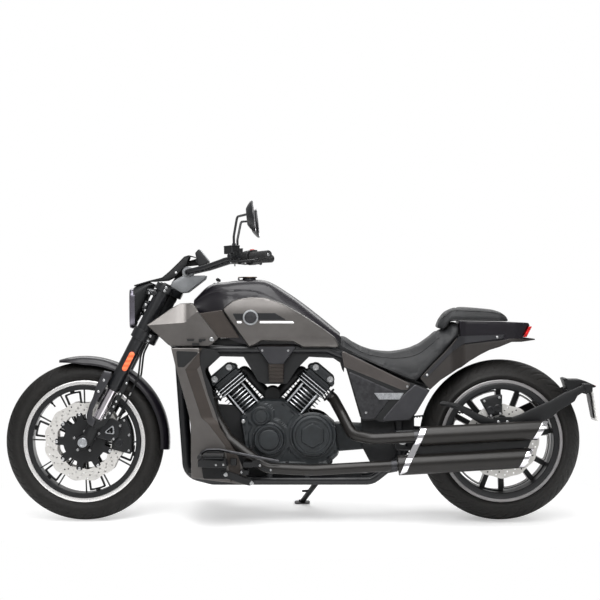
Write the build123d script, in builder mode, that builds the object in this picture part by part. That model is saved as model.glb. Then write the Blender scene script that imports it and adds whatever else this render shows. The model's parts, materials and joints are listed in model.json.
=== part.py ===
"""Cruiser motorcycle with a V-twin engine, parked on its side stand.

Everything is drawn with the motorcycle upright: X forward from the rear axle, Y to the left,
Z up, millimetres. What steers is drawn in the fork's own frame, so it follows the wheelbase and
the front wheel. At the end the whole machine is leaned onto its side stand and its footprint is
centred on the origin.
"""

import os
from math import cos, radians, sin

from build123d import *

# ---------------------------------------------------------------- driving dimensions
WHEELBASE = 1680.0
AXLE_HEIGHT = 324.6  # rear axle over the drawing's base line
LEAN = 8.0  # degrees towards -Y, onto the side stand
RAKE = 27.0  # steering axis from the vertical, degrees
FORK_OFFSET = 30.0  # fork legs ahead of the steering axis
AXLE_LEAD = 10.0  # front axle ahead of the fork legs
RUNNING_FIT = 0.05  # radial play of a wheel or stem on its axle
SEAT_GAP = 0.3  # play between pieces that rest on each other
MOVING_GAP = 5.0  # clearance to pieces that move
SIDE_LIMIT = 400.0  # longer than any sideways cut needs

RIM_BEAD = 228.6  # radius of an 18 inch rim's bead seat
FLANGE_HEIGHT = 17.4
FLANGE_THICK = 6.0
RIM_BARREL = 20.0
FRONT_TYRE_WIDTH = 130.0
FRONT_ASPECT = 0.70  # sidewall height over width
FRONT_CROWN = 69.0
REAR_TYRE_WIDTH = 240.0
REAR_ASPECT = 0.40
REAR_CROWN = 150.0

AXLE_RADIUS = 12.5
AXLE_CAP = 20.0
FRONT_HUB_HALF = 48.0
DISC_THICK = 5.0
FRONT_DISC_Y = 58.0
FRONT_DISC_RADIUS = 162.0
REAR_DISC_RADIUS = 150.0
PULLEY_RADIUS = 108.0
BELT_THICK = 10.0
BELT_WIDTH = 20.0
ARM_WIDTH = 20.0

FORK_HALF_SPAN = 105.0
OUTER_TUBE_RADIUS = 27.0
OUTER_TUBE_BOTTOM = 245.0
STANCHION_RADIUS = 21.5
LOWER_RADIUS = 26.0
STEM_RADIUS = 14.0
HEAD_TUBE_RADIUS = 32.0
LOWER_YOKE = (470.0, 512.0)  # along the steering axis, bottom and top
UPPER_YOKE = (684.0, 712.0)
FENDER_GAP = 21.0  # tyre crown to the inside of the front fender

BAR_RADIUS = 11.0
GRIP_RADIUS = 17.0
CRANK = (920.0, 352.0)  # crankshaft centre, X and Z
CYLINDER_ANGLE = 40.0  # each cylinder from the vertical
FIN_HALF = 71.0  # cylinder head fins, fore and aft
RAIL_RADIUS = 18.0
RAIL_Y = 118.0
RAIL_HEIGHT = 694.0
TANK_HALF = 138.0
PIVOT = (400.0, 0.0, 330.0)  # swingarm pivot
PIVOT_RADIUS = 20.0
FRONT_PULLEY = (520.0, 0.0, 340.0)
FRONT_PULLEY_RADIUS = 48.0
SILENCER_RADIUS = 40.0
PLATE_THICK = 7.2

# ---------------------------------------------------------------- worked-out places
lean_cos = cos(radians(LEAN))
lean_sin = sin(radians(LEAN))
rake_cos = cos(radians(RAKE))
rake_sin = sin(radians(RAKE))
RIM_FLANGE = RIM_BEAD + FLANGE_HEIGHT
FRONT_TYRE_RADIUS = RIM_BEAD + FRONT_TYRE_WIDTH * FRONT_ASPECT
REAR_TYRE_RADIUS = RIM_BEAD + REAR_TYRE_WIDTH * REAR_ASPECT
FRONT_RIM_HALF = FRONT_TYRE_WIDTH * 0.34
REAR_RIM_HALF = REAR_TYRE_WIDTH * 0.45
REAR_AXLE = (0.0, 0.0, AXLE_HEIGHT)
# distance of the ground from the drawing's origin, along the leaned ground's normal
rear_support = (REAR_TYRE_RADIUS - REAR_CROWN) * lean_cos + REAR_CROWN
GROUND = AXLE_HEIGHT * lean_cos - rear_support
front_support = (FRONT_TYRE_RADIUS - FRONT_CROWN) * lean_cos + FRONT_CROWN
FRONT_AXLE = (WHEELBASE, 0.0, (GROUND + front_support) / lean_cos)
fork_lead = FORK_OFFSET + AXLE_LEAD
FORK_FOOT = (WHEELBASE - fork_lead * rake_cos, 0.0, FRONT_AXLE[2] - fork_lead * rake_sin)
# fork frame: X ahead of the steering axis, Y to the left, Z up along the axis
FORK = Plane(origin=FORK_FOOT, x_dir=(rake_cos, 0, rake_sin), z_dir=(-rake_sin, 0, rake_cos))
FORK_SIDE = Plane(origin=FORK_FOOT, x_dir=(rake_cos, 0, rake_sin), z_dir=(0, -1, 0))
FORK_TOP = UPPER_YOKE[1] + 4.0
STEM_TOP = UPPER_YOKE[1] + 8.0

# rear end, from the tyre outwards
PULLEY_IN = REAR_TYRE_WIDTH / 2 + 3.0
PULLEY_OUT = PULLEY_IN + BELT_WIDTH
REAR_DISC_Y = REAR_TYRE_WIDTH / 2 + 4.0
REAR_HUB_HALF = REAR_DISC_Y - 19.0
ARM_IN = PULLEY_OUT + MOVING_GAP
ARM_OUT = ARM_IN + ARM_WIDTH
HOLDER_IN = ARM_OUT + SEAT_GAP
HOLDER_OUT = HOLDER_IN + PLATE_THICK
SILENCER_Y = HOLDER_OUT + 0.5 + SILENCER_RADIUS
COVER_IN = TANK_HALF + 5.5  # covers over the frame, inner face


def ground_height(y):
    """Height of the leaned ground, in the upright drawing, at a distance y from the middle."""
    return (GROUND - y * lean_sin) / lean_cos


def on_fork(points):
    """Places points given in the fork frame: ahead of the axis, to the left, up the axis."""
    return [FORK.from_local_coords(Vector(*point)) for point in points]


def around(centre, radius, turn):
    """Point on a circle about a cross axis, at an angle up from forward."""
    return (centre[0] + radius * cos(radians(turn)), 0.0,
            centre[2] + radius * sin(radians(turn)))


def radial_side(centre, turn):
    """Side plane about a cross axis, with its X along a spoke."""
    return Plane(origin=centre, x_dir=(cos(radians(turn)), 0, sin(radians(turn))),
                 z_dir=(0, -1, 0))


def slab(outline, y_out, y_in, side=Plane.XZ, mode=Mode.ADD):
    """Extrudes an outline drawn from the side, between two distances from the middle."""
    with BuildSketch(side.offset(-y_out)) as face:
        with BuildLine():
            Polyline(*outline, close=True)
        make_face()
    extrude(face.sketch, amount=y_out - y_in, mode=mode)


def plan(half_widths, mode=Mode.INTERSECT):
    """Cuts a piece to its outline from above, given as X and half width."""
    left = [(x, half) for x, half in half_widths]
    right = [(x, -half) for x, half in reversed(half_widths)]
    with BuildSketch(Plane.XY) as face:
        with BuildLine():
            Polyline(*left, *right, close=True)
        make_face()
    extrude(face.sketch, amount=2 * RAIL_HEIGHT, mode=mode)


def rod(start, end, radius, mode=Mode.ADD):
    """Round bar between two points."""
    axis = Vector(*end) - Vector(*start)
    with BuildSketch(Plane(origin=Vector(*start), z_dir=axis)) as face:
        Circle(radius)
    extrude(face.sketch, amount=axis.length, mode=mode)


def pipe(route, radius, bend, mode=Mode.ADD):
    """Sweeps a round section along straight runs joined by tangent arcs."""
    with BuildLine() as path:
        FilletPolyline(*route, radius=bend)
    with BuildSketch(Plane(origin=path.line @ 0, z_dir=path.line % 0)) as face:
        Circle(radius)
    sweep(face.sketch, path=path.line, mode=mode)


def ring(centre, r_out, r_in, y_out, y_in, mode=Mode.ADD):
    """Flat ring or disc about a cross axis."""
    with BuildSketch(Plane.XZ.offset(-y_out)) as face:
        with Locations((centre[0], centre[2])):
            Circle(r_out)
            if r_in:
                Circle(r_in, mode=Mode.SUBTRACT)
    extrude(face.sketch, amount=y_out - y_in, mode=mode)


def along_fork(y, start, end, radius, mode=Mode.ADD):
    """Cylinder on the fork leg's centre line at a distance y from the middle."""
    with Locations(FORK):
        with Locations((FORK_OFFSET, y, start)):
            Cylinder(radius, end - start, mode=mode,
                     align=(Align.CENTER, Align.CENTER, Align.MIN))


def tyre(axle, radius, width, crown, rim_half):
    """Revolves a tyre section: round crown, bulged walls and a bead inside the flanges."""
    drop = crown - (crown**2 - (width * 0.45) ** 2) ** 0.5
    shoulder = (radius - drop, width * 0.45)
    wall = ((shoulder[0] + RIM_FLANGE) / 2, width / 2)
    bead = (RIM_FLANGE + 2, rim_half + 2)
    low = rim_half - SEAT_GAP
    seat = RIM_BEAD + SEAT_GAP
    with BuildSketch(Plane.XY.offset(axle[2]).shift_origin((axle[0], 0, axle[2]))) as section:
        with BuildLine():
            ThreePointArc((shoulder[0], -shoulder[1]), (radius, 0), shoulder)
            ThreePointArc(shoulder, wall, bead)
            Polyline(bead, (RIM_FLANGE, low), (seat, low), (seat, -low), (RIM_FLANGE, -low),
                     (bead[0], -bead[1]))
            ThreePointArc((bead[0], -bead[1]), (wall[0], -wall[1]), (shoulder[0], -shoulder[1]))
        make_face()
    revolve(section.sketch, axis=Axis(axle, (0, 1, 0)))


def rim(axle, rim_half):
    """Revolves the rim: a barrel with two flanges."""
    out = rim_half + FLANGE_THICK
    inner = RIM_BEAD - RIM_BARREL
    with BuildSketch(Plane.XY.offset(axle[2]).shift_origin((axle[0], 0, axle[2]))) as section:
        with BuildLine():
            Polyline((RIM_BEAD, -rim_half), (RIM_FLANGE, -rim_half), (RIM_FLANGE, -out),
                     (inner, -out), (inner, out), (RIM_FLANGE, out),
                     (RIM_FLANGE, rim_half), (RIM_BEAD, rim_half), close=True)
        make_face()
    revolve(section.sketch, axis=Axis(axle, (0, 1, 0)))


def forked_spokes(axle, count, first, y_half, root, half_foot, half_tip, slot):
    """Spokes in pairs: each is a tapered bar with a slot from its waist to the rim."""
    tip = RIM_BEAD - 3.0
    for index in range(count):
        with BuildSketch(radial_side(axle, first + index * 360.0 / count).offset(-y_half)) as face:
            with BuildLine():
                Polyline((root, -half_foot), (tip, -half_tip), (tip, half_tip),
                         (root, half_foot), close=True)
            make_face()
            with Locations(((root + tip) / 2 + 38, 0)):
                SlotOverall(tip - root - 20, slot, mode=Mode.SUBTRACT)
        extrude(face.sketch, amount=2 * y_half)


# ---------------------------------------------------------------- front wheel
with BuildPart() as front_tyre:
    tyre(FRONT_AXLE, FRONT_TYRE_RADIUS, FRONT_TYRE_WIDTH, FRONT_CROWN, FRONT_RIM_HALF)

with BuildPart() as front_wheel:
    rim(FRONT_AXLE, FRONT_RIM_HALF)
    forked_spokes(FRONT_AXLE, 6, 45.0, 14.0, 30.0, 20.0, 27.0, 20.0)
    ring(FRONT_AXLE, 38.0, 0, FRONT_HUB_HALF, -FRONT_HUB_HALF)
    ring(FRONT_AXLE, AXLE_RADIUS + RUNNING_FIT, 0, 60.0, -60.0, mode=Mode.SUBTRACT)

with BuildPart() as front_discs:
    for middle in (FRONT_DISC_Y, -FRONT_DISC_Y):
        outer_face = middle + DISC_THICK / 2
        inner_face = middle - DISC_THICK / 2
        ring(FRONT_AXLE, FRONT_DISC_RADIUS, 112.0, outer_face, inner_face)
        for index in range(12):
            # shallow waves in the disc's rim
            wave = around(FRONT_AXLE, FRONT_DISC_RADIUS + 10.0, index * 30.0)
            ring(wave, 16.0, 0, outer_face + 1.0, inner_face - 1.0, mode=Mode.SUBTRACT)
        ring(FRONT_AXLE, 58.0, 30.0, outer_face, inner_face)
        for index in range(6):
            slab(((50, -9), (116, -7), (116, 7), (50, 9)), outer_face, inner_face,
                 radial_side(FRONT_AXLE, 15.0 + index * 60.0))
        # the carrier's boss reaches the hub's end face
        boss = sorted((middle, middle / FRONT_DISC_Y * (FRONT_HUB_HALF + SEAT_GAP)))
        ring(FRONT_AXLE, 37.0, 30.0, boss[1], boss[0])

with BuildPart() as front_axle:
    ring(FRONT_AXLE, AXLE_RADIUS, 0, FORK_HALF_SPAN + 29.0, 0)
    ring(FRONT_AXLE, AXLE_CAP - 1.0, 0, FORK_HALF_SPAN + 35.0, FORK_HALF_SPAN + 27.0)
    ring(FRONT_AXLE, AXLE_CAP - 1.0, 0, FORK_HALF_SPAN - 26.5, FRONT_HUB_HALF + 0.5)
    mirror(about=Plane.XZ)

# ---------------------------------------------------------------- fork
with BuildPart() as fork_outer_tubes:
    along_fork(FORK_HALF_SPAN, OUTER_TUBE_BOTTOM, FORK_TOP, OUTER_TUBE_RADIUS)
    along_fork(FORK_HALF_SPAN, OUTER_TUBE_BOTTOM, OUTER_TUBE_BOTTOM + 70.0,
               STANCHION_RADIUS + SEAT_GAP, mode=Mode.SUBTRACT)
    mirror(about=Plane.XZ)

STANCHION_BOTTOM = 45.0
LOWER_TOP = 112.0
with BuildPart() as fork_stanchions:
    along_fork(FORK_HALF_SPAN, STANCHION_BOTTOM, OUTER_TUBE_BOTTOM + 60.0, STANCHION_RADIUS)
    mirror(about=Plane.XZ)

FENDER_SIDE = FRONT_TYRE_WIDTH / 2 + 9.2
STAY = FENDER_SIDE + 3.8  # outer face of the fender's stay
with BuildPart() as fork_lowers:
    along_fork(FORK_HALF_SPAN, 0.0, LOWER_TOP, LOWER_RADIUS)
    ring(FRONT_AXLE, LOWER_RADIUS + 1.5, 0, FORK_HALF_SPAN + 26.7, FORK_HALF_SPAN - 25.0)
    # fender stay beside the leg, and the caliper's lug behind it
    slab(((16, 40), (48, 40), (52, 318), (10, 318)), STAY, STAY - 3.5, FORK_SIDE)
    slab(((16, 70), (44, 70), (44, 110), (16, 110)), STAY + 12.0, STAY - 1.0, FORK_SIDE)
    slab(((20, 40), (-50, 50), (-75, 80), (-60, 135), (-20, 140), (20, 110)),
         STAY + 14.0, STAY + 1.0, FORK_SIDE)
    ring(FRONT_AXLE, AXLE_RADIUS + RUNNING_FIT, 0, FORK_HALF_SPAN + 45.0, 60.0,
         mode=Mode.SUBTRACT)
    along_fork(FORK_HALF_SPAN, STANCHION_BOTTOM - SEAT_GAP, 135.0, STANCHION_RADIUS + SEAT_GAP,
               mode=Mode.SUBTRACT)
    mirror(about=Plane.XZ)

GUARD = ((96, 296), (94, 229), (84, 167), (75, 104), (57, 77), (10, 74), (-8, 101),
         (-14, 149), (-16, 218), (-17, 286), (-10, 327))
with BuildPart() as fork_guards:
    slab(GUARD, FORK_HALF_SPAN + 35.0, FORK_HALF_SPAN - 5.0, FORK_SIDE)
    inner = [((a - 38) * 0.9 + 38, (t - 200) * 0.93 + 208) for a, t in GUARD]
    inner[0] = (inner[0][0], 400)
    inner[-1] = (inner[-1][0], 400)
    slab(inner, FORK_HALF_SPAN + 31.0, FORK_HALF_SPAN - 15.0, FORK_SIDE, mode=Mode.SUBTRACT)
    along_fork(FORK_HALF_SPAN, 60.0, LOWER_TOP, LOWER_RADIUS + SEAT_GAP, mode=Mode.SUBTRACT)
    along_fork(FORK_HALF_SPAN, LOWER_TOP, 360.0, OUTER_TUBE_RADIUS + SEAT_GAP, mode=Mode.SUBTRACT)
    mirror(about=Plane.XZ)


def yoke(heights, front, back):
    """Yoke plate: two clamp eyes joined across the steering axis."""
    out = FORK_HALF_SPAN + 13.0
    legs = ((FORK_OFFSET, FORK_HALF_SPAN), (FORK_OFFSET, -FORK_HALF_SPAN))
    with BuildSketch(FORK.offset(heights[0])) as plate:
        with BuildLine():
            Polyline((front, -60), (FORK_OFFSET + 30, -90), (FORK_OFFSET + 30, -out),
                     (FORK_OFFSET - 30, -out), (back, -45), (back, 45),
                     (FORK_OFFSET - 30, out), (FORK_OFFSET + 30, out),
                     (FORK_OFFSET + 30, 90), (front, 60), close=True)
        make_face()
        with Locations(*legs):
            Circle(OUTER_TUBE_RADIUS + 9.0)
        with Locations(*legs):
            Circle(OUTER_TUBE_RADIUS + SEAT_GAP, mode=Mode.SUBTRACT)
    extrude(plate.sketch, amount=heights[1] - heights[0])


with BuildPart() as fork_yokes:
    yoke(LOWER_YOKE, 34.0, -34.0)
    yoke(UPPER_YOKE, 30.0, -42.0)
    with Locations(FORK.offset(LOWER_YOKE[0])):
        Cylinder(STEM_RADIUS, STEM_TOP - LOWER_YOKE[0],
                 align=(Align.CENTER, Align.CENTER, Align.MIN))

with BuildPart() as fork_reflectors:
    face_out = FORK_HALF_SPAN + OUTER_TUBE_RADIUS + 5.0
    with BuildSketch(FORK_SIDE.offset(-face_out)) as capsule:
        with Locations((FORK_OFFSET - 6.0, 373.0)):
            SlotOverall(85.0, 22.0, rotation=90)
    extrude(capsule.sketch, amount=20.0)
    along_fork(FORK_HALF_SPAN, 300.0, 450.0, OUTER_TUBE_RADIUS + SEAT_GAP, mode=Mode.SUBTRACT)
    mirror(about=Plane.XZ)

# caliper: a block over the disc's rim, between two radii and two angles about the axle
CALIPER_OUT = RIM_BEAD - RIM_BARREL - 12.6
with BuildPart() as front_calipers:
    ring(FRONT_AXLE, CALIPER_OUT, 108.0, STAY + 0.7, FRONT_DISC_Y - 22.0)
    slab((FRONT_AXLE[::2], around(FRONT_AXLE, 300.0, 146.0)[::2],
          around(FRONT_AXLE, 300.0, 197.0)[::2]), SIDE_LIMIT, 0, mode=Mode.INTERSECT)
    ring(FRONT_AXLE, FRONT_DISC_RADIUS + 8.0, 0, FRONT_DISC_Y + 7.5, FRONT_DISC_Y - 7.5,
         mode=Mode.SUBTRACT)
    mirror(about=Plane.XZ)

# brake hose from each caliper's lug to the lower yoke, clipped to the leg all the way
HOSE_Y = FENDER_SIDE + 9.8
HOSE_ROUTE = ((-39, HOSE_Y, 138.2), (-39, HOSE_Y, 330), (-5, HOSE_Y, 420),
              (-5, HOSE_Y, LOWER_YOKE[0] - SEAT_GAP))
with BuildPart() as front_brake_hoses:
    pipe(on_fork(HOSE_ROUTE), 4.0, 80.0)
    mirror(about=Plane.XZ)

with BuildPart() as front_fender:
    start = 72.0
    crown = FRONT_TYRE_RADIUS + FENDER_GAP
    section_plane = Plane(origin=FRONT_AXLE, x_dir=(cos(radians(start)), 0, sin(radians(start))),
                          z_dir=(sin(radians(start)), 0, -cos(radians(start))))
    with BuildSketch(section_plane) as band:
        with BuildLine():
            side = FENDER_SIDE
            Polyline((crown - 30, side), (crown - 15, side - 2.2), (crown - 3, side - 22),
                     (crown + 4, 0), (crown - 3, 22 - side), (crown - 15, 2.2 - side),
                     (crown - 30, -side), (crown - 30, 3.2 - side), (crown - 17, 5.2 - side),
                     (crown - 6.5, 24 - side), (crown, 0), (crown - 6.5, side - 24),
                     (crown - 17, side - 5.2), (crown - 30, side - 3.2), close=True)
        make_face()
    revolve(band.sketch, axis=Axis(FRONT_AXLE, (0, -1, 0)), revolution_arc=114.0)

# ---------------------------------------------------------------- headlamp and instruments
LAMP_CENTRE = on_fork(((118.4, 0, 561.3),))[0]
LAMP_FRONT = Plane(origin=LAMP_CENTRE, x_dir=(0, 1, 0), z_dir=(1, 0, 0))
LAMP_SIDE = ((154.5, 632.1), (82.3, 490.5), (74.6, 486.5), (69.8, 496.8), (71.6, 674.4),
             (76.0, 693.3), (97.0, 693.5), (142.3, 650.3))


def lamp_block(front, depth, inset, top, mode=Mode.ADD):
    """Block behind the lamp's face: wider at the top, with round corners, set in all round."""
    with BuildSketch(LAMP_FRONT.offset(front)) as face:
        with BuildLine():
            Polyline((inset - 78, inset - 80), (78 - inset, inset - 80), (98 - inset, top - inset),
                     (inset - 98, top - inset), close=True)
        make_face()
        fillet(face.vertices(), 34 - inset)
    extrude(face.sketch, amount=-depth, mode=mode)


with BuildPart() as headlamp:
    lamp_block(0, 110, 0, 105)
    slab(LAMP_SIDE, SIDE_LIMIT, -SIDE_LIMIT, FORK_SIDE, mode=Mode.INTERSECT)
    lamp_block(0, 14, 12, 88, mode=Mode.SUBTRACT)
    with Locations(LAMP_FRONT.offset(19.6)):
        Sphere(63.6, mode=Mode.SUBTRACT)
    with Locations(LAMP_FRONT.offset(-48.0)):
        Cylinder(14.0, 24.0, align=(Align.CENTER, Align.CENTER, Align.MIN))
    # ears that saddle the fork tubes
    for y_out, y_in in ((112, 84), (-84, -112)):
        slab(((42, 585), (75, 585), (75, 625), (42, 625)), y_out, y_in, FORK_SIDE)
    for y in (FORK_HALF_SPAN, -FORK_HALF_SPAN):
        along_fork(y, 500.0, 700.0, OUTER_TUBE_RADIUS + SEAT_GAP, mode=Mode.SUBTRACT)

with BuildPart() as headlamp_lens:
    lamp_block(-4.0, 6.0, 12.0 + SEAT_GAP, 88)

VISOR = ((142.5, 650.6), (146.6, 654.1), (101.3, 697.4), (60.0, 733.0), (45.5, 766.2),
         (27.1, 820.5), (18.8, 848.3), (3.7, 862.7), (-17.7, 866.9), (-21.8, 863.3),
         (-0.3, 859.2), (14.7, 844.7), (23.0, 816.9), (41.4, 762.7), (55.9, 729.5), (97.2, 693.8))
CHEEK = ((104.8, 688.9), (58.1, 729.5), (43.6, 762.7), (25.3, 816.9), (15.2, 845.6),
         (0.1, 860.0), (-4.2, 820.7), (13.2, 762.5), (36.2, 730.5))
with BuildPart() as visor:
    slab(VISOR, 76.0, -76.0, FORK_SIDE)
    slab(CHEEK, 76.0, 71.0, FORK_SIDE)
    slab(CHEEK, -71.0, -76.0, FORK_SIDE)

YOKE_SEAT = UPPER_YOKE[1] + SEAT_GAP
with BuildPart() as instrument:
    slab(((-13, 881), (-19, 904), (-82, 875), (-60, 827)), 62.0, -62.0, FORK_SIDE)
    slab(((-5, STEM_TOP + SEAT_GAP), (18, STEM_TOP + SEAT_GAP), (14, 818), (2, 836), (-28, 864), (-48, 844),
          (-8, 818)), 12.0, -12.0, FORK_SIDE)

# handlebar: from its middle to its left end
BAR_ROUTE = ((-22.3, 103, 798.5), (-86.3, 165, 853.5), (-141.3, 225, 910.8),
             (-194.7, 285, 949.2), (-287.3, 445, 1005.3))
BAR_HOLE = BAR_RADIUS + SEAT_GAP
with BuildPart() as bar_risers:
    slab(((12, YOKE_SEAT), (-40, YOKE_SEAT), (-60, 725), (-98, 805), (-95, 821), (-48, 796.6),
          (-27.6, 788.2), (-4.8, 771), (17, 736.5)), 79.0, 52.0, FORK_SIDE)
    rod(*on_fork(((-22.3, 52, 798.5), (-22.3, 79, 798.5))), 22.0)
    rod(*on_fork(((-22.3, 40, 798.5), (-22.3, 90, 798.5))), BAR_HOLE, mode=Mode.SUBTRACT)
    mirror(about=Plane.XZ)

with BuildPart() as handlebar:
    pipe(on_fork([(a, -y, t) for a, y, t in reversed(BAR_ROUTE)] + list(BAR_ROUTE)),
         BAR_RADIUS, 45.0)

# controls: X in from the bar's left end, Y ahead of the grip, Z up
BAR_END, BAR_BEND = on_fork(BAR_ROUTE[:-3:-1])
bar_run = BAR_BEND - BAR_END
CONTROLS = Plane(origin=BAR_END, x_dir=bar_run, z_dir=bar_run.cross(Vector(0, 0, 1).cross(bar_run)))
LEVER_PIVOT = (222.0, 31.0, -12.0)


def at_controls(points):
    """Places points given in the controls' frame."""
    return [CONTROLS.from_local_coords(Vector(*point)) for point in points]


with BuildPart() as grips:
    rod(*at_controls(((-3, 0, 0), (115, 0, 0))), GRIP_RADIUS)
    rod(*at_controls(((0 - SEAT_GAP, 0, 0), (120, 0, 0))), BAR_HOLE, mode=Mode.SUBTRACT)
    mirror(about=Plane.XZ)

with BuildPart() as control_housings:
    rod(*at_controls(((118, 0, 0), (160, 0, 0))), 24.0)
    with Locations(CONTROLS):
        with Locations((139, -16, 6)):
            Box(42.0, 28.0, 40.0)
        # reservoir over its clamp, and the lever's perch ahead of it
        with Locations((243, 12, 32)):
            Box(62.0, 45.0, 35.0)
        with Locations((222, 16, 3)):
            Box(28.0, 52.0, 24.0)
        with Locations((LEVER_PIVOT[0], 46, LEVER_PIVOT[2] - 10.6)):
            Box(60.0, 64.0, 31.8, mode=Mode.SUBTRACT)
        with Locations(LEVER_PIVOT):
            Cylinder(3.0, 30.0, align=(Align.CENTER, Align.CENTER, Align.CENTER))
    pipe([CONTROLS.from_local_coords(Vector(-40, 0, 0)), BAR_BEND]
         + on_fork(BAR_ROUTE[2:0:-1]), BAR_HOLE, 45.0, mode=Mode.SUBTRACT)
    mirror(about=Plane.XZ)

with BuildPart() as hand_levers:
    with Locations(CONTROLS):
        with Locations(LEVER_PIVOT):
            Cylinder(9.0, 10.0)
    for start, end, radius in (((222, 31, -12), (144, 38, -19), 5.0),
                               ((144, 38, -19), (17, 44, -20), 5.0),
                               ((22, 44, -20), (10, 44, -20), 7.0)):
        rod(*at_controls((start, end)), radius)
    with Locations(CONTROLS):
        with Locations(LEVER_PIVOT):
            Cylinder(3.0 + RUNNING_FIT, 40.0, mode=Mode.SUBTRACT)
    mirror(about=Plane.XZ)

MIRROR_FACE = (-0.995, 0.0, 0.098)
MIRROR_RADIUS = 62.0
with BuildPart() as mirrors:
    pipe(at_controls(((222, 15, 49.8), (222, 15, 84))) + on_fork(((-107.8, 300, 1084.5),
         (-141.6, 390, 1108.4))), 5.0, 12.0)
    rod(*at_controls(((222, 15, 49.8), (222, 15, 58))), 9.0)
    head = on_fork(((-167.9, 430, 1111.8),))[0]
    with Locations(Plane(origin=head, z_dir=MIRROR_FACE)):
        Cylinder(MIRROR_RADIUS, 9.0)
        with Locations((0, 0, -4.5)):
            Cone(34.0, MIRROR_RADIUS - 2.0, 22.0, align=(Align.CENTER, Align.CENTER, Align.MAX))
    rod(on_fork(((-141.6, 390, 1108.4),))[0], head, 5.0)
    mirror(about=Plane.XZ)

with BuildPart() as front_turn_lamps:
    slab(((95, 666), (50, 649), (38, 668), (58, 682)), FORK_HALF_SPAN + 30.0,
         FORK_HALF_SPAN + 5.0, FORK_SIDE)
    along_fork(FORK_HALF_SPAN, 600.0, 700.0, OUTER_TUBE_RADIUS + SEAT_GAP, mode=Mode.SUBTRACT)
    mirror(about=Plane.XZ)

# ---------------------------------------------------------------- frame
# the stand's pivot, its foot on the ground and the direction of the folded leg
STAND_PIVOT = Vector(720, -136, 165)
STAND_FOOT_XY = (800.0, -290.0)
STAND_FOLDED = Vector(-1, -0.10, 0.14)
foot_height = ground_height(STAND_FOOT_XY[1])
STAND_FOOT = Vector(STAND_FOOT_XY[0], STAND_FOOT_XY[1], foot_height + 8.0)
STAND_AXIS = (STAND_FOOT - STAND_PIVOT).cross(STAND_FOLDED).normalized()
TUBE_HEIGHT = 165.0
CROWN_HEAD, DOWN_HEAD, DOWN_ELBOW = on_fork(((-21.8, 12, 627.7), (-4.8, 12, 561.8),
                                             (-130.1, 50, 503.3)))
RAIL_ROUTE = (CROWN_HEAD, (1180, RAIL_Y, RAIL_HEIGHT), (700, RAIL_Y, RAIL_HEIGHT),
              (400, 84, 570), (290, 78, 548), (215, 76, 640), (180.5, 76, 648))
CASE_BOTTOM = 226.0
with BuildPart() as frame:
    with Locations(FORK.offset(LOWER_YOKE[1] + 0.5)):
        Cylinder(HEAD_TUBE_RADIUS, UPPER_YOKE[0] - LOWER_YOKE[1] - 1.0,
                 align=(Align.CENTER, Align.CENTER, Align.MIN))
    pipe(RAIL_ROUTE, RAIL_RADIUS, 25.0)
    pipe((DOWN_HEAD, DOWN_ELBOW, (1262, 80, 190), (1160, 95, TUBE_HEIGHT), (520, 95, TUBE_HEIGHT),
          (400, 95, 260), (430, 95, 572)), RAIL_RADIUS, 60.0)
    # engine mounts on the lower tubes, and stays to the covers and shrouds
    for x in (780, 930):
        rod((x, 95, TUBE_HEIGHT), (x, 95, CASE_BOTTOM - SEAT_GAP), 14.0)
    rod((1205, 100, 728), (1205, 171.7, 728), 7.0)
    rod((1286, 62, 500), (1235, 187.4, 500), 6.0)
    rod((1262, 80, 197), (1205, 186.9, 197), 6.0)
    mirror(about=Plane.XZ)
    rod((PIVOT[0], -120, PIVOT[2]), (PIVOT[0], 120, PIVOT[2]), PIVOT_RADIUS)
    rod((560, SEAT_GAP - COVER_IN, 630), (560, COVER_IN - SEAT_GAP, 630), 12.0)
    rod(STAND_PIVOT - STAND_AXIS * 11, STAND_PIVOT + STAND_AXIS * 26, 7.0)
    rod((720, -95, TUBE_HEIGHT), STAND_PIVOT + STAND_AXIS * 26, 8.0)
    with Locations(FORK.offset(LOWER_YOKE[1])):
        Cylinder(STEM_RADIUS + RUNNING_FIT, 400.0, mode=Mode.SUBTRACT,
                 align=(Align.CENTER, Align.CENTER, Align.MIN))

# ---------------------------------------------------------------- engine
CASE_HALF = 145.0
CYLINDER_HALF = 70.0
DECK = 136.0  # crankshaft to a cylinder's foot
CYLINDER_LENGTH = 99.0
HEAD_BASE = DECK + CYLINDER_LENGTH + SEAT_GAP
PORT = (FIN_HALF + SEAT_GAP, 40.0, 265.0)
tilt_cos = cos(radians(CYLINDER_ANGLE))
tilt_sin = sin(radians(CYLINDER_ANGLE))
BARRELS = [Plane(origin=(CRANK[0], 0, CRANK[1]), x_dir=(tilt_cos, 0, -lean * tilt_sin),
                 z_dir=(lean * tilt_sin, 0, tilt_cos)) for lean in (1, -1)]
with BuildPart() as crankcase:
    slab(((1030, 280), (1053, 417.4), (961.4, 494.6), (878.6, 494.6), (786.7, 417.4),
          (760, 411.5), (700, 422), (666, 396), (650, 270), (700, CASE_BOTTOM),
          (960, CASE_BOTTOM)), CASE_HALF, -CASE_HALF)
    slab(((672, 395), (480, 385), (480, 295), (660, 280)), 70.0, -70.0)
    # output shaft with the belt's front pulley
    ring(FRONT_PULLEY, 15.0, 0, -60.0, -PULLEY_OUT - 1.0)
    ring(FRONT_PULLEY, FRONT_PULLEY_RADIUS, 0, -PULLEY_IN, -PULLEY_OUT)

# X, Z, radius and outer face of the round covers
COVERS = ((933, 333, 69, 178), (759, 349, 93, 170), (965, 425, 40, 160))
with BuildPart() as engine_covers:
    for x, z, radius, reach in COVERS:
        ring((x, 0, z), radius, 0, reach, CASE_HALF)
    mirror(about=Plane.XZ)

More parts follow.
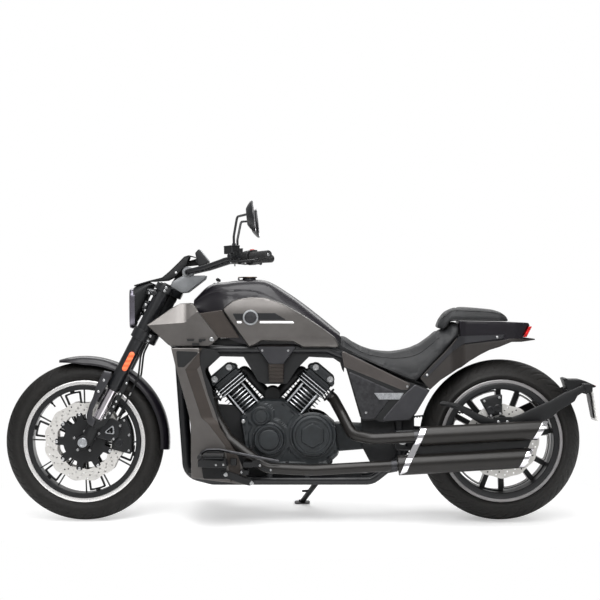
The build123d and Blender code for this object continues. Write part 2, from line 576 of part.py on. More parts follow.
with BuildPart() as cylinders:
    for barrel in BARRELS:
        with Locations(barrel.offset(DECK)):
            Cylinder(CYLINDER_HALF - 18.0, CYLINDER_LENGTH,
                     align=(Align.CENTER, Align.CENTER, Align.MIN))
            for index in range(8):
                with Locations((0, 0, 6.0 + index * 11.0)):
                    Cylinder(CYLINDER_HALF, 4.0, align=(Align.CENTER, Align.CENTER, Align.MIN))

with BuildPart() as cylinder_heads:
    for barrel in BARRELS:
        with Locations(barrel.offset(HEAD_BASE)):
            Box(118.0, 150.0, 60.0, align=(Align.CENTER, Align.CENTER, Align.MIN))
            for index in range(4):
                with Locations((0, 0, 2.7 + index * 13.0)):
                    Box(2 * FIN_HALF, 172.0, 5.0, align=(Align.CENTER, Align.CENTER, Align.MIN))
            with Locations((0, 0, 59.7)):
                Box(130.0, 168.0, 42.0, align=(Align.CENTER, Align.CENTER, Align.MIN))

with BuildPart() as airbox_cover:
    slab(((981, 708), (837, 708), (873, 640), (877, 562), (933, 562), (937, 640)),
         COVER_IN + 6.5, RAIL_Y + RAIL_RADIUS + SEAT_GAP)
    mirror(about=Plane.XZ)

RADIATOR_FRONT = 1245.2
with BuildPart() as radiator:
    with Locations((RADIATOR_FRONT, 0, 400)):
        Box(31.2, 286.0, 380.0, align=(Align.MAX, Align.CENTER, Align.CENTER))

# shroud: its plate, and the edge turned in along its front and foot
SHROUD = ((1322, 699), (1306, 632), (1278, 532), (1254, 445), (1244, 393), (1242, 182),
          (1191, 175), (1087, 163), (1008, 151), (1030, 205), (1064, 286), (1079, 306),
          (1127, 381), (1151, 453), (1175, 512), (1207, 632), (1209, 699))
SHROUD_FRONT = ((1242, 182), (1244, 393), (1254, 445), (1278, 532), (1306, 632), (1322, 699))
SHROUD_FOOT = ((1242, 182), (1191, 175), (1087, 163))
with BuildPart() as radiator_shrouds:
    slab(SHROUD, 196.0, 190.0)
    slab(SHROUD_FRONT + tuple((x - 7, z) for x, z in reversed(SHROUD_FRONT)), 190.0, 150.0)
    slab(SHROUD_FOOT + tuple((x, z + 6) for x, z in reversed(SHROUD_FOOT)), 190.0, 150.0)
    mirror(about=Plane.XZ)

# ---------------------------------------------------------------- tank and its covers
SCOOP = ((1421, 790), (1369, 826), (1329, 854), (1289, 876), (1261, 878), (1237, 874),
         (1221, 858), (1213, 842), (1131, 738), (1169, 705), (1329, 705))
with BuildPart() as front_panels:
    slab(SCOOP, 178.0, 150.0)
    slab([((x - 1290) * 0.88 + 1290, (z - 780) * 0.84 + 780) for x, z in SCOOP], 172.0, 140.0,
         mode=Mode.SUBTRACT)
    slab(((1217, 836), (1121, 850), (1049, 738), (1160, 738)), 152.0, 146.0)
    mirror(about=Plane.XZ)

# tank sections: X, half width, bottom, top
TANK_BASE = RAIL_HEIGHT + RAIL_RADIUS + SEAT_GAP
TANK = ((1237, 84, 850, 892), (1184, 100, 800, 944), (1100, TANK_HALF, 735, 965),
        (951, TANK_HALF, TANK_BASE, 971), (850, TANK_HALF, TANK_BASE, 914),
        (745, TANK_HALF, TANK_BASE, 837), (648, 105, TANK_BASE, 758))
CAP = (1015.0, 971.0, 32.0)  # X, height of the seat, radius
CAP_HINGE = (CAP[0] + 43.0, 0.0, CAP[1] + 4.0)
with BuildPart() as tank:
    for x, half, low, high in TANK:
        with BuildSketch(Plane.YZ.offset(x)) as section:
            with Locations((0, (low + high) / 2)):
                Rectangle(2 * half, high - low)
            fillet(section.vertices().group_by(Axis.Y)[-1], min(high - low, half) * 0.55)
    loft(ruled=True)
    # filler neck with the cap's hinge
    with Locations((CAP[0], 0, CAP[1] + 8.0)):
        Cylinder(27.0, 20.0, align=(Align.CENTER, Align.CENTER, Align.MAX))
        with Locations((32, 0, 0)):
            Box(24.0, 20.0, 20.0, align=(Align.CENTER, Align.CENTER, Align.MAX))
        with Locations((43, 0, 0)):
            Box(12.0, 30.0, 6.0, mode=Mode.SUBTRACT,
                align=(Align.CENTER, Align.CENTER, Align.MAX))
        Cylinder(21.0, 26.0, mode=Mode.SUBTRACT, align=(Align.CENTER, Align.CENTER, Align.MAX))
    rod((CAP_HINGE[0], -12, CAP_HINGE[2]), (CAP_HINGE[0], 12, CAP_HINGE[2]), 4.0)

with BuildPart() as fuel_cap:
    with Locations((CAP[0], 0, CAP[1] + 8.0 + SEAT_GAP)):
        Cylinder(CAP[2], 5.0, align=(Align.CENTER, Align.CENTER, Align.MIN))
        with Locations((36, 0, 0)):
            Box(16.0, 16.0, 5.0, align=(Align.CENTER, Align.CENTER, Align.MIN))

PANEL = ((1121, 854), (1081, 886), (1049, 896), (1009, 902), (949, 900), (881, 878), (809, 838),
         (729, 786), (669, 742), (649, 700), (797, 700), (837, 722), (961, 726), (989, 710),
         (1013, 700))
with BuildPart() as tank_panels:
    slab(PANEL, TANK_HALF + 30.0, TANK_HALF + SEAT_GAP)
    mirror(about=Plane.XZ)

# ---------------------------------------------------------------- seats, tail and side covers
# edge where the rider's seat meets the tail, from the top down
SEAT_BACK = ((180, 738), (209, 704), (249, 662), (289, 622), (329, 578))
SEAT_TOP = ((647, 756), (606, 723), (566, 701), (525, 687), (484, 681), (444, 679), (403, 685),
            (363, 695), (322, 713), (281, 744), (261, 764), (232, 762))
with BuildPart() as rider_seat:
    slab(SEAT_TOP + SEAT_BACK + ((345, 563), (370, 570), (645, 694)), SIDE_LIMIT, -SIDE_LIMIT)
    plan(((650, 100), (560, 118), (470, 146), (330, 150), (240, 134), (170, 110)))
    for y in (1, -1):
        # the frame's rails lie in channels under the seat
        pipe([(x, y * side, z) for x, side, z in RAIL_ROUTE[1:]], RAIL_RADIUS + SEAT_GAP, 25.0,
             mode=Mode.SUBTRACT)

TAIL_TOP = ((171, 805), (-26, 802))
PILLION = ((261, 780), (249, 817), (229, 843), (200, 862), (180, 866), (38, 857), (-3, 847),
           (-23, 829), (-35, 808), (-26, 802.3), (171, 805.3), (202, 806), (214, 781), (234, 769))
with BuildPart() as pillion_pad:
    slab(PILLION, SIDE_LIMIT, -SIDE_LIMIT)
    plan(((270, 70), (230, 96), (150, 104), (0, 96), (-40, 70)))

TAIL = TAIL_TOP + ((-114, 798), (-118, 784.6), (-111.7, 784.6), (-88.7, 739.4), (-141, 734),
                   (-141, 728), (-84, 721), (-42, 721), (7, 701), (47, 689), (87, 669),
                   (127, 645), (159, 621), (180, 650), (165, 735))
SKIRT = tuple((x - 0.25, z - 0.25) for x, z in SEAT_BACK) + (
    (289, 530), (247, 569), (180, 612), (159, 640), (150, 735))
with BuildPart() as tail:
    slab(TAIL, SIDE_LIMIT, -SIDE_LIMIT)
    slab(SKIRT, SIDE_LIMIT, 100.0)
    slab(SKIRT, -100.0, -SIDE_LIMIT)
    plan(((345, 142), (200, 142), (150, 108), (-60, 92), (-142, 62)))

with BuildPart() as tail_lamp:
    slab(((-112, 784.3), (-126, 784.3), (-103.3, 740), (-89.4, 740)), 84.0, -84.0)

COVER_BACK = ((645, 690), (390, 566), (350, 555), (289, 530), (309, 498), (345, 438), (369, 408),
              (489, 402), (509, 410), (561, 406), (621, 614), (636, 622))
with BuildPart() as side_covers:
    slab(COVER_BACK, COVER_IN + 3.5, COVER_IN)
    slab(((621, 612), (422, 524), (509, 412), (560, 408)), COVER_IN + 8.5, COVER_IN)
    slab(((645, 690), (390, 566), (366, 556), (378, 528), (402, 528), (634, 622)),
         COVER_IN + 6.5, COVER_IN)
    slab(((350, 552), (292, 528), (311, 498), (347, 440), (371, 410), (487, 404), (399, 508)),
         COVER_IN + 6.5, COVER_IN)
    mirror(about=Plane.XZ)

# ---------------------------------------------------------------- rear wheel and swingarm
with BuildPart() as rear_tyre:
    tyre(REAR_AXLE, REAR_TYRE_RADIUS, REAR_TYRE_WIDTH, REAR_CROWN, REAR_RIM_HALF)

with BuildPart() as rear_wheel:
    rim(REAR_AXLE, REAR_RIM_HALF)
    forked_spokes(REAR_AXLE, 6, 15.0, 16.0, 34.0, 26.0, 32.0, 22.0)
    ring(REAR_AXLE, 44.0, 0, REAR_HUB_HALF, -REAR_HUB_HALF)
    ring(REAR_AXLE, AXLE_RADIUS + RUNNING_FIT, 0, 160.0, -160.0, mode=Mode.SUBTRACT)

with BuildPart() as rear_disc:
    ring(REAR_AXLE, REAR_DISC_RADIUS, 30.0, REAR_DISC_Y + DISC_THICK / 2,
         REAR_DISC_Y - DISC_THICK / 2)
    ring(REAR_AXLE, 40.0, 30.0, REAR_DISC_Y, REAR_HUB_HALF + SEAT_GAP)

with BuildPart() as rear_pulley:
    ring(REAR_AXLE, PULLEY_RADIUS, 30.0, -PULLEY_IN, -PULLEY_OUT)
    ring(REAR_AXLE, 40.0, 30.0, -REAR_HUB_HALF - SEAT_GAP, -PULLEY_OUT)

with BuildPart() as rear_axle:
    ring(REAR_AXLE, AXLE_RADIUS, 0, ARM_OUT + 12.0, -ARM_OUT - 12.0)
    ring(REAR_AXLE, AXLE_CAP, 0, ARM_OUT + 12.0, ARM_OUT + SEAT_GAP)
    ring(REAR_AXLE, AXLE_CAP, 0, -ARM_OUT - SEAT_GAP, -ARM_OUT - 12.0)

CROSS_X = REAR_TYRE_RADIUS + 34.4
with BuildPart() as swingarm:
    slab(((430, 370), (360, 372), (30, 352), (-30, 352), (-40, 325), (-30, 297), (30, 297),
          (340, 288), (430, 290), (440, 330)), ARM_OUT, ARM_IN)
    ring(PIVOT, 34.0, 0, ARM_IN + 5.0, 114.0)
    ring(PIVOT, PIVOT_RADIUS + SEAT_GAP, 0, ARM_OUT + 12.0, 90.0, mode=Mode.SUBTRACT)
    ring(REAR_AXLE, AXLE_RADIUS + SEAT_GAP, 0, ARM_OUT + 12.0, 130.0, mode=Mode.SUBTRACT)
    mirror(about=Plane.XZ)
    with Locations((CROSS_X, 0, 350)):
        Box(18.0, 2 * ARM_IN + 4.0, 30.0)
    # threaded hole for a paddock bobbin
    ring((150, 0, 325), 4.0, 0, -ARM_IN + 1.0, -ARM_OUT - 1.0, mode=Mode.SUBTRACT)

with BuildPart() as rear_caliper:
    ring(REAR_AXLE, REAR_DISC_RADIUS + 38.0, 100.0, ARM_IN - SEAT_GAP, REAR_DISC_Y - 18.0)
    slab((REAR_AXLE[::2], around(REAR_AXLE, 300.0, 60.0)[::2],
          around(REAR_AXLE, 300.0, 92.0)[::2]), SIDE_LIMIT, 0, mode=Mode.INTERSECT)
    slab(((14, 340), (80, 344), (80, 440), (14, 440)), ARM_IN - SEAT_GAP, ARM_IN - 14.0)
    ring(REAR_AXLE, REAR_DISC_RADIUS + 6.0, 0, REAR_DISC_Y + 6.0, REAR_DISC_Y - 6.0,
         mode=Mode.SUBTRACT)

with BuildPart() as drive_belt:
    with BuildSketch(Plane.XZ.offset(PULLEY_IN)) as loop:
        with Locations((0, REAR_AXLE[2])):
            Circle(PULLEY_RADIUS + BELT_THICK)
        with Locations((FRONT_PULLEY[0], FRONT_PULLEY[2])):
            Circle(FRONT_PULLEY_RADIUS + BELT_THICK)
        make_hull()
        with BuildSketch(mode=Mode.SUBTRACT):
            with Locations((0, REAR_AXLE[2])):
                Circle(PULLEY_RADIUS + SEAT_GAP)
            with Locations((FRONT_PULLEY[0], FRONT_PULLEY[2])):
                Circle(FRONT_PULLEY_RADIUS + SEAT_GAP)
            make_hull()
    extrude(loop.sketch, amount=BELT_WIDTH)

# ---------------------------------------------------------------- exhaust
with BuildPart() as silencers:
    rod((330, SILENCER_Y, 348), (-200, SILENCER_Y, 376.1), SILENCER_RADIUS)
    slab(((-192, 434), (-112, 306), (-280, 306), (-280, 434)), SILENCER_Y + 60, SILENCER_Y - 60,
         mode=Mode.SUBTRACT)
    rod((420, SILENCER_Y, 234), (-140, SILENCER_Y, 266.3), SILENCER_RADIUS + 1.0)
    slab(((-131, 324), (-68, 207), (-280, 207), (-280, 324)), SILENCER_Y + 60, SILENCER_Y - 60,
         mode=Mode.SUBTRACT)
    rod((-210, SILENCER_Y, 376.7), (-80, SILENCER_Y, 369.8), 33.0, mode=Mode.SUBTRACT)
    rod((-150, SILENCER_Y, 266.9), (-30, SILENCER_Y, 260.0), 34.0, mode=Mode.SUBTRACT)

HEADER_RADIUS = 22.0
port_front, front_reach = [BARRELS[0].from_local_coords(Vector(PORT[0] + reach, *PORT[1:]))
                           for reach in (0, 27)]
port_rear, rear_reach = [BARRELS[1].from_local_coords(Vector(-PORT[0] - reach, *PORT[1:]))
                         for reach in (0, 27)]
with BuildPart() as exhaust_headers:
    pipe((port_front, front_reach, (1150, 85, 425), (1095, 155, 335), (1030, 178, 285),
          (940, 200, 222), (760, SILENCER_Y, 214.4), (420.3, SILENCER_Y, 234)), HEADER_RADIUS, 22.5)
    pipe((port_rear, rear_reach, (640, 110, 430), (600, 176, 352), (520, SILENCER_Y, 337.9),
          (330.3, SILENCER_Y, 348)), HEADER_RADIUS, 22.5)

# ---------------------------------------------------------------- controls and small pieces
PEG = (1150.0, 272.0)
with BuildPart() as footrests:
    with Locations((PEG[0], 265, PEG[1])):
        Box(84.0, 124.0, 26.0)
    slab(((1204, 238), (1180, 290), (1110, 290), (1096, 178), (1194, 178)), 204.0, 196.3)
    mirror(about=Plane.XZ)

HOLDER = ((254, 478), (230, 484), (90, 424), (10, 430), (-150, 488), (-230, 525), (-300, 545),
          (-330, 560), (-335, 520), (-298, 506), (-190, 442), (-70, 412), (90, 396))
PLATE = Plane(origin=(-363, 0, 540), x_dir=(0, 1, 0), z_dir=(-0.986, 0, 0.169))
with BuildPart() as plate_holder:
    slab(HOLDER, HOLDER_OUT, HOLDER_IN)
    slab(((-28, 298), (28, 298), (40, 425), (-40, 435)), HOLDER_OUT, HOLDER_IN)
    ring(REAR_AXLE, AXLE_CAP + 4.0, 0, HOLDER_OUT + 1.0, HOLDER_IN - 1.0, mode=Mode.SUBTRACT)
    mirror(about=Plane.XZ)
    with Locations((-341, 0, 538)):
        Box(36.0, 2 * HOLDER_IN + 4.0, 34.0)
    # number plate with its two screw holes
    with Locations(PLATE):
        with Locations((0, 66, 0)):
            Box(190.0, 148.0, 5.0)
        with Locations((75, 30, 0), (-75, 30, 0)):
            Cylinder(3.25, 20.0, mode=Mode.SUBTRACT)

# side stand on the far side: it turns about an oblique pin, from the ground to the folded place
with BuildPart() as side_stand:
    rod(STAND_PIVOT, STAND_FOOT, 12.0)
    rod(STAND_PIVOT - STAND_AXIS * 10, STAND_PIVOT + STAND_AXIS * 10, 17.0)
    with BuildSketch(Plane(origin=(STAND_FOOT.X, STAND_FOOT.Y, foot_height),
                           x_dir=(1, 0, 0), z_dir=(0, lean_sin, lean_cos))) as foot:
        RectangleRounded(64.0, 44.0, 12.0)
    extrude(foot.sketch, amount=6.0)
    rod(STAND_PIVOT - STAND_AXIS * 20, STAND_PIVOT + STAND_AXIS * 20,
        7.0 + RUNNING_FIT, mode=Mode.SUBTRACT)

# ---------------------------------------------------------------- finished pieces
pieces = {
    "front_tyre": front_tyre, "front_wheel": front_wheel, "front_discs": front_discs,
    "front_axle": front_axle, "fork_outer_tubes": fork_outer_tubes,
    "fork_stanchions": fork_stanchions, "fork_lowers": fork_lowers, "fork_guards": fork_guards,
    "fork_yokes": fork_yokes, "fork_reflectors": fork_reflectors,
    "front_calipers": front_calipers, "front_brake_hoses": front_brake_hoses,
    "front_fender": front_fender, "headlamp": headlamp, "headlamp_lens": headlamp_lens,
    "visor": visor, "instrument": instrument, "bar_risers": bar_risers, "handlebar": handlebar,
    "grips": grips, "control_housings": control_housings, "hand_levers": hand_levers,
    "mirrors": mirrors, "front_turn_lamps": front_turn_lamps, "frame": frame,
    "crankcase": crankcase, "engine_covers": engine_covers, "cylinders": cylinders,
    "cylinder_heads": cylinder_heads, "airbox_cover": airbox_cover, "radiator": radiator,
    "radiator_shrouds": radiator_shrouds, "front_panels": front_panels, "tank": tank,
    "tank_panels": tank_panels, "fuel_cap": fuel_cap, "rider_seat": rider_seat,
    "pillion_pad": pillion_pad, "tail": tail, "tail_lamp": tail_lamp,
    "side_covers": side_covers, "rear_tyre": rear_tyre, "rear_wheel": rear_wheel,
    "rear_disc": rear_disc, "rear_pulley": rear_pulley, "rear_axle": rear_axle,
    "swingarm": swingarm, "rear_caliper": rear_caliper, "drive_belt": drive_belt,
    "silencers": silencers, "exhaust_headers": exhaust_headers, "footrests": footrests,
    "plate_holder": plate_holder, "side_stand": side_stand,
}
leaned = {name: Rot(LEAN, 0, 0) * piece.part for name, piece in pieces.items()}
boxes = [piece.bounding_box() for piece in leaned.values()]
middle_x = (min(b.min.X for b in boxes) + max(b.max.X for b in boxes)) / 2
middle_y = (min(b.min.Y for b in boxes) + max(b.max.Y for b in boxes)) / 2
print("placed by", -middle_x, -middle_y, -GROUND)
print("fork foot", FORK_FOOT, "front axle", FRONT_AXLE, "rear axle", REAR_AXLE)
print("stand", STAND_PIVOT, STAND_AXIS, (STAND_FOOT - STAND_PIVOT).get_angle(STAND_FOLDED))
os.makedirs("parts", exist_ok=True)
for name, piece in leaned.items():
    placed = Pos(-middle_x, -middle_y, -GROUND) * piece
    placed.label = name
    export_step(placed, f"parts/{name}.step")
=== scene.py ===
# %% [markdown]
# # A cruiser motorcycle, dressed in Blender
# A long, low V-twin cruiser leans on its side stand. Its solid model comes from CAD and stays
# fixed: it gives every size, and every body that moves. Blender adds what a solid model leaves
# out: tread, crowned panels, stitched seats, bright fin edges, lenses and the finishes.
# The first step loads that solid model.

import json
import math

import bmesh
import bpy
import numpy as np
from mathutils import Matrix
from mathutils.geometry import delaunay_2d_cdt


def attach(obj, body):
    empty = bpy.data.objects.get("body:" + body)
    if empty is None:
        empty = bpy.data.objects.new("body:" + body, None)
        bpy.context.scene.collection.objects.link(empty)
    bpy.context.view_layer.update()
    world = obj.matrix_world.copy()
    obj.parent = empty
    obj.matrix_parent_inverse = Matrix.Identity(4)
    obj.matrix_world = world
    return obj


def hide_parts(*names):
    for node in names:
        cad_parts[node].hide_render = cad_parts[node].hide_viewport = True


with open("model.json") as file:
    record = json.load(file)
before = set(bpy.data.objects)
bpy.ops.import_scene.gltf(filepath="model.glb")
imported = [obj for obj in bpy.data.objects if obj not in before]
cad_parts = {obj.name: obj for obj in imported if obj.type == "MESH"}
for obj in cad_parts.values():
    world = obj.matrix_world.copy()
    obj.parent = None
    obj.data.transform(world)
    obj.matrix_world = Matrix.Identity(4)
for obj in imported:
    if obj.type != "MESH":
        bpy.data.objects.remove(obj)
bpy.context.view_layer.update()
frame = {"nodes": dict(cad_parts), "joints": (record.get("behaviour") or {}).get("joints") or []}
NODES = frame["nodes"]

# %% [markdown]
# The machine is drawn upright, in millimetres: X forward from the rear axle, Y to the left and
# Z up. The solid model was then leaned over and centred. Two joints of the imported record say
# how: the rear wheel's axis and the foot of the steering axis. With them, `stand` leans any
# drawn point, so that every piece can be thought of on an upright machine, and `fork` does the
# same for what hangs on the fork, whose legs are raked.

# %% From the drawing to the leaning machine
LEAN = math.radians(8.0)
RAKE = math.radians(27.0)
AXLE_HEIGHT = 324.6
PIVOTS = {row["name"]: np.array(row["pos_m"]) for row in frame["joints"]}
TURN = np.array([[1, 0, 0],
                 [0, math.cos(LEAN), math.sin(LEAN)],
                 [0, -math.sin(LEAN), math.cos(LEAN)]])
SHIFT = PIVOTS["rear_wheel_spin"] - np.array([0, 0, AXLE_HEIGHT / 1000]) @ TURN


def stand(points):
    """Drawn millimetres, turned about X by the lean and moved, as metres in the shared frame."""
    return np.asarray(points, float) / 1000 @ TURN + SHIFT


def drawn(points):
    """The way back: metres in the shared frame, as upright drawn millimetres."""
    return (np.asarray(points, float) - SHIFT) @ TURN.T * 1000


FORK_FOOT = drawn(PIVOTS["steering"])
FRONT_AXLE = drawn(PIVOTS["front_wheel_spin"])


def fork(points):
    """Points ahead of the steering axis, to the left and up along it, raked back by 27 degrees."""
    ahead, left, up = np.moveaxis(np.asarray(points, float), -1, 0)
    return np.stack([FORK_FOOT[0] + ahead * math.cos(RAKE) - up * math.sin(RAKE), left,
                     FORK_FOOT[2] + ahead * math.sin(RAKE) + up * math.cos(RAKE)], -1)


print("fork foot", FORK_FOOT.round(1), "front axle", FRONT_AXLE.round(1))

# %% [markdown]
# Every new piece is made of shells: an array of points and a list of faces. A grid of points
# gives a surface with two directions, such as round a tyre and across its tread. Working the
# whole grid out at once with numpy is quick, and one function can then turn any grid to faces.

# %% Shells from grids of points
def grid(points, wrap_u=False, wrap_v=False, caps=False):
    """Joins each four neighbours of points[u, v]; wrapping joins the last line to the first,
    and caps close the first and last line of u with a flat face each."""
    rows, columns = points.shape[:2]
    index = np.arange(rows * columns).reshape(rows, columns)
    ends = [index[0].tolist(), index[-1, ::-1].tolist()] if caps else []
    if wrap_u:
        index = np.vstack([index, index[:1]])
    if wrap_v:
        index = np.hstack([index, index[:, :1]])
    quads = np.stack([index[:-1, :-1], index[1:, :-1], index[1:, 1:], index[:-1, 1:]], -1)
    return points.reshape(-1, 3), quads.reshape(-1, 4).tolist() + ends


def joined(*shells):
    """Puts shells together: each one's face numbers move on by the points before it."""
    points, faces, start = [], [], 0
    for shell_points, shell_faces in shells:
        points.append(shell_points)
        faces += [[corner + start for corner in face] for face in shell_faces]
        start += len(shell_points)
    return np.vstack(points), faces


def both(shell):
    """The shell and its mirror image on the other side of the machine."""
    return joined(shell, (shell[0] * (1, -1, 1), [face[::-1] for face in shell[1]]))


def basis(axis):
    """Two directions square to an axis and to each other."""
    axis = np.asarray(axis, float) / np.linalg.norm(axis)
    first = np.cross(axis, (0, 0, 1) if abs(axis[2]) < 0.9 else (1, 0, 0))
    first /= np.linalg.norm(first)
    return axis, first, np.cross(axis, first)


def turned(profile, origin, axis=(0, 1, 0), turns=64, loop=False):
    """Carries a profile of (radius, distance along the axis) round it: each point is the origin
    plus the distance along the axis plus the radius times cosine and sine of the turn."""
    axis, first, second = basis(axis)
    radius, along = np.asarray(profile, float).T
    angle = np.linspace(0, 2 * np.pi, turns, endpoint=False)[:, None, None]
    spoke = first * np.cos(angle) + second * np.sin(angle)
    points = np.asarray(origin, float) + radius[None, :, None] * spoke + along[:, None] * axis
    return grid(points, wrap_u=True, wrap_v=loop)


def rounded(route, bend, step=0.16):
    """A route whose corners are arcs: each corner is cut back by bend times the tangent of half
    its turn, and the arc's points turn between the two runs in steps."""
    route = np.asarray(route, float)
    path = [route[0]]
    for before, corner, after in zip(route[:-2], route[1:-1], route[2:]):
        into = (corner - before) / np.linalg.norm(corner - before)
        out = (after - corner) / np.linalg.norm(after - corner)
        turn = math.acos(np.clip(into @ out, -1, 1))
        if turn < 0.02:
            path.append(corner)
            continue
        cut = min(bend * math.tan(turn / 2), 0.48 * np.linalg.norm(corner - before),
                  0.48 * np.linalg.norm(after - corner))
        radius = cut / math.tan(turn / 2)
        inward = out - into * (into @ out)
        inward /= np.linalg.norm(inward)
        centre = corner - into * cut + inward * radius
        angles = np.linspace(0, turn, max(3, int(turn / step)))[:, None]
        path += list(centre + radius * (into * np.sin(angles) - inward * np.cos(angles)))
    path.append(route[-1])
    return np.array(path)


def swept(route, radius, sides=20, bend=0.0, flat=1.0):
    """A round bar along a route: a circle in each point's own cross plane, which turns only as
    much as the route does. radius may be one number or one for each point of the route, and
    flat squeezes the circle in its second direction."""
    path = rounded(route, bend) if bend else np.asarray(route, float)
    ahead = np.gradient(path, axis=0)
    ahead /= np.linalg.norm(ahead, axis=1)[:, None]
    first = [basis(ahead[0])[1]]
    for direction in ahead[1:]:
        side = first[-1] - direction * (first[-1] @ direction)
        first.append(side / np.linalg.norm(side))
    first = np.array(first)
    second = np.cross(ahead, first)
    angle = np.linspace(0, 2 * np.pi, sides, endpoint=False)
    radius = np.broadcast_to(radius, len(path))[:, None, None]
    ring = (first[:, None] * np.cos(angle)[:, None]
            + second[:, None] * np.sin(angle)[:, None] * flat)
    return grid(path[:, None] + radius * ring, wrap_v=True, caps=True)


def stud(head, place, turns=16, axis=(0, 1, 0)):
    """A bolt head. head holds its radius, the height of its side, the radius of its top and its
    whole height; turns is the number of its sides."""
    radius, side, top, height = head
    return turned([(0, 0), (radius, 0), (radius, side), (top, height), (0, height)], place, axis,
                  turns)


def button(side, height, places):
    """Small round screws with a slightly domed top, 10 mm wide."""
    return joined(*[turned([(0, 0), (5, 0), (4.4, side), (0, height)], place, turns=16)
                    for place in places])


# %% [markdown]
# Plates with holes, such as brake discs, are easiest as filled flat curves: Blender fills the
# outline, leaves the holes open and rounds the edges. Panels need more: moulded plastic has a
# rolled edge and a crown. `moulded` fills an outline with a net of points and raises each by
# how far it is from the edge, so that one function gives every cover of the machine.

# %% Cut plates and moulded panels
def cut_plate(loops, low, high, edge=0.8, place=None):
    """Fills a flat outline with its holes, gives it thickness and rounded edges, and stands it
    up: the flat X and Y become X and Z, and the thickness runs along Y from low to high."""
    curve = bpy.data.curves.new("cut", "CURVE")
    curve.dimensions, curve.fill_mode = "2D", "BOTH"
    curve.extrude, curve.bevel_depth = (high - low) / 2 - edge, edge
    curve.bevel_resolution, curve.offset = 1, -edge
    for loop in loops:
        spline = curve.splines.new("POLY")
        spline.points.add(len(loop) - 1)
        corners = np.hstack([np.asarray(loop, float), np.zeros((len(loop), 1)),
                             np.ones((len(loop), 1))])
        spline.points.foreach_set("co", corners.ravel())
        spline.use_cyclic_u = True
    holder = bpy.data.objects.new("cut", curve)
    mesh = bpy.data.meshes.new_from_object(holder)
    flat = np.zeros(len(mesh.vertices) * 3)
    mesh.vertices.foreach_get("co", flat)
    flat = flat.reshape(-1, 3)
    faces = [list(face.vertices) for face in mesh.polygons]
    bpy.data.meshes.remove(mesh)
    bpy.data.objects.remove(holder)
    bpy.data.curves.remove(curve)
    points = np.stack([flat[:, 0], flat[:, 2] + (low + high) / 2, flat[:, 1]], -1)
    return (points if place is None else place(points)), faces


def circle(x, z, radius, count=24):
    """Points round a circle in the side view."""
    angle = np.linspace(0, 2 * np.pi, count, endpoint=False)
    return np.stack([x + radius * np.cos(angle), z + radius * np.sin(angle)], -1)


def box(x_start, z_start, x_end, z_end):
    """The four corners of an upright rectangle in the side view."""
    return [(x_start, z_start), (x_end, z_start), (x_end, z_end), (x_start, z_end)]


def fillet(outline, radius, step=0.3):
    """Rounds the corners of a closed outline; radius is one number or one for each corner."""
    outline = np.asarray(outline, float)
    radii = np.broadcast_to(radius, len(outline))
    path = []
    for index, corner in enumerate(outline):
        before, after = outline[index - 1], outline[(index + 1) % len(outline)]
        into, out = corner - before, after - corner
        lengths = np.linalg.norm(into), np.linalg.norm(out)
        into, out = into / lengths[0], out / lengths[1]
        turn = math.acos(np.clip(into @ out, -1, 1))
        if radii[index] <= 0 or turn < 0.03:
            path.append(corner)
            continue
        cut = min(radii[index] * math.tan(turn / 2), 0.45 * min(lengths))
        share = np.linspace(0, 1, max(3, int(turn / step) + 2))[:, None]
        start, end = corner - into * cut, corner + out * cut
        path += list((1 - share) ** 2 * start + 2 * share * (1 - share) * corner
                     + share ** 2 * end)
    return np.array(path)


def dense(outline, step, closed=True):
    """Adds points to an outline, so that none is further than step from the next."""
    outline = np.asarray(outline, float)
    following = np.roll(outline, -1, 0)
    last = len(outline) if closed else len(outline) - 1
    parts = np.maximum(1, np.ceil(np.linalg.norm(following - outline, axis=1) / step)).astype(int)
    runs = [a + (b - a) * np.linspace(0, 1, n, endpoint=False)[:, None]
            for a, b, n in zip(outline[:last], following, parts)]
    return np.vstack(runs if closed else runs + [outline[-1:]])


def edge_distance(points, loop):
    """Distance of each point to the nearest run of a closed loop."""
    start, run = loop, np.roll(loop, -1, 0) - loop
    offset = points[:, None] - start[None]
    share = np.clip((offset * run).sum(-1) / np.maximum((run ** 2).sum(-1), 1e-9), 0, 1)
    return np.linalg.norm(offset - share[..., None] * run, axis=-1).min(1)


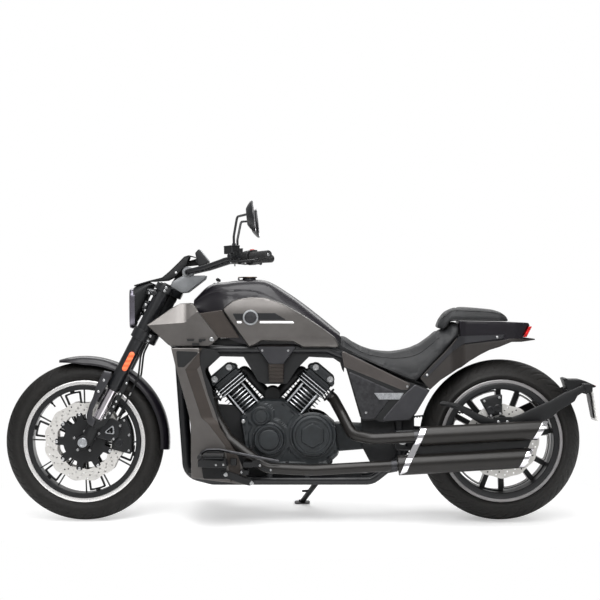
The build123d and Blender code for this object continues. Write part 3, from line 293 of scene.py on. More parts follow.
def moulded(outline, back, height, edge=4.0, cell=9.0, creases=(), place=None, wall=0.35):
    """A panel with a flat back and a raised face. A net of points fills the outline; height
    gives each point's Y from its X, its Z and its distance to the edge, and within the edge
    width that height rolls down in a quarter circle, to a side wall that is a share of it."""
    loop = dense(outline, cell)
    ahead = np.roll(loop, -1, 0) - np.roll(loop, 1, 0)
    inward = np.stack([-ahead[:, 1], ahead[:, 0]], -1) / np.linalg.norm(ahead, axis=1)[:, None]
    area = np.sum(loop[:, 0] * np.roll(loop[:, 1], -1) - np.roll(loop[:, 0], -1) * loop[:, 1])
    inward *= np.sign(area)
    rings = [loop + inward * edge * share for share in (0.12, 0.4, 1.0)]
    xs = np.arange(loop[:, 0].min(), loop[:, 0].max(), cell)
    zs = np.arange(loop[:, 1].min(), loop[:, 1].max(), cell)
    net = np.stack(np.meshgrid(xs, zs), -1).reshape(-1, 2)
    lines = [dense(line, cell, closed=False) for line in creases]
    inner = np.vstack(rings + [net])
    clear = edge_distance(inner, loop)
    wanted = np.concatenate([np.full(len(ring), edge * share * 0.8)
                             for ring, share in zip(rings, (0.12, 0.4, 1.0))]
                            + [np.full(len(net), edge + cell * 0.4)])
    inner = inner[clear > wanted]
    everything = np.vstack([loop, inner] + lines) if lines else np.vstack([loop, inner])
    count, edges = len(loop) + len(inner), []
    for line in lines:
        edges += [(count + i, count + i + 1) for i in range(len(line) - 1)]
        count += len(line)
    flat, _, faces, *_ = delaunay_2d_cdt([tuple(p) for p in everything], edges,
                                         [list(range(len(loop)))], 1, 1e-3)
    flat = np.array([tuple(p) for p in flat])
    far = edge_distance(flat, loop)
    face = height(flat[:, 0], flat[:, 1], far)
    roll = np.sqrt(1 - (1 - np.clip(far / edge, 0, 1)) ** 2)
    lip = back + (face - back) * wall
    front = np.stack([flat[:, 0], np.where(far < edge, lip + (face - lip) * roll, face),
                      flat[:, 1]], -1)
    rim = np.flatnonzero(far < 1e-2)
    behind = front.copy()
    behind[:, 1] = back
    faces = [list(f) for f in faces]
    total = len(front)
    sides = {}
    for f in faces:
        for a, b in zip(f, f[1:] + f[:1]):
            sides[(a, b)] = sides.get((a, b), 0) + 1
    walls = [[b, a, a + total, b + total] for a, b in sides if (b, a) not in sides]
    shell = (np.vstack([front, behind]),
             faces + [[c + total for c in f[::-1]] for f in faces] + walls)
    return (shell if place is None else (place(shell[0]), shell[1]))


def level(reach):
    """A height for moulded that is the same everywhere."""
    return lambda x, z, far: reach + 0 * x


def rolled(reach, drop, width):
    """A height for moulded that sinks towards the edge by drop times exp(-distance / width)."""
    return lambda x, z, far: reach - drop * np.exp(-far / width)


# %% [markdown]
# A finished piece is one mesh of several shells, each with its own material. Its points are
# leaned and moved once, at the end, so that the object itself stays at the origin, unturned.
# Faces that meet at more than 35 degrees keep a crisp edge, and the rest shade smoothly, with
# the big faces' direction weighing most, so that flat faces look flat.

# %% Making a piece
def piece(name, shells, body, replaces=(), crisp=35.0, weighted=True):
    """Builds the mesh from (shell, material) pairs in drawn millimetres, and says what it rides
    on and which solid it stands for."""
    mesh = bpy.data.meshes.new(name)
    points, faces = joined(*[shell for shell, _ in shells])
    mesh.from_pydata(stand(points), [], faces)
    finishes = []
    for _, finish in shells:
        if finish not in finishes:
            finishes.append(finish)
            mesh.materials.append(finish)
    slots = np.concatenate([np.full(len(shell[1]), finishes.index(finish))
                            for shell, finish in shells])
    mesh.polygons.foreach_set("material_index", slots)
    mesh.polygons.foreach_set("use_smooth", np.ones(len(faces), bool))
    work = bmesh.new()
    work.from_mesh(mesh)
    bmesh.ops.remove_doubles(work, verts=work.verts, dist=2e-6)
    bmesh.ops.recalc_face_normals(work, faces=work.faces)
    work.to_mesh(mesh)
    work.free()
    mesh.set_sharp_from_angle(angle=math.radians(crisp))
    made = bpy.data.objects.new(name, mesh)
    bpy.context.scene.collection.objects.link(made)
    if weighted:
        made.modifiers.new("even shading", "WEIGHTED_NORMAL").keep_sharp = True
    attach(made, body)
    if replaces:
        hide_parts(*replaces)
    print(name, len(mesh.polygons), "faces on", body)
    return made


BIKE, STEER = "chassis", "steering_assembly"
FRONT_WHEEL, REAR_WHEEL = "front_wheel_assembly", "rear_wheel_assembly"

# %% [markdown]
# ## Finishes
# A finish starts from the real one: what it is made of, and how its surface was left. Colours
# are written as sRGB hex values and turned to linear by one function. One helper adds a node
# with its settings and links, and `finish` uses it for what nearly every surface has: two close
# tones in soft patches, a little change in roughness, and a fine relief at a real size.

# %% Colour and node helpers
def linear(code):
    """An sRGB hex value as linear red, green and blue, plus alpha."""
    parts = np.array([int(code[i:i + 2], 16) for i in (1, 3, 5)]) / 255
    low = parts <= 0.04045
    return (*np.where(low, parts / 12.92, ((parts + 0.055) / 1.055) ** 2.4), 1.0)


def node(tree, kind, inputs=None, stops=(), onto=None, **settings):
    """Adds one node, sets its properties, and gives each named input a value or a link. stops
    are a colour ramp's (position, hex or grey), and onto is an input that its first output is
    linked to."""
    made = tree.nodes.new(kind)
    for name, value in settings.items():
        setattr(made, name, value)
    for name, value in (inputs or {}).items():
        if isinstance(value, bpy.types.NodeSocket):
            tree.links.new(value, made.inputs[name])
        else:
            made.inputs[name].default_value = value
    for index, (place, tone) in enumerate(stops):
        points = made.color_ramp.elements
        point = points[index] if index < len(points) else points.new(place)
        point.position = place
        point.color = linear(tone) if isinstance(tone, str) else (tone, tone, tone, 1)
    if onto:
        tree.links.new(made.outputs[0], onto)
    return made


def blank(name, **constants):
    """A new material, its node tree, its Principled shader and its Object coordinates."""
    material = bpy.data.materials.new(name)
    material.use_nodes = True
    tree = material.node_tree
    tree.nodes.clear()
    shader = node(tree, "ShaderNodeBsdfPrincipled", constants)
    out = node(tree, "ShaderNodeOutputMaterial")
    tree.links.new(shader.outputs["BSDF"], out.inputs["Surface"])
    where = node(tree, "ShaderNodeTexCoord").outputs["Object"]
    return material, tree, shader, where


def finish(name, dark, light, rough, patch=60.0, grain=0.0, relief=0.0, **constants):
    """A finish with tones from dark to light in patches, roughness between two values, and a
    relief of that height over grains of that size, in millimetres."""
    material, tree, shader, where = blank(name, **constants)
    broad = node(tree, "ShaderNodeTexNoise", {"Vector": where, "Scale": 1000 / patch,
                                              "Detail": 3.0, "Roughness": 0.6})
    node(tree, "ShaderNodeValToRGB", {"Fac": broad.outputs["Fac"]}, ((0.3, dark), (0.7, light)),
         shader.inputs["Base Color"])
    fine = node(tree, "ShaderNodeTexNoise", {"Vector": where, "Scale": 1000 / (patch * 0.2),
                                             "Detail": 4.0, "Roughness": 0.65})
    node(tree, "ShaderNodeMapRange", {"Value": fine.outputs["Fac"], "From Min": 0.3,
                                      "From Max": 0.7, "To Min": rough[0], "To Max": rough[1]},
         onto=shader.inputs["Roughness"])
    if grain:
        grit = node(tree, "ShaderNodeTexNoise", {"Vector": where, "Scale": 1000 / grain,
                                                 "Detail": 2.0})
        node(tree, "ShaderNodeBump", {"Height": grit.outputs["Fac"], "Strength": 1.0,
                                      "Distance": relief / 1000},
             onto=shader.inputs["Normal"])
    return material


# %% [markdown]
# The painted finishes come first. Tank, fender and tail wear black lacquer under a clear coat:
# the coat gives sharp reflections, and the paint under it almost none. The covers wear a
# gunmetal lacquer with aluminium flake, which is brighter where it faces the light; graphite,
# umber and warm grey are its darker companions on set-back facets. Tubes are powder coated,
# which leaves a faint orange peel, and castings carry a tough satin paint.

# %% Painted finishes
BLACK_LACQUER = finish("black_lacquer", "#0c090f", "#110e15", (0.34, 0.42), 90,
                       **{"Coat Weight": 0.22, "Coat Roughness": 0.08, "Specular IOR Level": 0.3})
GUNMETAL = finish("gunmetal_lacquer", "#615e5c", "#6a6765", (0.34, 0.42), 80, 0.5, 0.004,
                  **{"Metallic": 0.85, "Coat Weight": 0.25, "Coat Roughness": 0.12})
GRAPHITE = finish("graphite_lacquer", "#37373a", "#3f3f42", (0.36, 0.46), 80, 0.5, 0.004,
                  **{"Metallic": 0.7, "Coat Weight": 0.2, "Coat Roughness": 0.15})
UMBER = finish("umber_lacquer", "#35302d", "#3d3733", (0.4, 0.5), 80, 0.5, 0.004,
               **{"Metallic": 0.6, "Coat Weight": 0.15, "Coat Roughness": 0.2})
WARM_GREY = finish("warm_grey_lacquer", "#4a4644", "#524d4b", (0.36, 0.46), 80, 0.5, 0.004,
                   **{"Metallic": 0.7, "Coat Weight": 0.2, "Coat Roughness": 0.15})
SATIN_BLACK = finish("powder_coated_steel", "#101113", "#17181b", (0.3, 0.4), 40, 1.4, 0.03,
                     **{"Specular IOR Level": 0.4, "Coat Weight": 0.1, "Coat Roughness": 0.3})
WHEEL_BLACK = finish("powder_coated_wheel", "#0a0b0d", "#101114", (0.34, 0.44), 50, 1.2, 0.02,
                     **{"Specular IOR Level": 0.4, "Coat Weight": 0.1, "Coat Roughness": 0.25})
ENGINE_PAINT = finish("satin_engine_paint", "#1a1d1f", "#23272a", (0.4, 0.52), 30, 1.6, 0.05,
                      **{"IOR": 1.5, "Metallic": 0.25})
SILENCER_BLACK = finish("ceramic_coated_steel", "#1a1817", "#201e1c", (0.3, 0.38), 120, 0.6,
                        0.004, **{"Metallic": 0.2, "Specular IOR Level": 0.4})
WHITE_STRIPE = finish("white_vinyl_film", "#e9e9ea", "#f2f2f2", (0.3, 0.38), 50)

# %% [markdown]
# Bare metals keep the default index of refraction. What tells them apart is how they were
# worked: chrome is polished to a mirror, a brake disc is ground in circles round its axle, and
# a turned or milled edge keeps the lines of the tool. Fine scratches scatter light, so ground
# metal is drawn partly matt. Its circles come from a noise whose coordinate is the distance
# from the axle, worked out from the axle's place on the machine.

# %% Bare metals
CHROME = finish("polished_chrome", "#e4e2e6", "#efeef1", (0.05, 0.1), 60, Metallic=1.0)
HARD_CHROME = finish("hard_chrome_tube", "#d9d3d9", "#e9e4ea", (0.08, 0.14), 40, Metallic=1.0)
MILLED = finish("milled_aluminium", "#b9bcc0", "#d2d4d7", (0.24, 0.36), 12, 0.7, 0.02,
                Metallic=1.0)
ZINC = finish("zinc_plated_bolt", "#b9babb", "#d6d7d8", (0.2, 0.34), 6, Metallic=1.0)
BRONZE = finish("bronze_anodised_alloy", "#54483f", "#63564b", (0.3, 0.4), 30, 0.6, 0.01,
                Metallic=1.0)
DARK_STEEL = finish("oiled_steel", "#3a3a3c", "#4a4a4c", (0.35, 0.5), 20, 0.8, 0.02,
                    Metallic=1.0)


def ground(name, dark, light, rough, centre, line):
    """Metal ground or turned about a cross axis: noise along the distance from that axis."""
    material, tree, shader, where = blank(name, Metallic=0.7)
    middle = stand(centre)
    local = node(tree, "ShaderNodeVectorMath", {0: where, 1: tuple(middle)},
                 operation="SUBTRACT")
    upright = node(tree, "ShaderNodeVectorRotate", {"Vector": local.outputs["Vector"],
                                                    "Angle": -LEAN}, rotation_type="X_AXIS")
    parts = node(tree, "ShaderNodeSeparateXYZ", {"Vector": upright.outputs["Vector"]})
    flat = node(tree, "ShaderNodeCombineXYZ", {"X": parts.outputs["X"], "Z": parts.outputs["Z"]})
    far = node(tree, "ShaderNodeVectorMath", {0: flat.outputs["Vector"]}, operation="LENGTH")
    lines = node(tree, "ShaderNodeTexNoise", {"W": far.outputs["Value"], "Scale": 1000 / line,
                                              "Detail": 3.0}, noise_dimensions="1D")
    broad = node(tree, "ShaderNodeTexNoise", {"Vector": where, "Scale": 18.0, "Detail": 2.0})
    mixed = node(tree, "ShaderNodeMath", {0: lines.outputs["Fac"], 1: broad.outputs["Fac"]},
                 operation="MULTIPLY_ADD")
    mixed.inputs[2].default_value = 0.2
    node(tree, "ShaderNodeValToRGB", {"Fac": mixed.outputs["Value"]}, ((0.25, dark), (0.65, light)),
         shader.inputs["Base Color"])
    node(tree, "ShaderNodeMapRange", {"Value": lines.outputs["Fac"], "From Min": 0.3,
                                      "From Max": 0.7, "To Min": rough[0], "To Max": rough[1]},
         onto=shader.inputs["Roughness"])
    return material


REAR_AXLE = np.array([0.0, 0.0, AXLE_HEIGHT])
FRONT_DISC_STEEL = ground("ground_disc_steel_front", "#d2d0cc", "#dddbd8", (0.34, 0.46),
                          FRONT_AXLE, 1.2)
REAR_DISC_STEEL = ground("ground_disc_steel_rear", "#d2d0cc", "#dddbd8", (0.34, 0.46),
                         REAR_AXLE, 1.2)
FRONT_RIM_METAL = ground("turned_aluminium_front", "#dedddd", "#eeecea", (0.2, 0.3),
                         FRONT_AXLE, 0.9)
REAR_RIM_METAL = ground("turned_aluminium_rear", "#dedddd", "#eeecea", (0.2, 0.3),
                        REAR_AXLE, 0.9)
REAR_LIP_METAL = ground("turned_lip_rear", "#8f8d8e", "#a5a3a3", (0.28, 0.38), REAR_AXLE, 0.9)
print("metals ready")

# %% [markdown]
# Rubber, moulded plastic and seat cover are dull and dark, and what shows is their grain.
# A tyre is slightly brown and rougher on its tread. Moulded ABS has an even spark-eroded
# grain. The seats wear a coated fabric with a leather grain of small cells about 3 mm wide.

# %% Rubber, plastic and seat cover
TYRE_RUBBER = finish("vulcanised_rubber", "#0e0d0c", "#141210", (0.6, 0.76), 45, 1.5, 0.05,
                     **{"Specular IOR Level": 0.35})
MATTE_BLACK = finish("spark_grained_abs", "#0c0d0e", "#121315", (0.46, 0.56), 50, 1.2, 0.05,
                     **{"Specular IOR Level": 0.35})
GRIP_RUBBER = finish("soft_grip_rubber", "#161617", "#1c1c1d", (0.6, 0.72), 20, 1.0, 0.05)
BELT_RUBBER = finish("cord_reinforced_rubber", "#131314", "#1b1b1c", (0.5, 0.62), 10, 1.0, 0.05)


def seat_cover():
    """Coated fabric: cells of a Voronoi net give the leather grain, and a fine noise its pores."""
    material, tree, shader, where = blank("grained_seat_cover", **{"IOR": 1.45,
                                                                   "Sheen Weight": 0.08,
                                                                   "Sheen Roughness": 0.4})
    broad = node(tree, "ShaderNodeTexNoise", {"Vector": where, "Scale": 14.0, "Detail": 3.0})
    node(tree, "ShaderNodeValToRGB", {"Fac": broad.outputs["Fac"]}, ((0.3, "#121315"), (0.7, "#191a1c")),
         shader.inputs["Base Color"])
    cells = node(tree, "ShaderNodeTexVoronoi", {"Vector": where, "Scale": 1000 / 3.0},
                 feature="DISTANCE_TO_EDGE")
    crease = node(tree, "ShaderNodeMapRange", {"Value": cells.outputs["Distance"],
                                               "From Max": 0.25})
    pores = node(tree, "ShaderNodeTexNoise", {"Vector": where, "Scale": 1000 / 0.8})
    height = node(tree, "ShaderNodeMath", {0: crease.outputs["Result"],
                                           1: pores.outputs["Fac"]}, operation="MULTIPLY_ADD")
    height.inputs[2].default_value = 0.0
    node(tree, "ShaderNodeBump", {"Height": height.outputs["Value"], "Strength": 0.8,
                                  "Distance": 0.00025},
         onto=shader.inputs["Normal"])
    node(tree, "ShaderNodeMapRange", {"Value": crease.outputs["Result"], "To Min": 0.72,
                                      "To Max": 0.5}, onto=shader.inputs["Roughness"])
    return material


SEAT_COVER = seat_cover()

# %% [markdown]
# Lenses are clear or dyed plastic. A thin clear lens needs only transmission; a tail lamp's
# lens also has rows of small prisms inside, which a wave pattern 4 mm wide stands for. The
# mirror is silvered glass, so it is metal under a smooth coat.

# %% Lenses and glass
def lens(name, dark, light, rough, prism, transmission):
    """Moulded clear plastic with prism rows of that width in millimetres."""
    material, tree, shader, where = blank(name, **{"IOR": 1.49,
                                                   "Transmission Weight": transmission,
                                                   "Coat Weight": 0.4})
    rows = node(tree, "ShaderNodeTexWave", {"Vector": where, "Scale": 1000 / prism / 20,
                                            "Distortion": 0.0}, bands_direction="Z")
    node(tree, "ShaderNodeValToRGB", {"Fac": rows.outputs["Fac"]}, ((0.2, dark), (0.8, light)),
         shader.inputs["Base Color"])
    cloud = node(tree, "ShaderNodeTexNoise", {"Vector": where, "Scale": 60.0})
    node(tree, "ShaderNodeMapRange", {"Value": cloud.outputs["Fac"], "To Min": rough[0],
                                      "To Max": rough[1]}, onto=shader.inputs["Roughness"])
    node(tree, "ShaderNodeBump", {"Height": rows.outputs["Fac"], "Strength": 0.6,
                                  "Distance": 0.0003},
         onto=shader.inputs["Normal"])
    return material


CLEAR_LENS = lens("clear_polycarbonate", "#e6ebf0", "#f4f7fa", (0.02, 0.06), 40.0, 0.95)
RED_LENS = lens("red_acrylic", "#b80d10", "#e21a1a", (0.08, 0.16), 4.0, 0.25)
ORANGE_LENS = lens("orange_acrylic", "#e8643a", "#ff7f50", (0.2, 0.3), 3.0, 0.0)
MIRROR_GLASS = finish("silvered_glass", "#d5d9dc", "#dfe3e6", (0.01, 0.03), 90, Metallic=1.0)
RED_SWITCH = finish("red_moulded_switch", "#b8231d", "#c92c24", (0.35, 0.45), 10)

# %% [markdown]
# Every solid node first gets the finish of what it is. Where its shape is right it stays as it
# is in CAD, and where a new piece replaces it later, the node is hidden and this one is unused.

# %% Finishes for the solid nodes
FINISHES = {
    TYRE_RUBBER: "front_tyre rear_tyre",
    WHEEL_BLACK: "front_wheel rear_wheel swingarm rear_pulley side_stand",
    FRONT_DISC_STEEL: "front_discs", REAR_DISC_STEEL: "rear_disc",
    CHROME: "front_axle rear_axle", HARD_CHROME: "fork_stanchions",
    SATIN_BLACK: "fork_outer_tubes fork_lowers fork_yokes frame handlebar bar_risers mirrors "
                 "hand_levers exhaust_headers footrests",
    GRAPHITE: "fork_guards side_covers airbox_cover",
    MATTE_BLACK: "headlamp visor instrument control_housings front_calipers rear_caliper "
                 "plate_holder radiator front_turn_lamps",
    BLACK_LACQUER: "front_fender tank tail fuel_cap",
    GUNMETAL: "tank_panels front_panels radiator_shrouds",
    ENGINE_PAINT: "crankcase engine_covers cylinders cylinder_heads",
    SILENCER_BLACK: "silencers", GRIP_RUBBER: "grips front_brake_hoses",
    BELT_RUBBER: "drive_belt", SEAT_COVER: "rider_seat pillion_pad",
    CLEAR_LENS: "headlamp_lens", RED_LENS: "tail_lamp", ORANGE_LENS: "fork_reflectors",
}
for material, names in FINISHES.items():
    for name in names.split():
        NODES[name].data.materials.clear()
        NODES[name].data.materials.append(material)
left_bare = sorted(set(NODES) - set(" ".join(FINISHES.values()).split()))
print("nodes with no finish:", left_bare)

# %% [markdown]
# ## Wheels
# A cast wheel is a hoop whose two lips are turned bright on a lathe, with forked spokes in
# black. Anything round about the axle is one profile carried round it. The spokes are drawn
# flat, in distances from the axle, and cut as thick plates with rounded edges, because their
# outline is what the eye reads.

# %% Outlines round an axle
def polar(axle, radius, angle):
    """Side-view points at a radius and an angle, in degrees up from forward, about an axle."""
    angle = np.radians(angle)
    return np.stack([axle[0] + radius * np.cos(angle), axle[2] + radius * np.sin(angle)], -1)


def about(axle, radius, angle, side):
    """A point at a radius and an angle about an axle, that far to the side."""
    x, z = polar(axle, radius, angle)
    return np.array([x, side, z])


def tapered_loop(axle, middle, half_low, half_high, low, high, corner=5.0):
    """A loop on a spoke's middle line, of one half width at its foot and another at its tip."""
    arc = np.linspace(-1, 1, 7)
    foot = polar(axle, low, middle + np.degrees(np.arcsin(half_low / low)) * arc[[0, -1]])
    tip = polar(axle, high, middle + np.degrees(np.arcsin(half_high / high)) * arc)
    return fillet(np.vstack([foot[:1], tip, foot[1:]]), [corner, corner, 0, 0, 0, 0, 0,
                                                         corner, corner])


def hoop(axle, half, metal, inner=229.4):
    """The rim: a black barrel with a turned ring from radius inner to 246 on each side."""
    out = half + 6.0
    barrel = [(208.6, -out + 3), (208.6, out - 3), (211, out - 1.2), (225.5, out - 0.8),
              (inner - 0.4, out - 3.2), (inner - 0.8, half), (224, half - 14),
              (214, half * 0.5), (213, 0), (214, -half * 0.5), (224, 14 - half),
              (inner - 0.8, -half), (inner - 0.4, 3.2 - out), (225.5, 0.8 - out),
              (211, 1.2 - out)]
    ring = [(inner, out - 3.4), (inner + 1.6, out - 0.6), (inner + 3.6, out - 0.2), (243, out),
            (246, out - 2), (246, half + 1), (244, half + 0.2), (inner + 0.6, half + 0.2)]
    shells = [(turned(barrel, axle, turns=120, loop=True), WHEEL_BLACK)]
    for side in (1, -1):
        profile = [(r, side * y) for r, y in ring]
        shells.append((turned(profile, axle, turns=120, loop=True), metal))
    return shells


# %% [markdown]
# The front wheel is narrow. Each of its six spokes is a pair of thin bars with a U-shaped
# frame between them, open to the road behind. The hub is a turned drum that the discs bolt to.

# %% Front wheel
def front_spokes():
    """Six spokes, 60 degrees apart: two outer bars and a frame with a long window."""
    shells = []
    for middle in 15.0 + 60.0 * np.arange(6):
        for side in (1, -1):
            outer = [polar(FRONT_AXLE, r, middle + side * a) for r, a in
                     ((40, 13), (70, 13.2), (211, 13.0), (211, 14.4), (70, 16.6), (40, 20))]
            shells.append(cut_plate([np.array(outer)], -11, 11, 1.5))
        frame_loop = tapered_loop(FRONT_AXLE, middle, 12, 34, 34, 203, 6)
        window = tapered_loop(FRONT_AXLE, middle, 8, 25.5, 70, 196, 5)
        shells.append(cut_plate([frame_loop, window], -9, 9, 1.2))
        arch = [polar(FRONT_AXLE, r, middle + a) for r, a in
                ((202, -2.5), (211, -2.5), (211, 2.5), (202, 2.5))]
        shells.append(cut_plate([np.array(arch)], -8, 8, 0.8))
    return joined(*shells)


hub = [(12.6, -48), (26, -48), (30, -46), (34, -30), (38, -22), (44, -14), (44, 14), (38, 22),
       (34, 30), (30, 46), (26, 48), (12.6, 48)]
piece("front_wheel_dressed",
      hoop(FRONT_AXLE, 44.2, FRONT_RIM_METAL)
      + [(front_spokes(), WHEEL_BLACK),
         (turned(hub, FRONT_AXLE, turns=64, loop=True), WHEEL_BLACK),
         (swept([FRONT_AXLE + (r * math.cos(0.845), 0, r * math.sin(0.845))
                 for r in (212, 200, 199, 184)], (5.5, 4.6, 3.2, 3.2), 12), MATTE_BLACK)],
      FRONT_WHEEL, ["front_wheel"])

# %% [markdown]
# The rear wheel is nearly twice as wide. Its forked spokes are broad, and a milled bright line
# runs along the edge of each window, where the cutter has taken the black coat off.

# %% Rear wheel
def rear_spokes():
    """Six forks whose legs frame a small window; a thin bright plate follows each wide one."""
    black, bright = [], []
    for middle in 39.5 + 60.0 * np.arange(6):
        fork_loop = tapered_loop(REAR_AXLE, middle, 26, 49, 42, 211, 5)
        window = tapered_loop(REAR_AXLE, middle, 8, 29, 96, 203, 6)
        black.append(cut_plate([fork_loop, window], -16, 16, 2.0))
        gap = middle + 30.0
        outer = tapered_loop(REAR_AXLE, gap, 20, 54, 86, 199, 8)
        inner = tapered_loop(REAR_AXLE, gap, 16.5, 50.5, 90, 195, 7)
        for low, high in ((16.2, 20.0), (-20.0, -16.2)):
            bright.append(cut_plate([outer, inner], low, high, 0.6))
        rail = tapered_loop(REAR_AXLE, gap, 22, 56, 82, 202, 8)
        black.append(cut_plate([rail, outer], -17.5, 17.5, 1.0))
    return joined(*black), joined(*bright)


black, bright = rear_spokes()
drum = [(12.6, -103), (38, -103), (44, -98), (44, -60), (56, -20), (56, 20), (44, 60), (44, 98),
        (38, 103), (12.6, 103)]
piece("rear_wheel_dressed",
      hoop(REAR_AXLE, 108.0, REAR_LIP_METAL, inner=232.5)
      + [(black, WHEEL_BLACK), (bright, REAR_RIM_METAL),
         (turned(drum, REAR_AXLE, turns=64, loop=True), WHEEL_BLACK)],
      REAR_WHEEL, ["rear_wheel"])

# %% [markdown]
# A tyre is a closed profile too, but its tread is not the same all round: slanted grooves cut
# the rubber. So the profile becomes a grid, and every grid point near the crown sinks where a
# groove passes. A groove is a line on the tread, and the point's distance to it decides.

# %% Tyres
def tyre(name, axle, radius, width, crown, rim_half, count, body, node_name, slant):
    """The crown is an arc of the crown radius, the walls bulge to the full width, and grooves
    sink by up to 4 mm: their phase runs with the turn and with the distance from the middle."""
    half = width * 0.45
    drop = crown - math.sqrt(crown ** 2 - half ** 2)
    crown_points = 51
    y = np.linspace(-half, half, crown_points)
    r = radius - crown + np.sqrt(crown ** 2 - y ** 2)
    share = np.linspace(0, 1, 14)[1:]
    top, low = radius - drop, 250.0
    wall_r = top + (low - top) * share
    bulge = half + (width / 2 - half) * np.sin(np.pi * np.clip(share * 0.9, 0, 1)) \
        + (rim_half + 2 - half) * share ** 2.2
    bead = [(247, rim_half + 1.5), (246.2, rim_half + 0.1), (229.2, rim_half - 0.3)]
    right = np.stack([wall_r, bulge], -1)
    profile = np.vstack([np.stack([r, y], -1), right, bead,
                         [(p, -q) for p, q in bead[::-1]], right[::-1] * (1, -1)])
    turns = 900
    angle = np.linspace(0, 2 * np.pi, turns, endpoint=False)[:, None]
    radii = np.repeat(profile[None, :, 0], turns, 0)
    side = profile[None, :, 1]
    across = side / half
    phase = angle * count / (2 * np.pi) + np.abs(across) * slant + 0.25 * np.sign(across)

    def groove(phase, peak, width, start, end):
        """1 on the lines where the phase is whole, less beside them, 0 outside start to end."""
        near = np.abs(phase - np.round(phase)) * 2 * np.pi * radius / count
        return np.clip(peak - near / width, 0, 1) * (np.abs(across) > start) \
            * (np.abs(across) < end)

    cuts = np.maximum(groove(phase, 1.4, 3.2, 0.1, 0.86),
                      groove(phase + 0.5, 1.3, 2.6, 0.45, 0.97))
    on_tread = np.arange(len(profile))[None] < crown_points
    ribs = 0.5 * (np.abs(radii - 262) < 1.6) + 0.4 * (np.abs(radii - 254) < 1.2)
    radii = radii - on_tread * 4.0 * cuts
    lateral = np.repeat(side, turns, 0) + (~on_tread) * ribs * np.sign(side)
    points = np.stack([axle[0] + radii * np.cos(angle), lateral,
                       axle[2] + radii * np.sin(angle)], -1)
    shell = grid(points, wrap_u=True, wrap_v=True)
    piece(name, [(shell, TYRE_RUBBER)], body, [node_name], crisp=60)


tyre("front_tyre_treaded", FRONT_AXLE, 319.6, 130.0, 69.0, 44.2, 26, FRONT_WHEEL,
     "front_tyre", 0.9)
tyre("rear_tyre_treaded", REAR_AXLE, 324.6, 240.0, 150.0, 108.0, 24, REAR_WHEEL,
     "rear_tyre", 1.3)

# %% [markdown]
# A brake disc is a thin steel ring, waved on both edges and drilled, which floats on buttons in
# a black carrier. As a filled curve the outline may wave as it likes: its radius is a mean plus
# a cosine of the turn.

# %% Brake discs
def waved(axle, radius, depth, count, phase=0.0):
    """Outline whose radius is a mean plus depth times a cosine, that often in a turn."""
    turn = np.arange(0, 360, 2.0)
    return polar(axle, radius + depth * np.cos(np.radians(count * turn + phase)), turn)


def drilled(axle, rows, count, size):
    """Holes in rings: each row has its own radius and starts a third of a step later."""
    step = 360.0 / count
    return [circle(*polar(axle, radius, step * i + shift * step), size, 8)
            for radius, shift in rows for i in range(count)]


def carrier(axle, reach, core, arms, low, high):
    """The black carrier: a round plate with arms, whose outline steps between two radii with a
    steep wave, once for each arm."""
    turn = np.arange(0, 360, 1.5)
    wave = np.tanh(5 * (np.cos(np.radians(turn * arms)) - 0.35))
    star = polar(axle, reach * 0.86 + reach * 0.14 * wave, turn)
    return cut_plate([star, circle(axle[0], axle[2], core, 40)], low, high, 0.8)


def front_disc(side):
    """One disc with its carrier and its buttons, on one side."""
    y = 58.0 * side
    low, high = y - 2.5, y + 2.5
    plate = cut_plate([waved(FRONT_AXLE, 158, 3.5, 12, 180), waved(FRONT_AXLE, 109, 4, 9, 180)]
                      + drilled(FRONT_AXLE, ((127, 0), (137, 0.33), (148, 0.66)), 24, 3.4),
                      low, high, 0.5)
    black = carrier(FRONT_AXLE, 117, 30, 9, low - 1, high + 1)
    outside = high + 1 if side > 0 else low - 1
    studs = [stud((6, 2.2, 4.6, 2.8), about(FRONT_AXLE, 111, 40.0 * i, outside), 16,
                  (0, side, 0)) for i in range(9)]
    bolts = [stud((5.5, 4, 4.6, 5), about(FRONT_AXLE, 42, 72.0 * i + 20, outside), 14,
                  (0, side, 0)) for i in range(5)]
    return plate, black, joined(*studs, *bolts)


left, right = front_disc(1), front_disc(-1)
piece("front_discs_drilled", [(joined(left[0], right[0]), FRONT_DISC_STEEL),
                              (joined(left[1], right[1]), WHEEL_BLACK),
                              (joined(left[2], right[2]), ZINC)],
      FRONT_WHEEL, ["front_discs"])
plate = cut_plate([waved(REAR_AXLE, 147.5, 2.5, 12), waved(REAR_AXLE, 100, 3, 12)]
                  + drilled(REAR_AXLE, ((112, 0), (124, 0.33), (136, 0.66)), 24, 3.4),
                  121.5, 126.5, 0.5)
piece("rear_disc_drilled", [(plate, REAR_DISC_STEEL),
                            (carrier(REAR_AXLE, 104, 31, 8, 120.6, 127.4), WHEEL_BLACK),
                            (turned(box(30, 104, 40, 121), REAR_AXLE, turns=48, loop=True),
                             WHEEL_BLACK)],
      REAR_WHEEL, ["rear_disc"])

# %% [markdown]
# ## Tank
# The tank is pressed from steel: a long hump, round across its top and nearly flat in its
# flanks. It is a loft: at each station along the machine stands the upper half of a
# superellipse, between a smooth bottom line and a smooth top line. A black cover sits over its
# crown, and the step along the cover's edge comes from setting the rest in by two millimetres.

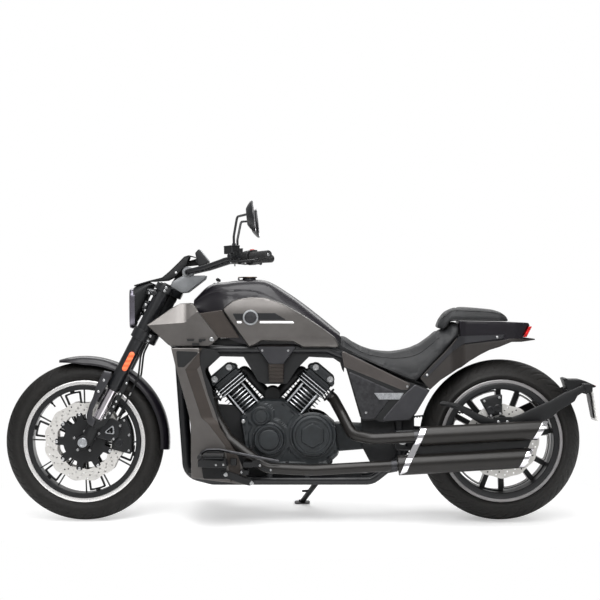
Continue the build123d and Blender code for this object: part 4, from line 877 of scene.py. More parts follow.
# %% Lofts
def smooth(stations, x):
    """Values at x on a smooth curve through (x, value...) stations, with the slope at each
    station the mean of its neighbours' slopes, which never overshoots much."""
    rows = np.array(sorted(stations), float)
    at, values = rows[:, 0], rows[:, 1:]
    slope = np.gradient(values, at, axis=0)
    i = np.clip(np.searchsorted(at, x) - 1, 0, len(at) - 2)
    width = (at[i + 1] - at[i])[:, None]
    t = np.clip((x - at[i]) / width[:, 0], 0, 1)[:, None]
    return ((2 * t ** 3 - 3 * t ** 2 + 1) * values[i] + (t ** 3 - 2 * t ** 2 + t) * width
            * slope[i] + (3 * t ** 2 - 2 * t ** 3) * values[i + 1]
            + (t ** 3 - t ** 2) * width * slope[i + 1])


def hump(stations, x, power, count=96, foot=0.0):
    """Loft of half superellipses: y is the half width times cos(a)^(2/p) and z rises from the
    bottom line by the height times sin(a)^(2/p); foot draws the bottom edge in."""
    half, low, high = smooth(stations, x).T[:, :, None]
    a = np.linspace(0, np.pi, count)
    side = np.sign(np.cos(a)) * np.abs(np.cos(a)) ** (2 / power)
    rise = np.abs(np.sin(a)) ** (2 / power)
    tuck = 1 - foot * (1 - np.clip(rise * 3, 0, 1)) ** 2
    return np.stack([np.broadcast_to(x[:, None], (len(x), count)), half * side * tuck,
                     low + (high - low) * rise], -1)


TANK = ((1237, 84, 850, 892), (1184, 100, 800, 944), (1100, 136, 740, 964),
        (1015, 137.5, 713, 971), (951, 137.5, 713, 969), (850, 137, 713, 914),
        (745, 136, 713, 837), (648, 104, 713, 758))
COVER_EDGE = ((1240, 880), (1180, 918), (1090, 930), (970, 922), (930, 906), (890, 886),
              (849, 862), (809, 838), (769, 814), (729, 790), (689, 767), (645, 742))
stations = np.linspace(1237, 648, 150)
skin = hump(TANK, stations, 3.0, 140, 0.06)
edge_height = smooth(COVER_EDGE, stations)[:, 0][:, None]
below = np.clip((edge_height - skin[..., 2]) / 2.5, 0, 1)
middle = skin.copy()
middle[..., 1] *= 0.985
middle[..., 2] -= 2.5
skin = skin + (middle - skin) * below[..., None]
neck = [(21, 960), (21, 977), (22, 979), (25.5, 979), (27, 977.5), (27, 966), (34, 963.5),
        (36, 958), (36, 950)]
hinge = swept([(1058, -12, 975), (1058, 12, 975)], 4.0, 16)
block = cut_plate([[(1040, 962), (1054, 962), (1060, 971), (1040, 974)]], -9, 9, 1)
key_lock = stud((12, 16, 10, 18), (1146, 0, 944), 24, (0.3, 0, 1))
key_head = cut_plate([fillet([(1132, 962), (1148, 966), (1152, 976), (1142, 980), (1130, 972)],
                             4)], -2, 2, 0.6)
piece("tank_dressed", [(grid(skin, caps=True), BLACK_LACQUER),
                       (turned(neck, (1015, 0, 0), (0, 0, 1), 48, loop=True), DARK_STEEL),
                       (hinge, DARK_STEEL), (block, DARK_STEEL), (key_lock, ZINC),
                       (key_head, MATTE_BLACK)],
      BIKE, ["tank"], crisp=50)
lid = [(0, 979.4), (31, 979.4), (32, 980.2), (32, 983), (31, 984.3), (24, 984.3), (23.4, 983.2),
       (13, 983.2), (12.4, 984.3), (0, 984.3)]
ear = cut_plate([fillet([(1040, 979.4), (1060, 979.4), (1060, 983.6), (1040, 984.2)], 1.5)],
                -8, 8, 0.5)
piece("fuel_cap_dressed", [(turned(lid, (1015, 0, 0), (0, 0, 1), 56), BRONZE), (ear, BRONZE)],
      "fuel_cap", ["fuel_cap"])

# %% [markdown]
# ## Covers over the tank and the frame
# The covers are moulded plastic under a gunmetal lacquer. Each is an outline in the side view,
# filled by `moulded`, with a height that tells how far it stands out: a slow crown for the tank
# covers, and two flat facets that meet in a crease for the scoops and shrouds. The bright look
# of an upper facet then comes from the light above, and not from a second colour.

# %% Tank covers with their stripe
PANEL = fillet([(1121, 854), (1081, 886), (1049, 896), (1009, 902), (949, 900), (881, 878),
                (809, 838), (729, 786), (669, 742), (649, 700), (797, 700), (837, 722),
                (961, 726), (989, 710), (1013, 700)],
               [14, 20, 20, 20, 30, 30, 30, 20, 20, 10, 8, 12, 12, 8, 10])


def panel_height(x, z, far=None):
    """The tank cover's reach: widest at half height, drawn in towards the top and the rear."""
    over = np.clip((z - 830) / 70, 0, 1.2)
    under = np.clip((745 - z) / 50, 0, 1)
    rear = np.clip((800 - x) / 160, 0, 1)
    return 167.5 - 11 * over ** 1.7 - 7 * under ** 1.5 - 9 * rear ** 1.6


STRIPE_BAND = [(1080, 838), (909, 838), (861, 810), (1064, 810)]
panels = moulded(PANEL, 138.4, panel_height, edge=5.0, cell=8.0)


def film(outline, lift, cell=8.0):
    """A thin film on a tank cover: the same height, raised a little, plugged into the cover."""
    return moulded(outline, 150.0, lambda x, z, far: panel_height(x, z) + lift, edge=0.3,
                   cell=cell)


stripe = joined(film([(1064, 806), (1040, 806), (1040, 797), (1058, 797)], 0.5, cell=5),
                film([(973, 806), (838, 806), (830, 797), (973, 797)], 0.5, cell=5))
BADGE = (1006.5, 167.4, 820)
badge_ring = turned([(24, -4), (24, 2.2), (25, 3.4), (30, 3.0), (31, 1.5), (31, -4)], BADGE,
                    turns=56, loop=True)
badge_disc = turned([(24.2, 1.0), (20, 1.6), (12, 2.2), (0, 2.4)], BADGE, turns=48)
piece("tank_covers", [(both(panels), GUNMETAL), (both(film(STRIPE_BAND, 0.35)), SATIN_BLACK),
                      (both(stripe), WHITE_STRIPE), (both(badge_ring), MILLED),
                      (both(badge_disc), DARK_STEEL)],
      BIKE, ["tank_panels"])


# %% [markdown]
# The scoops beside the steering head guide air to the radiator. Their crease runs from the tip
# towards the tank, and three dark slots lie in the lower facet.

# %% Scoops and middle panels
SCOOP = fillet([(1421, 790), (1369, 826), (1329, 854), (1289, 876), (1261, 878), (1237, 874),
                (1221, 858), (1213, 842), (1131, 738), (1169, 705), (1329, 705)],
               [2, 30, 30, 20, 12, 10, 10, 20, 10, 14, 30])
CREASE = np.array([(1416, 789), (1267, 800), (1250, 818), (1217, 846)], float)


def scoop_height(x, z, far=None):
    """Two facets: above the crease the panel leans in quickly, below it only slowly."""
    line = np.interp(x, CREASE[::-1, 0], CREASE[::-1, 1])
    front = np.clip((x - 1300) / 120, 0, 1)
    top = np.clip(z - line, 0, None)
    foot = np.clip(line - z, 0, None)
    return 177.5 - 8 * front - 0.36 * top - 0.10 * foot


scoop = moulded(SCOOP, 150.2, scoop_height, edge=3.0, cell=8.0, creases=[CREASE])
slots = [fillet([(a, b), (a - w, b), (a - w + 3, b - 7), (a - 4, b - 7)], 2)
         for a, b, w in ((1261, 734, 32), (1215, 734, 31), (1241, 717, 33))]
vents = joined(*[cut_plate([slot], 170.5, 175.5, 0.4) for slot in slots])
middle_panel = moulded(fillet([(1217, 836), (1121, 850), (1049, 738), (1160, 738)], 6), 146.1,
                       lambda x, z, far: 151.8 - 0.02 * (z - 738), edge=2.5, cell=12)
screw = joined(*[turned([(0, 0), (9, 0), (9, 3), (7, 4.4), (4, 4.4), (3.6, 2.6), (0, 2.6)],
                        spot, (0, 1, lean), 28)
                 for spot, lean in (((1236, 163, 850), 0.36), ((1162, 170.5, 733), -0.1))])
piece("scoops", [(both(scoop), GUNMETAL), (both(vents), MATTE_BLACK),
                 (both(middle_panel), UMBER), (both(screw), ZINC)],
      BIKE, ["front_panels"], crisp=18)

# %% [markdown]
# The shrouds hide the radiator. From the side they are one tall plate with its front and foot
# turned in; the rear part is a second facet that falls towards the engine, in a darker finish.

# %% Radiator shrouds
SHROUD = [(1322, 699), (1306, 632), (1278, 532), (1254, 445), (1244, 393), (1242, 182),
          (1191, 175), (1087, 163), (1008, 151), (1030, 205), (1064, 286), (1079, 306),
          (1127, 381), (1151, 453), (1175, 512), (1207, 632), (1209, 699)]
FOLD = np.array([(1197, 697), (1266, 614), (1202, 422), (1174, 397), (1106, 308), (1085, 166)],
                float)


def shroud_height(x, z, far=None):
    """Flat in front of the fold, and falling by a fifth of the distance behind it."""
    line = np.interp(z, FOLD[::-1, 1], FOLD[::-1, 0])
    return 195.8 - 0.2 * np.clip(line - x, 0, 60) - 0.03 * np.clip(x - line, 0, 120)


shroud = moulded(SHROUD, 187.5, shroud_height, edge=3.0, cell=10.0, creases=[FOLD])
FRONT_EDGE = SHROUD[:6]
wall = cut_plate([FRONT_EDGE[::-1] + [(x - 6, z) for x, z in FRONT_EDGE]], 150, 190, 1)
sole = cut_plate([[(1242, 182), (1191, 175), (1087, 163), (1087, 169), (1191, 181),
                   (1242, 188)]], 150, 190, 1)
plate = moulded(fillet([(1302, 688), (1207, 684), (1270, 622), (1296, 622)], 8), 186,
                lambda x, z, far: shroud_height(x, z) + 1.4, edge=1.2, cell=12)
gills = joined(*[cut_plate([[(a, b), (a - 8, b), (a - 20, b - 34), (a - 12, b - 34)]],
                           188, 194.2, 0.5) for a, b in ((1196, 222), (1160, 218))])
screws = button(2.6, 3, [(x, 192.6, z) for x, z in ((1165, 384), (1226, 660), (1118, 210))])
REAR_EDGE = SHROUD[9:]
facet = moulded([tuple(p) for p in FOLD[::-1]] + REAR_EDGE[::-1], 178,
                lambda x, z, far: shroud_height(x, z) + 1.2, edge=1.0, cell=7, wall=0.95)
liner = cut_plate([[(1209, 699), (1140, 690), (1130, 668), (1186, 618), (1187, 600), (1162, 545),
                    (1150, 487), (1136, 420), (1127, 381), (1151, 453), (1175, 512),
                    (1207, 632)]], 176, 186, 1)
piece("radiator_shrouds_dressed", [(both(joined(shroud, wall, sole)), GUNMETAL),
                                   (both(facet), UMBER), (both(liner), MATTE_BLACK),
                                   (both(joined(plate, gills)), MATTE_BLACK),
                                   (both(screws), ZINC)],
      BIKE, ["radiator_shrouds"], crisp=18)

# %% [markdown]
# The side covers under the seat are four overlapping mouldings: a back plate, a triangle with
# a bare metal plate on it, and two bands along the edges. The airbox cover above the engine has
# a ribbed stem between the cylinders.

# %% Side covers and airbox cover
def flat_panel(outline, back, reach, corner=8, edge=3.0, crown=0.0, cell=14):
    """A moulded panel of even height, with an optional crown towards its middle."""
    return moulded(fillet(outline, corner), back,
                   lambda x, z, far: reach - crown + crown * (1 - np.exp(-far / 25)),
                   edge=edge, cell=cell)


COVERS = ((((645, 690), (390, 566), (350, 555), (289, 530), (309, 498), (345, 438), (369, 408),
            (489, 402), (509, 410), (561, 406), (621, 614), (636, 622)), 143.6, 146.9, 4, 2, 0),
          (((619, 608), (428, 523), (510, 414), (559, 410)), 144, 151.8, 10, 4, 2),
          (((645, 690), (390, 566), (366, 556), (378, 530), (402, 530), (634, 624)),
           144, 149.9, 10, 4, 1),
          (((350, 552), (292, 528), (311, 498), (347, 440), (371, 410), (487, 405), (399, 508)),
           144, 149.9, 10, 4, 1))
shells = [flat_panel(outline, back, reach, corner, edge, crown)
          for outline, back, reach, corner, edge, crown in COVERS]
label = flat_panel(((514, 519), (394, 519), (411, 492), (493, 492)), 147, 152, 2, 0.8)
screws = button(2.2, 2.6, [(545, 150.6, 440), (380, 148.6, 545)])
piece("side_covers_dressed", [(both(shells[0]), MATTE_BLACK),
                              (both(shells[1]), DARK_STEEL), (both(shells[2]), WARM_GREY),
                              (both(shells[3]), GRAPHITE), (both(label), MILLED),
                              (both(screws), ZINC)],
      BIKE, ["side_covers"])
horn = flat_panel(((981, 708), (837, 708), (873, 640), (875, 560), (933, 560), (937, 640)),
                  136.4, 147, 10, 4, 2)
ribs = joined(*[flat_panel(((934, 628 - 15 * i), (874, 628 - 15 * i), (875, 620 - 15 * i),
                            (933, 620 - 15 * i)), 138, 149.8, 3, 2, cell=20)
                for i in range(5)])
brow = flat_panel(((986, 706), (821, 706), (875, 633), (933, 633)), 138, 149.4, 6, 3)
screws = button(1.6, 1.8, [(960, 148.1, 688), (856, 148.1, 688)])
piece("airbox_cover_ribbed", [(both(joined(horn, ribs)), UMBER),
                              (both(brow), GRAPHITE), (both(screws), ZINC)],
      BIKE, ["airbox_cover"])

# %% [markdown]
# ## Engine
# A V-twin: two air-cooled barrels stand on one crankcase, 40 degrees fore and aft of upright.
# Its castings are coated in a dark grey paint, and then the edges of the fins are milled, which
# takes the coat off and leaves thin bright lines. So each fin is a dark plate with a bright
# strip on its side, and a polished rail closes the strips on either hand.

# %% Barrels and cylinder heads
CRANK = (920.0, 352.0)


def bank(points, lean):
    """Engine points (across, side, up along the cylinder) to drawn millimetres: the frame turns
    by 40 degrees about the crankshaft, forward for lean 1 and back for lean -1."""
    across, side, up = np.moveaxis(np.asarray(points, float), -1, 0)
    tilt = math.radians(40)
    return np.stack([CRANK[0] + across * math.cos(tilt) + lean * up * math.sin(tilt), side,
                     CRANK[1] - lean * across * math.sin(tilt) + up * math.cos(tilt)], -1)


def banked(shell, lean):
    """A shell drawn in a bank's frame, placed on the machine."""
    return bank(shell[0], lean), shell[1]


def brick(across, side, up, corner=8.0, edge=2.5):
    """A block of rounded plan, standing up along the bank: half sizes across and to the side,
    and its low and high ends."""
    plan = fillet([(across, -side), (across, side), (-across, side), (-across, -side)], corner)
    points, faces = cut_plate([plan], up[0], up[1], edge)
    return points[:, [0, 2, 1]], faces


def nut(across, side, up, radius, reach, hollow=True):
    """A round bolt head on the bank's side face, with a sunk hexagon."""
    profile = [(0, 0), (radius, 0), (radius, reach - 1.5), (radius - 1.5, reach)]
    profile += [(radius * 0.55, reach), (radius * 0.5, reach - 3), (0, reach - 3)] \
        if hollow else [(0, reach)]
    return turned(profile, (across, side, up), (0, 1, 0), 24)


fins, strips, cores, rails = [], [], [], []
for lean in (1, -1):
    for i in range(6):
        low = 142 + 15.2 * i
        disc = [(50, low), (67.6, low + 0.6), (68.2, low + 1.2), (68.2, low + 2.6),
                (67.6, low + 3.2), (50, low + 3.8)]
        fins.append(banked(turned(disc, (0, 0, 0), (0, 0, 1), 72, loop=True), lean))
        angle = np.linspace(-0.46, 0.46, 12)
        arc = np.stack([67.2 * np.sin(angle), 67.2 * np.cos(angle), np.full(12, low + 1.9)], -1)
        strips.append(banked(both(swept(arc, 2.6, 8)), lean))
    core = [(52.5, 136), (52.5, 235.3), (20, 235.3), (20, 136)]
    cores.append(banked(turned(core, (0, 0, 0), (0, 0, 1), 48, loop=True), lean))
    for across in (37, -37):
        bar = swept([(across, 60.2, 138), (across, 60.2, 234)], 5.4, 14)
        rails.append(banked(both(bar), lean))
piece("cylinders_finned", [(joined(*fins, *cores), ENGINE_PAINT), (joined(*strips), MILLED),
                           (joined(*rails), MILLED)],
      BIKE, ["cylinders"])

boxes, lines, bolts, wells = [], [], [], []
for lean in (1, -1):
    boxes.append(banked(brick(59, 75, (235.5, 296), 12), lean))
    for i in range(4):
        low = 237.8 + 13.0 * i
        boxes.append(banked(brick(71, 85, (low, low + 5), 16, 1.0), lean))
        if i < 3:
            strip = swept([(-62, 84.6, low + 2.5), (62, 84.6, low + 2.5)], 1.5, 8)
            lines.append(banked(both(strip), lean))
    cover = moulded(fillet([(65, 295), (65, 312), (42, 337), (-42, 337), (-65, 312), (-65, 295)],
                           12), 0, rolled(84, 5, 9), edge=5, cell=10)
    boxes.append(banked(both(cover), lean))
    for across in (38, -38):
        bolts.append(banked(both(nut(across, 77, 317, 13.6, 9.5)), lean))
        wells.append(banked(both(nut(across, 76, 317, 17.2, 5, False)), lean))
    # rib, plug cap and lead between the bolts
    rib = swept([(-14, 79, 300), (-14, 79, 331)], 3.0, 10)
    ribs = joined(rib, (rib[0] + (14, 0, 0), rib[1]), (rib[0] + (28, 0, 0), rib[1]))
    wells.append(banked(both(ribs), lean))
    plug = swept([(-lean * 50, 70, 262), (-lean * 66, 74, 262)], 9, 16)
    wells.append(banked(both(plug), lean))
# the inlet: two elbows from the heads to one throttle body in the V
inlets = [swept([bank((-lean * 58, y, 268), lean), bank((-lean * 76, y, 268), lean),
                 (920 + lean * 24, y, 512), (920, y, 500)], 19, 20, bend=14)
          for lean in (1, -1) for y in (30, -30)]
body = turned([(0, -74), (30, -74), (34, -70), (34, -40), (26, -34), (26, 34), (34, 40),
               (34, 70), (30, 74), (0, 74)], (920, 0, 508), (0, 1, 0), 36)
piece("cylinder_heads_finned",
      [(joined(*boxes), ENGINE_PAINT), (joined(*wells, *inlets, body), MATTE_BLACK),
       (joined(*lines), MILLED), (joined(*bolts), ZINC)],
      BIKE, ["cylinder_heads"])

# %% [markdown]
# The crankcase is cast with a broad land round each cover, where the bolts go. Its side face is
# a `moulded` panel whose height knows how far it is from each round cover, and rises near them.

# %% Crankcase
ROUND_COVERS = ((933, 333, 69, 177.5), (759, 349, 93, 169.5), (965, 425, 40, 159.5))
CASE_SIDE = fillet([(1030, 280), (1053, 417.4), (961.4, 494.6), (878.6, 494.6), (786.7, 417.4),
                    (760, 411.5), (700, 422), (666, 396), (650, 270), (700, 226), (960, 226)],
                   [30, 18, 22, 22, 40, 20, 30, 30, 30, 30, 40])


def case_height(x, z, far):
    """The face lies at 139 and rises by 5.5 on a land of 14 mm round every cover."""
    reach = np.min([np.hypot(x - a, z - b) - r for a, b, r, _ in ROUND_COVERS], axis=0)
    land = np.clip((17 - reach) / 4, 0, 1)
    rim = np.clip((9 - np.abs(far - 9)) / 4, 0, 1)
    return 138.5 + 6.2 * np.maximum(land, 0.7 * rim)


case = moulded(CASE_SIDE, 0.0, case_height, edge=9.0, cell=6.0)
gearbox = cut_plate([fillet([(672, 395), (480, 385), (480, 295), (660, 280)], 12)], -70, 70, 6)
feet = joined(*[turned(box(0, -60, 13, 60), (x, 0, 240), (0, 1, 0), 24)
                for x in (690, 965)])
knobs = joined(*[both(turned([(0, 0), (7, 0), (7, 3), (5, 5), (3, 5), (2.6, 3), (0, 3)],
                             (x, 143.8, z), (0, 1, 0), 20))
                 for x, z in ((1003, 300), (690, 255), (672, 380), (860, 240))])
bright_bolt = both(stud((8.5, 4, 6, 6), (1036, 143, 404), 24))


def toothed(axle, radius, teeth):
    """A belt pulley's outline: its radius is a mean plus a steep cosine, one wave a tooth."""
    turn = np.arange(0, 360, 360 / (teeth * 8))
    return polar(axle, radius - 1.6 + 1.6 * np.tanh(2 * np.cos(np.radians(turn * teeth))), turn)


FRONT_PULLEY = np.array([520.0, 0, 340.0])
pulley = cut_plate([toothed(FRONT_PULLEY, 47.6, 26), circle(520, 340, 14.9, 40)], -142.8, -123.2,
                   0.6)
shaft = turned([(0, -143.6), (14, -143.6), (15, -142), (15, -60), (0, -60)], FRONT_PULLEY,
               (0, 1, 0), 32)
piece("crankcase_cast", [(joined(both(case), gearbox, feet), ENGINE_PAINT), (knobs, DARK_STEEL),
                         (bright_bolt, ZINC), (pulley, MILLED), (shaft, DARK_STEEL)],
      BIKE, ["crankcase"], crisp=28)

# %% [markdown]
# The round covers are turned shapes: a flange with its bolts, a groove, and a dome. The clutch
# cover behind carries a raised hexagonal plate, and the one in front a plain cap.

# %% Round covers
caps, capped, heads = [], [], []
for x, z, radius, reach in ROUND_COVERS:
    lift = reach - 145
    profile = [(0, 145.2), (radius, 145.2), (radius, 150), (radius - 1.5, 151.5),
               (radius * 0.9, 151.5 + lift * 0.08), (radius * 0.87, 145 + lift * 0.72),
               (radius * 0.82, 145 + lift * 0.86), (radius * 0.74, 145 + lift * 0.88),
               (radius * 0.72, 145 + lift * 0.66), (radius * 0.66, 145 + lift * 0.62),
               (radius * 0.62, 145 + lift * 0.64), (radius * 0.58, 145 + lift * 0.9),
               (radius * 0.5, 145 + lift * 0.97), (0, reach)]
    if radius > 80:
        profile = profile[:-3] + [(radius * 0.58, 145 + lift * 0.7), (0, 145 + lift * 0.74)]
        plate = moulded(fillet(polar((x, 0, z), 52, 30 + 60.0 * np.arange(6)), 12), 160,
                        level(reach - 0.2), edge=5, cell=8)
        capped.append(plate)
    caps.append(turned(profile, (x, 0, z), (0, 1, 0), 96))
    if radius > 60:
        spots = polar((x, 0, z), radius - 4.5, 45.0 * np.arange(8) + 20)
        heads += [stud((3.4, 2.6, 2.4, 3.2), (a, 151, b), 12) for a, b in spots]
piece("engine_covers_turned", [(both(joined(*caps, *capped)), ENGINE_PAINT),
                               (both(joined(*heads)), DARK_STEEL)],
      BIKE, ["engine_covers"], crisp=40)

# %% [markdown]
# ## Exhaust
# A header is a bent tube: the pipe bender leaves arcs between straight runs, which is what
# `rounded` gives. A flange holds it to its head, and a clamp to its silencer.

# %% Header pipes
def header(port, reach, route):
    """From the port and a point ahead of it along a route of bends, with a flange at the port
    and a clamp at the silencer."""
    pipe = swept([port, reach] + route, 21.9, 28, bend=60)
    ahead = (reach - port) / np.linalg.norm(reach - port)
    flange = turned([(22, 0.2), (30, 0.2), (31, 1.5), (31, 6.5), (30, 8), (22, 8)], port,
                    ahead, 32, loop=True)
    end = np.array(route[-1], float)
    back = (end - route[-2]) / np.linalg.norm(end - route[-2])
    clamp = turned([(22, -26), (24.5, -26), (25, -24), (25, -6), (24.5, -4), (22, -4)], end,
                   back, 40, loop=True)
    return pipe, joined(flange, clamp)


side = 216.0
front_pipe, front_trim = header(
    bank((71.3, 40, 265), 1), bank((98.3, 40, 265), 1),
    [(1150, 85, 425), (1095, 155, 335), (1030, 178, 285), (940, 200, 222), (760, side, 214.4),
     (420.3, side, 234)])
rear_pipe, rear_trim = header(
    bank((-71.3, 40, 265), -1), bank((-98.3, 40, 265), -1),
    [(640, 110, 430), (600, 176, 352), (520, side, 337.9), (330.3, side, 348)])
piece("exhaust_headers_bent", [(joined(front_pipe, rear_pipe), SILENCER_BLACK),
                               (joined(front_trim, rear_trim), DARK_STEEL)],
      BIKE, ["exhaust_headers"])

# %% [markdown]
# Each silencer is a straight tube, sawn off at a slant: each point of the last ring slides
# along the machine by a slope times its height above the tube's middle. The chrome collar in
# front and the chrome tip behind lie between two such slanted rings.

# %% Silencers
def silencer(start, end, radius, bore, collar, slopes):
    """Tube with a slanted collar at its front and a slanted tip at its back. start is the
    header's end, end the tip's; slopes say how far the front and back cuts move forward for
    each millimetre up; collar is where the front cut crosses the tube's middle line."""
    start, end = np.array(start, float), np.array(end, float)
    axis = (end - start) / np.linalg.norm(end - start)
    _, first, second = basis(axis)
    angle = np.linspace(0, 2 * np.pi, 72, endpoint=False)[:, None]
    spoke = first * np.cos(angle) + second * np.sin(angle)

    def ring(size, x, slope):
        """A ring whose middle is on the tube's line at x, slid forward by slope times height."""
        middle = start + axis * (x - start[0]) / axis[0]
        points = middle + spoke * size
        return points + (slope * (points[:, 2] - middle[2]))[:, None] * (1, 0, 0)

    def tube(rows, loop=False):
        """Rings joined one after another, closed by caps or, in a loop, to the first."""
        return grid(np.stack([ring(*row) for row in rows]), wrap_v=True, caps=not loop,
                    wrap_u=loop)

    front, back = slopes
    shell = tube([(22.3, start[0] - 1, 0), (radius - 1, start[0] - 1, 0),
                  (radius - 0.5, start[0] - 30, 0), (radius - 0.4, end[0] + 40, back),
                  (radius - 0.4, end[0] + 22, back), (bore + 2, end[0] + 22, back)])
    tip = tube([(bore + 0.2, end[0] + 23, back), (radius - 0.2, end[0] + 23, back),
                (radius - 0.1, end[0] + 3, back), (radius - 1.2, end[0] + 0.5, back),
                (bore + 2.5, end[0] + 0.5, back), (bore + 0.2, end[0] + 3, back)], True)
    cuff = tube([(22.4, collar, front), (radius - 1.5, collar, front),
                 (radius, collar - 1.5, front), (radius, collar - 24, front),
                 (radius - 2, collar - 26, front), (22.4, collar - 26, front)], True)
    well = tube([(bore + 0.1, end[0] + 3, back), (bore + 0.1, end[0] + 70, 0),
                 (0.05, end[0] + 70, 0)])
    return shell, joined(tip, cuff), (well[0], [f[::-1] for f in well[1][:-2]])


upper = silencer((330, side, 348), (-154.4, side, 373.7), 40, 33.0, 346, (-0.47, -0.625))
lower = silencer((420, side, 234), (-98.6, side, 263.9), 41, 34.0, 399.8, (-0.47, -0.538))
# The black sheet between the two silencers is painted shade: it stands for the dark gap between them.
gap_shade_sheet = cut_plate([fillet([(380, 268), (344, 314), (-112, 342), (-96, 304)], 4)], 200, 221, 3)
strap = cut_plate([[(388, 262), (360, 320), (334, 320), (362, 262)]], 226, 247, 1.5)
piece("silencers_sawn", [(joined(upper[0], lower[0]), SILENCER_BLACK),
                         (joined(upper[1], lower[1], strap), CHROME),
                         (joined(upper[2], lower[2], gap_shade_sheet), MATTE_BLACK)],
      BIKE, ["silencers"], crisp=40)

# %% [markdown]
# ## Fork and front end
# The fork is of the upright kind: a hard-chromed tube slides into a wide black one. The black
# tube is powder coated with a turned groove above its dust seal; the chromed tube mirrors all
# round it, so it stays plain. Each leg is one turned profile carried round the fork's own axis.

# %% Fork legs and axle
def leg(profile, turns=48, loop=False):
    """Turns (radius, height along the fork) about the left leg's axis, 30 mm ahead."""
    foot = fork((30, 105, 0))
    return turned(profile, foot, fork((30, 105, 1)) - foot, turns, loop)


def forkwise(shell):
    """A shell drawn in fork coordinates, placed on the raked fork."""
    return fork(shell[0]), shell[1]


outer = [(21.9, 245.2), (24, 245), (26.2, 246), (27, 250), (27, 258), (26.2, 260), (26.2, 263),
         (27, 265), (27, 452), (26.3, 454), (26.3, 458), (27, 460), (27, 705), (26, 712),
         (22, 712.4), (21.4, 715.8), (12, 716), (11.6, 712), (0, 712)]
seal = [(21.6, 240), (24.4, 241), (25, 244.8), (21.9, 244.8)]
piece("fork_outer_tubes_turned",
      [(both(leg([(0, 310), (21.9, 310)] + outer)), SATIN_BLACK),
       (both(leg([(0, 713), (9, 713), (9, 715.4), (7.5, 716), (0, 716)], 6)), ZINC)],
      STEER, ["fork_outer_tubes"])
chrome = [(0, 45.3), (20.5, 45.3), (21.4, 46.4), (21.4, 303), (20.4, 304.5), (0, 304.5)]
piece("fork_stanchions_chromed", [(both(leg(chrome)), HARD_CHROME),
                                  (both(leg(seal, loop=True)), MATTE_BLACK)],
      STEER, ["fork_stanchions"])
foot = [(0, 1), (24, 1), (25.8, 3), (25.8, 100), (25.2, 108), (23, 111.6), (21.9, 111.6),
        (21.9, 44), (0, 44)]
clamp = [(12.7, 79), (25, 79), (27.5, 82), (27.5, 129), (25.5, 131.6), (12.7, 131.6)]
stay = cut_plate([fillet([(16, 40), (48, 40), (52, 318), (10, 318)], 8),
                  fillet([(24, 130), (44, 130), (46, 210), (20, 210)], 8)], 74.6, 77.8, 0.8)
lug = cut_plate([fillet([(20, 40), (-50, 50), (-75, 80), (-60, 135), (-20, 140), (20, 110)], 14),
                 fillet([(-18, 72), (-52, 84), (-36, 112)], 6)], 79.2, 91.8, 2)
boss = cut_plate([fillet(box(16, 70, 44, 110), 6)], 77, 90, 1)
frames = cut_plate([fillet([(-14, 68), (-58, 84), (-36, 118)], 8),
                    fillet([(-20, 73), (-50, 85), (-36, 110)], 6)], 91.2, 92.4, 0.4)
pinch = joined(*[stud((5, 4, 4, 5), (a, 91, t)) for a, t in ((-62, 126), (-62, 66), (0, 60))])
piece("fork_lowers_cast",
      [(both(leg(foot)), MATTE_BLACK),
       (both(turned(clamp, FRONT_AXLE, (0, 1, 0), 48, loop=True)), MATTE_BLACK),
       (both(forkwise(joined(stay, lug, boss))), SATIN_BLACK),
       (both(forkwise(frames)), MILLED), (both(forkwise(pinch)), ZINC)],
      STEER, ["fork_lowers"])
rod_profile = [(0, 0), (12.4, 0), (12.4, 132), (18.9, 132.4), (18.9, 138), (17.4, 139.6),
               (12.6, 139.6), (11.6, 137), (6, 137), (5.4, 139), (0, 139.4)]
spacer = box(12.5, 60.8, 18.8, 78.2)
piece("front_axle_turned", [(both(turned(rod_profile, FRONT_AXLE, (0, 1, 0), 48)), MILLED),
                            (both(turned(spacer, FRONT_AXLE, (0, 1, 0), 40, loop=True)), ZINC)],
      STEER, ["front_axle"])

# %% [markdown]
# A guard of two bolted legs shields the chromed tube from stones. Its front leg is lighter than
# its rear one, and between them the tube stays in sight.

# %% Fork guards and reflectors
front_leg = fillet([(96, 296), (94, 229), (85, 180), (84, 150), (75, 104), (57, 77), (32, 75.5),
                    (32, 103), (52, 110), (62, 135), (62, 190), (57, 250), (60, 306)],
                   [8, 20, 20, 14, 20, 20, 0, 0, 14, 14, 30, 20, 6])
rear_leg = fillet([(31, 75.5), (10, 74), (-8, 101), (-14, 149), (-16, 218), (-17, 286), (-10, 325),
                   (3, 321), (2, 252), (2, 213), (2, 139), (12, 112), (31, 103)],
                  [0, 16, 14, 20, 30, 20, 6, 4, 20, 20, 20, 12, 0])
shield = moulded(front_leg, 131.7, rolled(139.6, 3, 5), edge=3, cell=8)
skirt = cut_plate([fillet([(95, 292), (93, 229), (84, 182), (82, 145), (68, 145), (66, 190),
                           (61, 250), (63, 302)], 6)], 108, 134, 1)
rear_plate = moulded(rear_leg, 131.7, level(137.5), edge=2.5, cell=8)
front_heads = [stud((5, 2.4, 3.8, 3), (a, 137, t), 14) for a, t in ((77, 262), (76, 212))]
rear_heads = [stud((4, 3, 3, 3.6), (a, 136, t), 14)
              for a, t in ((-9, 292), (-6, 242), (-6, 208), (-6, 185), (-4, 155), (4, 130))]
piece("fork_guards_open",
      [(both(forkwise(joined(shield, skirt))), GRAPHITE),
       (both(forkwise(rear_plate)), MATTE_BLACK),
       (both(forkwise(joined(*front_heads, *rear_heads))), ZINC)],
      STEER, ["fork_guards"])
capsule = [(24 + 11 * math.cos(a), 373 + side * 31.5 + 11 * math.sin(a))
           for side, span in ((1, (0, math.pi)), (-1, (math.pi, 2 * math.pi)))
           for a in np.linspace(*span, 12)]
bezel = cut_plate([capsule], 129.5, 134.2, 0.5)
glass = moulded(np.array(capsule), 133, rolled(136.4, 0.8, 3), edge=2, cell=5)
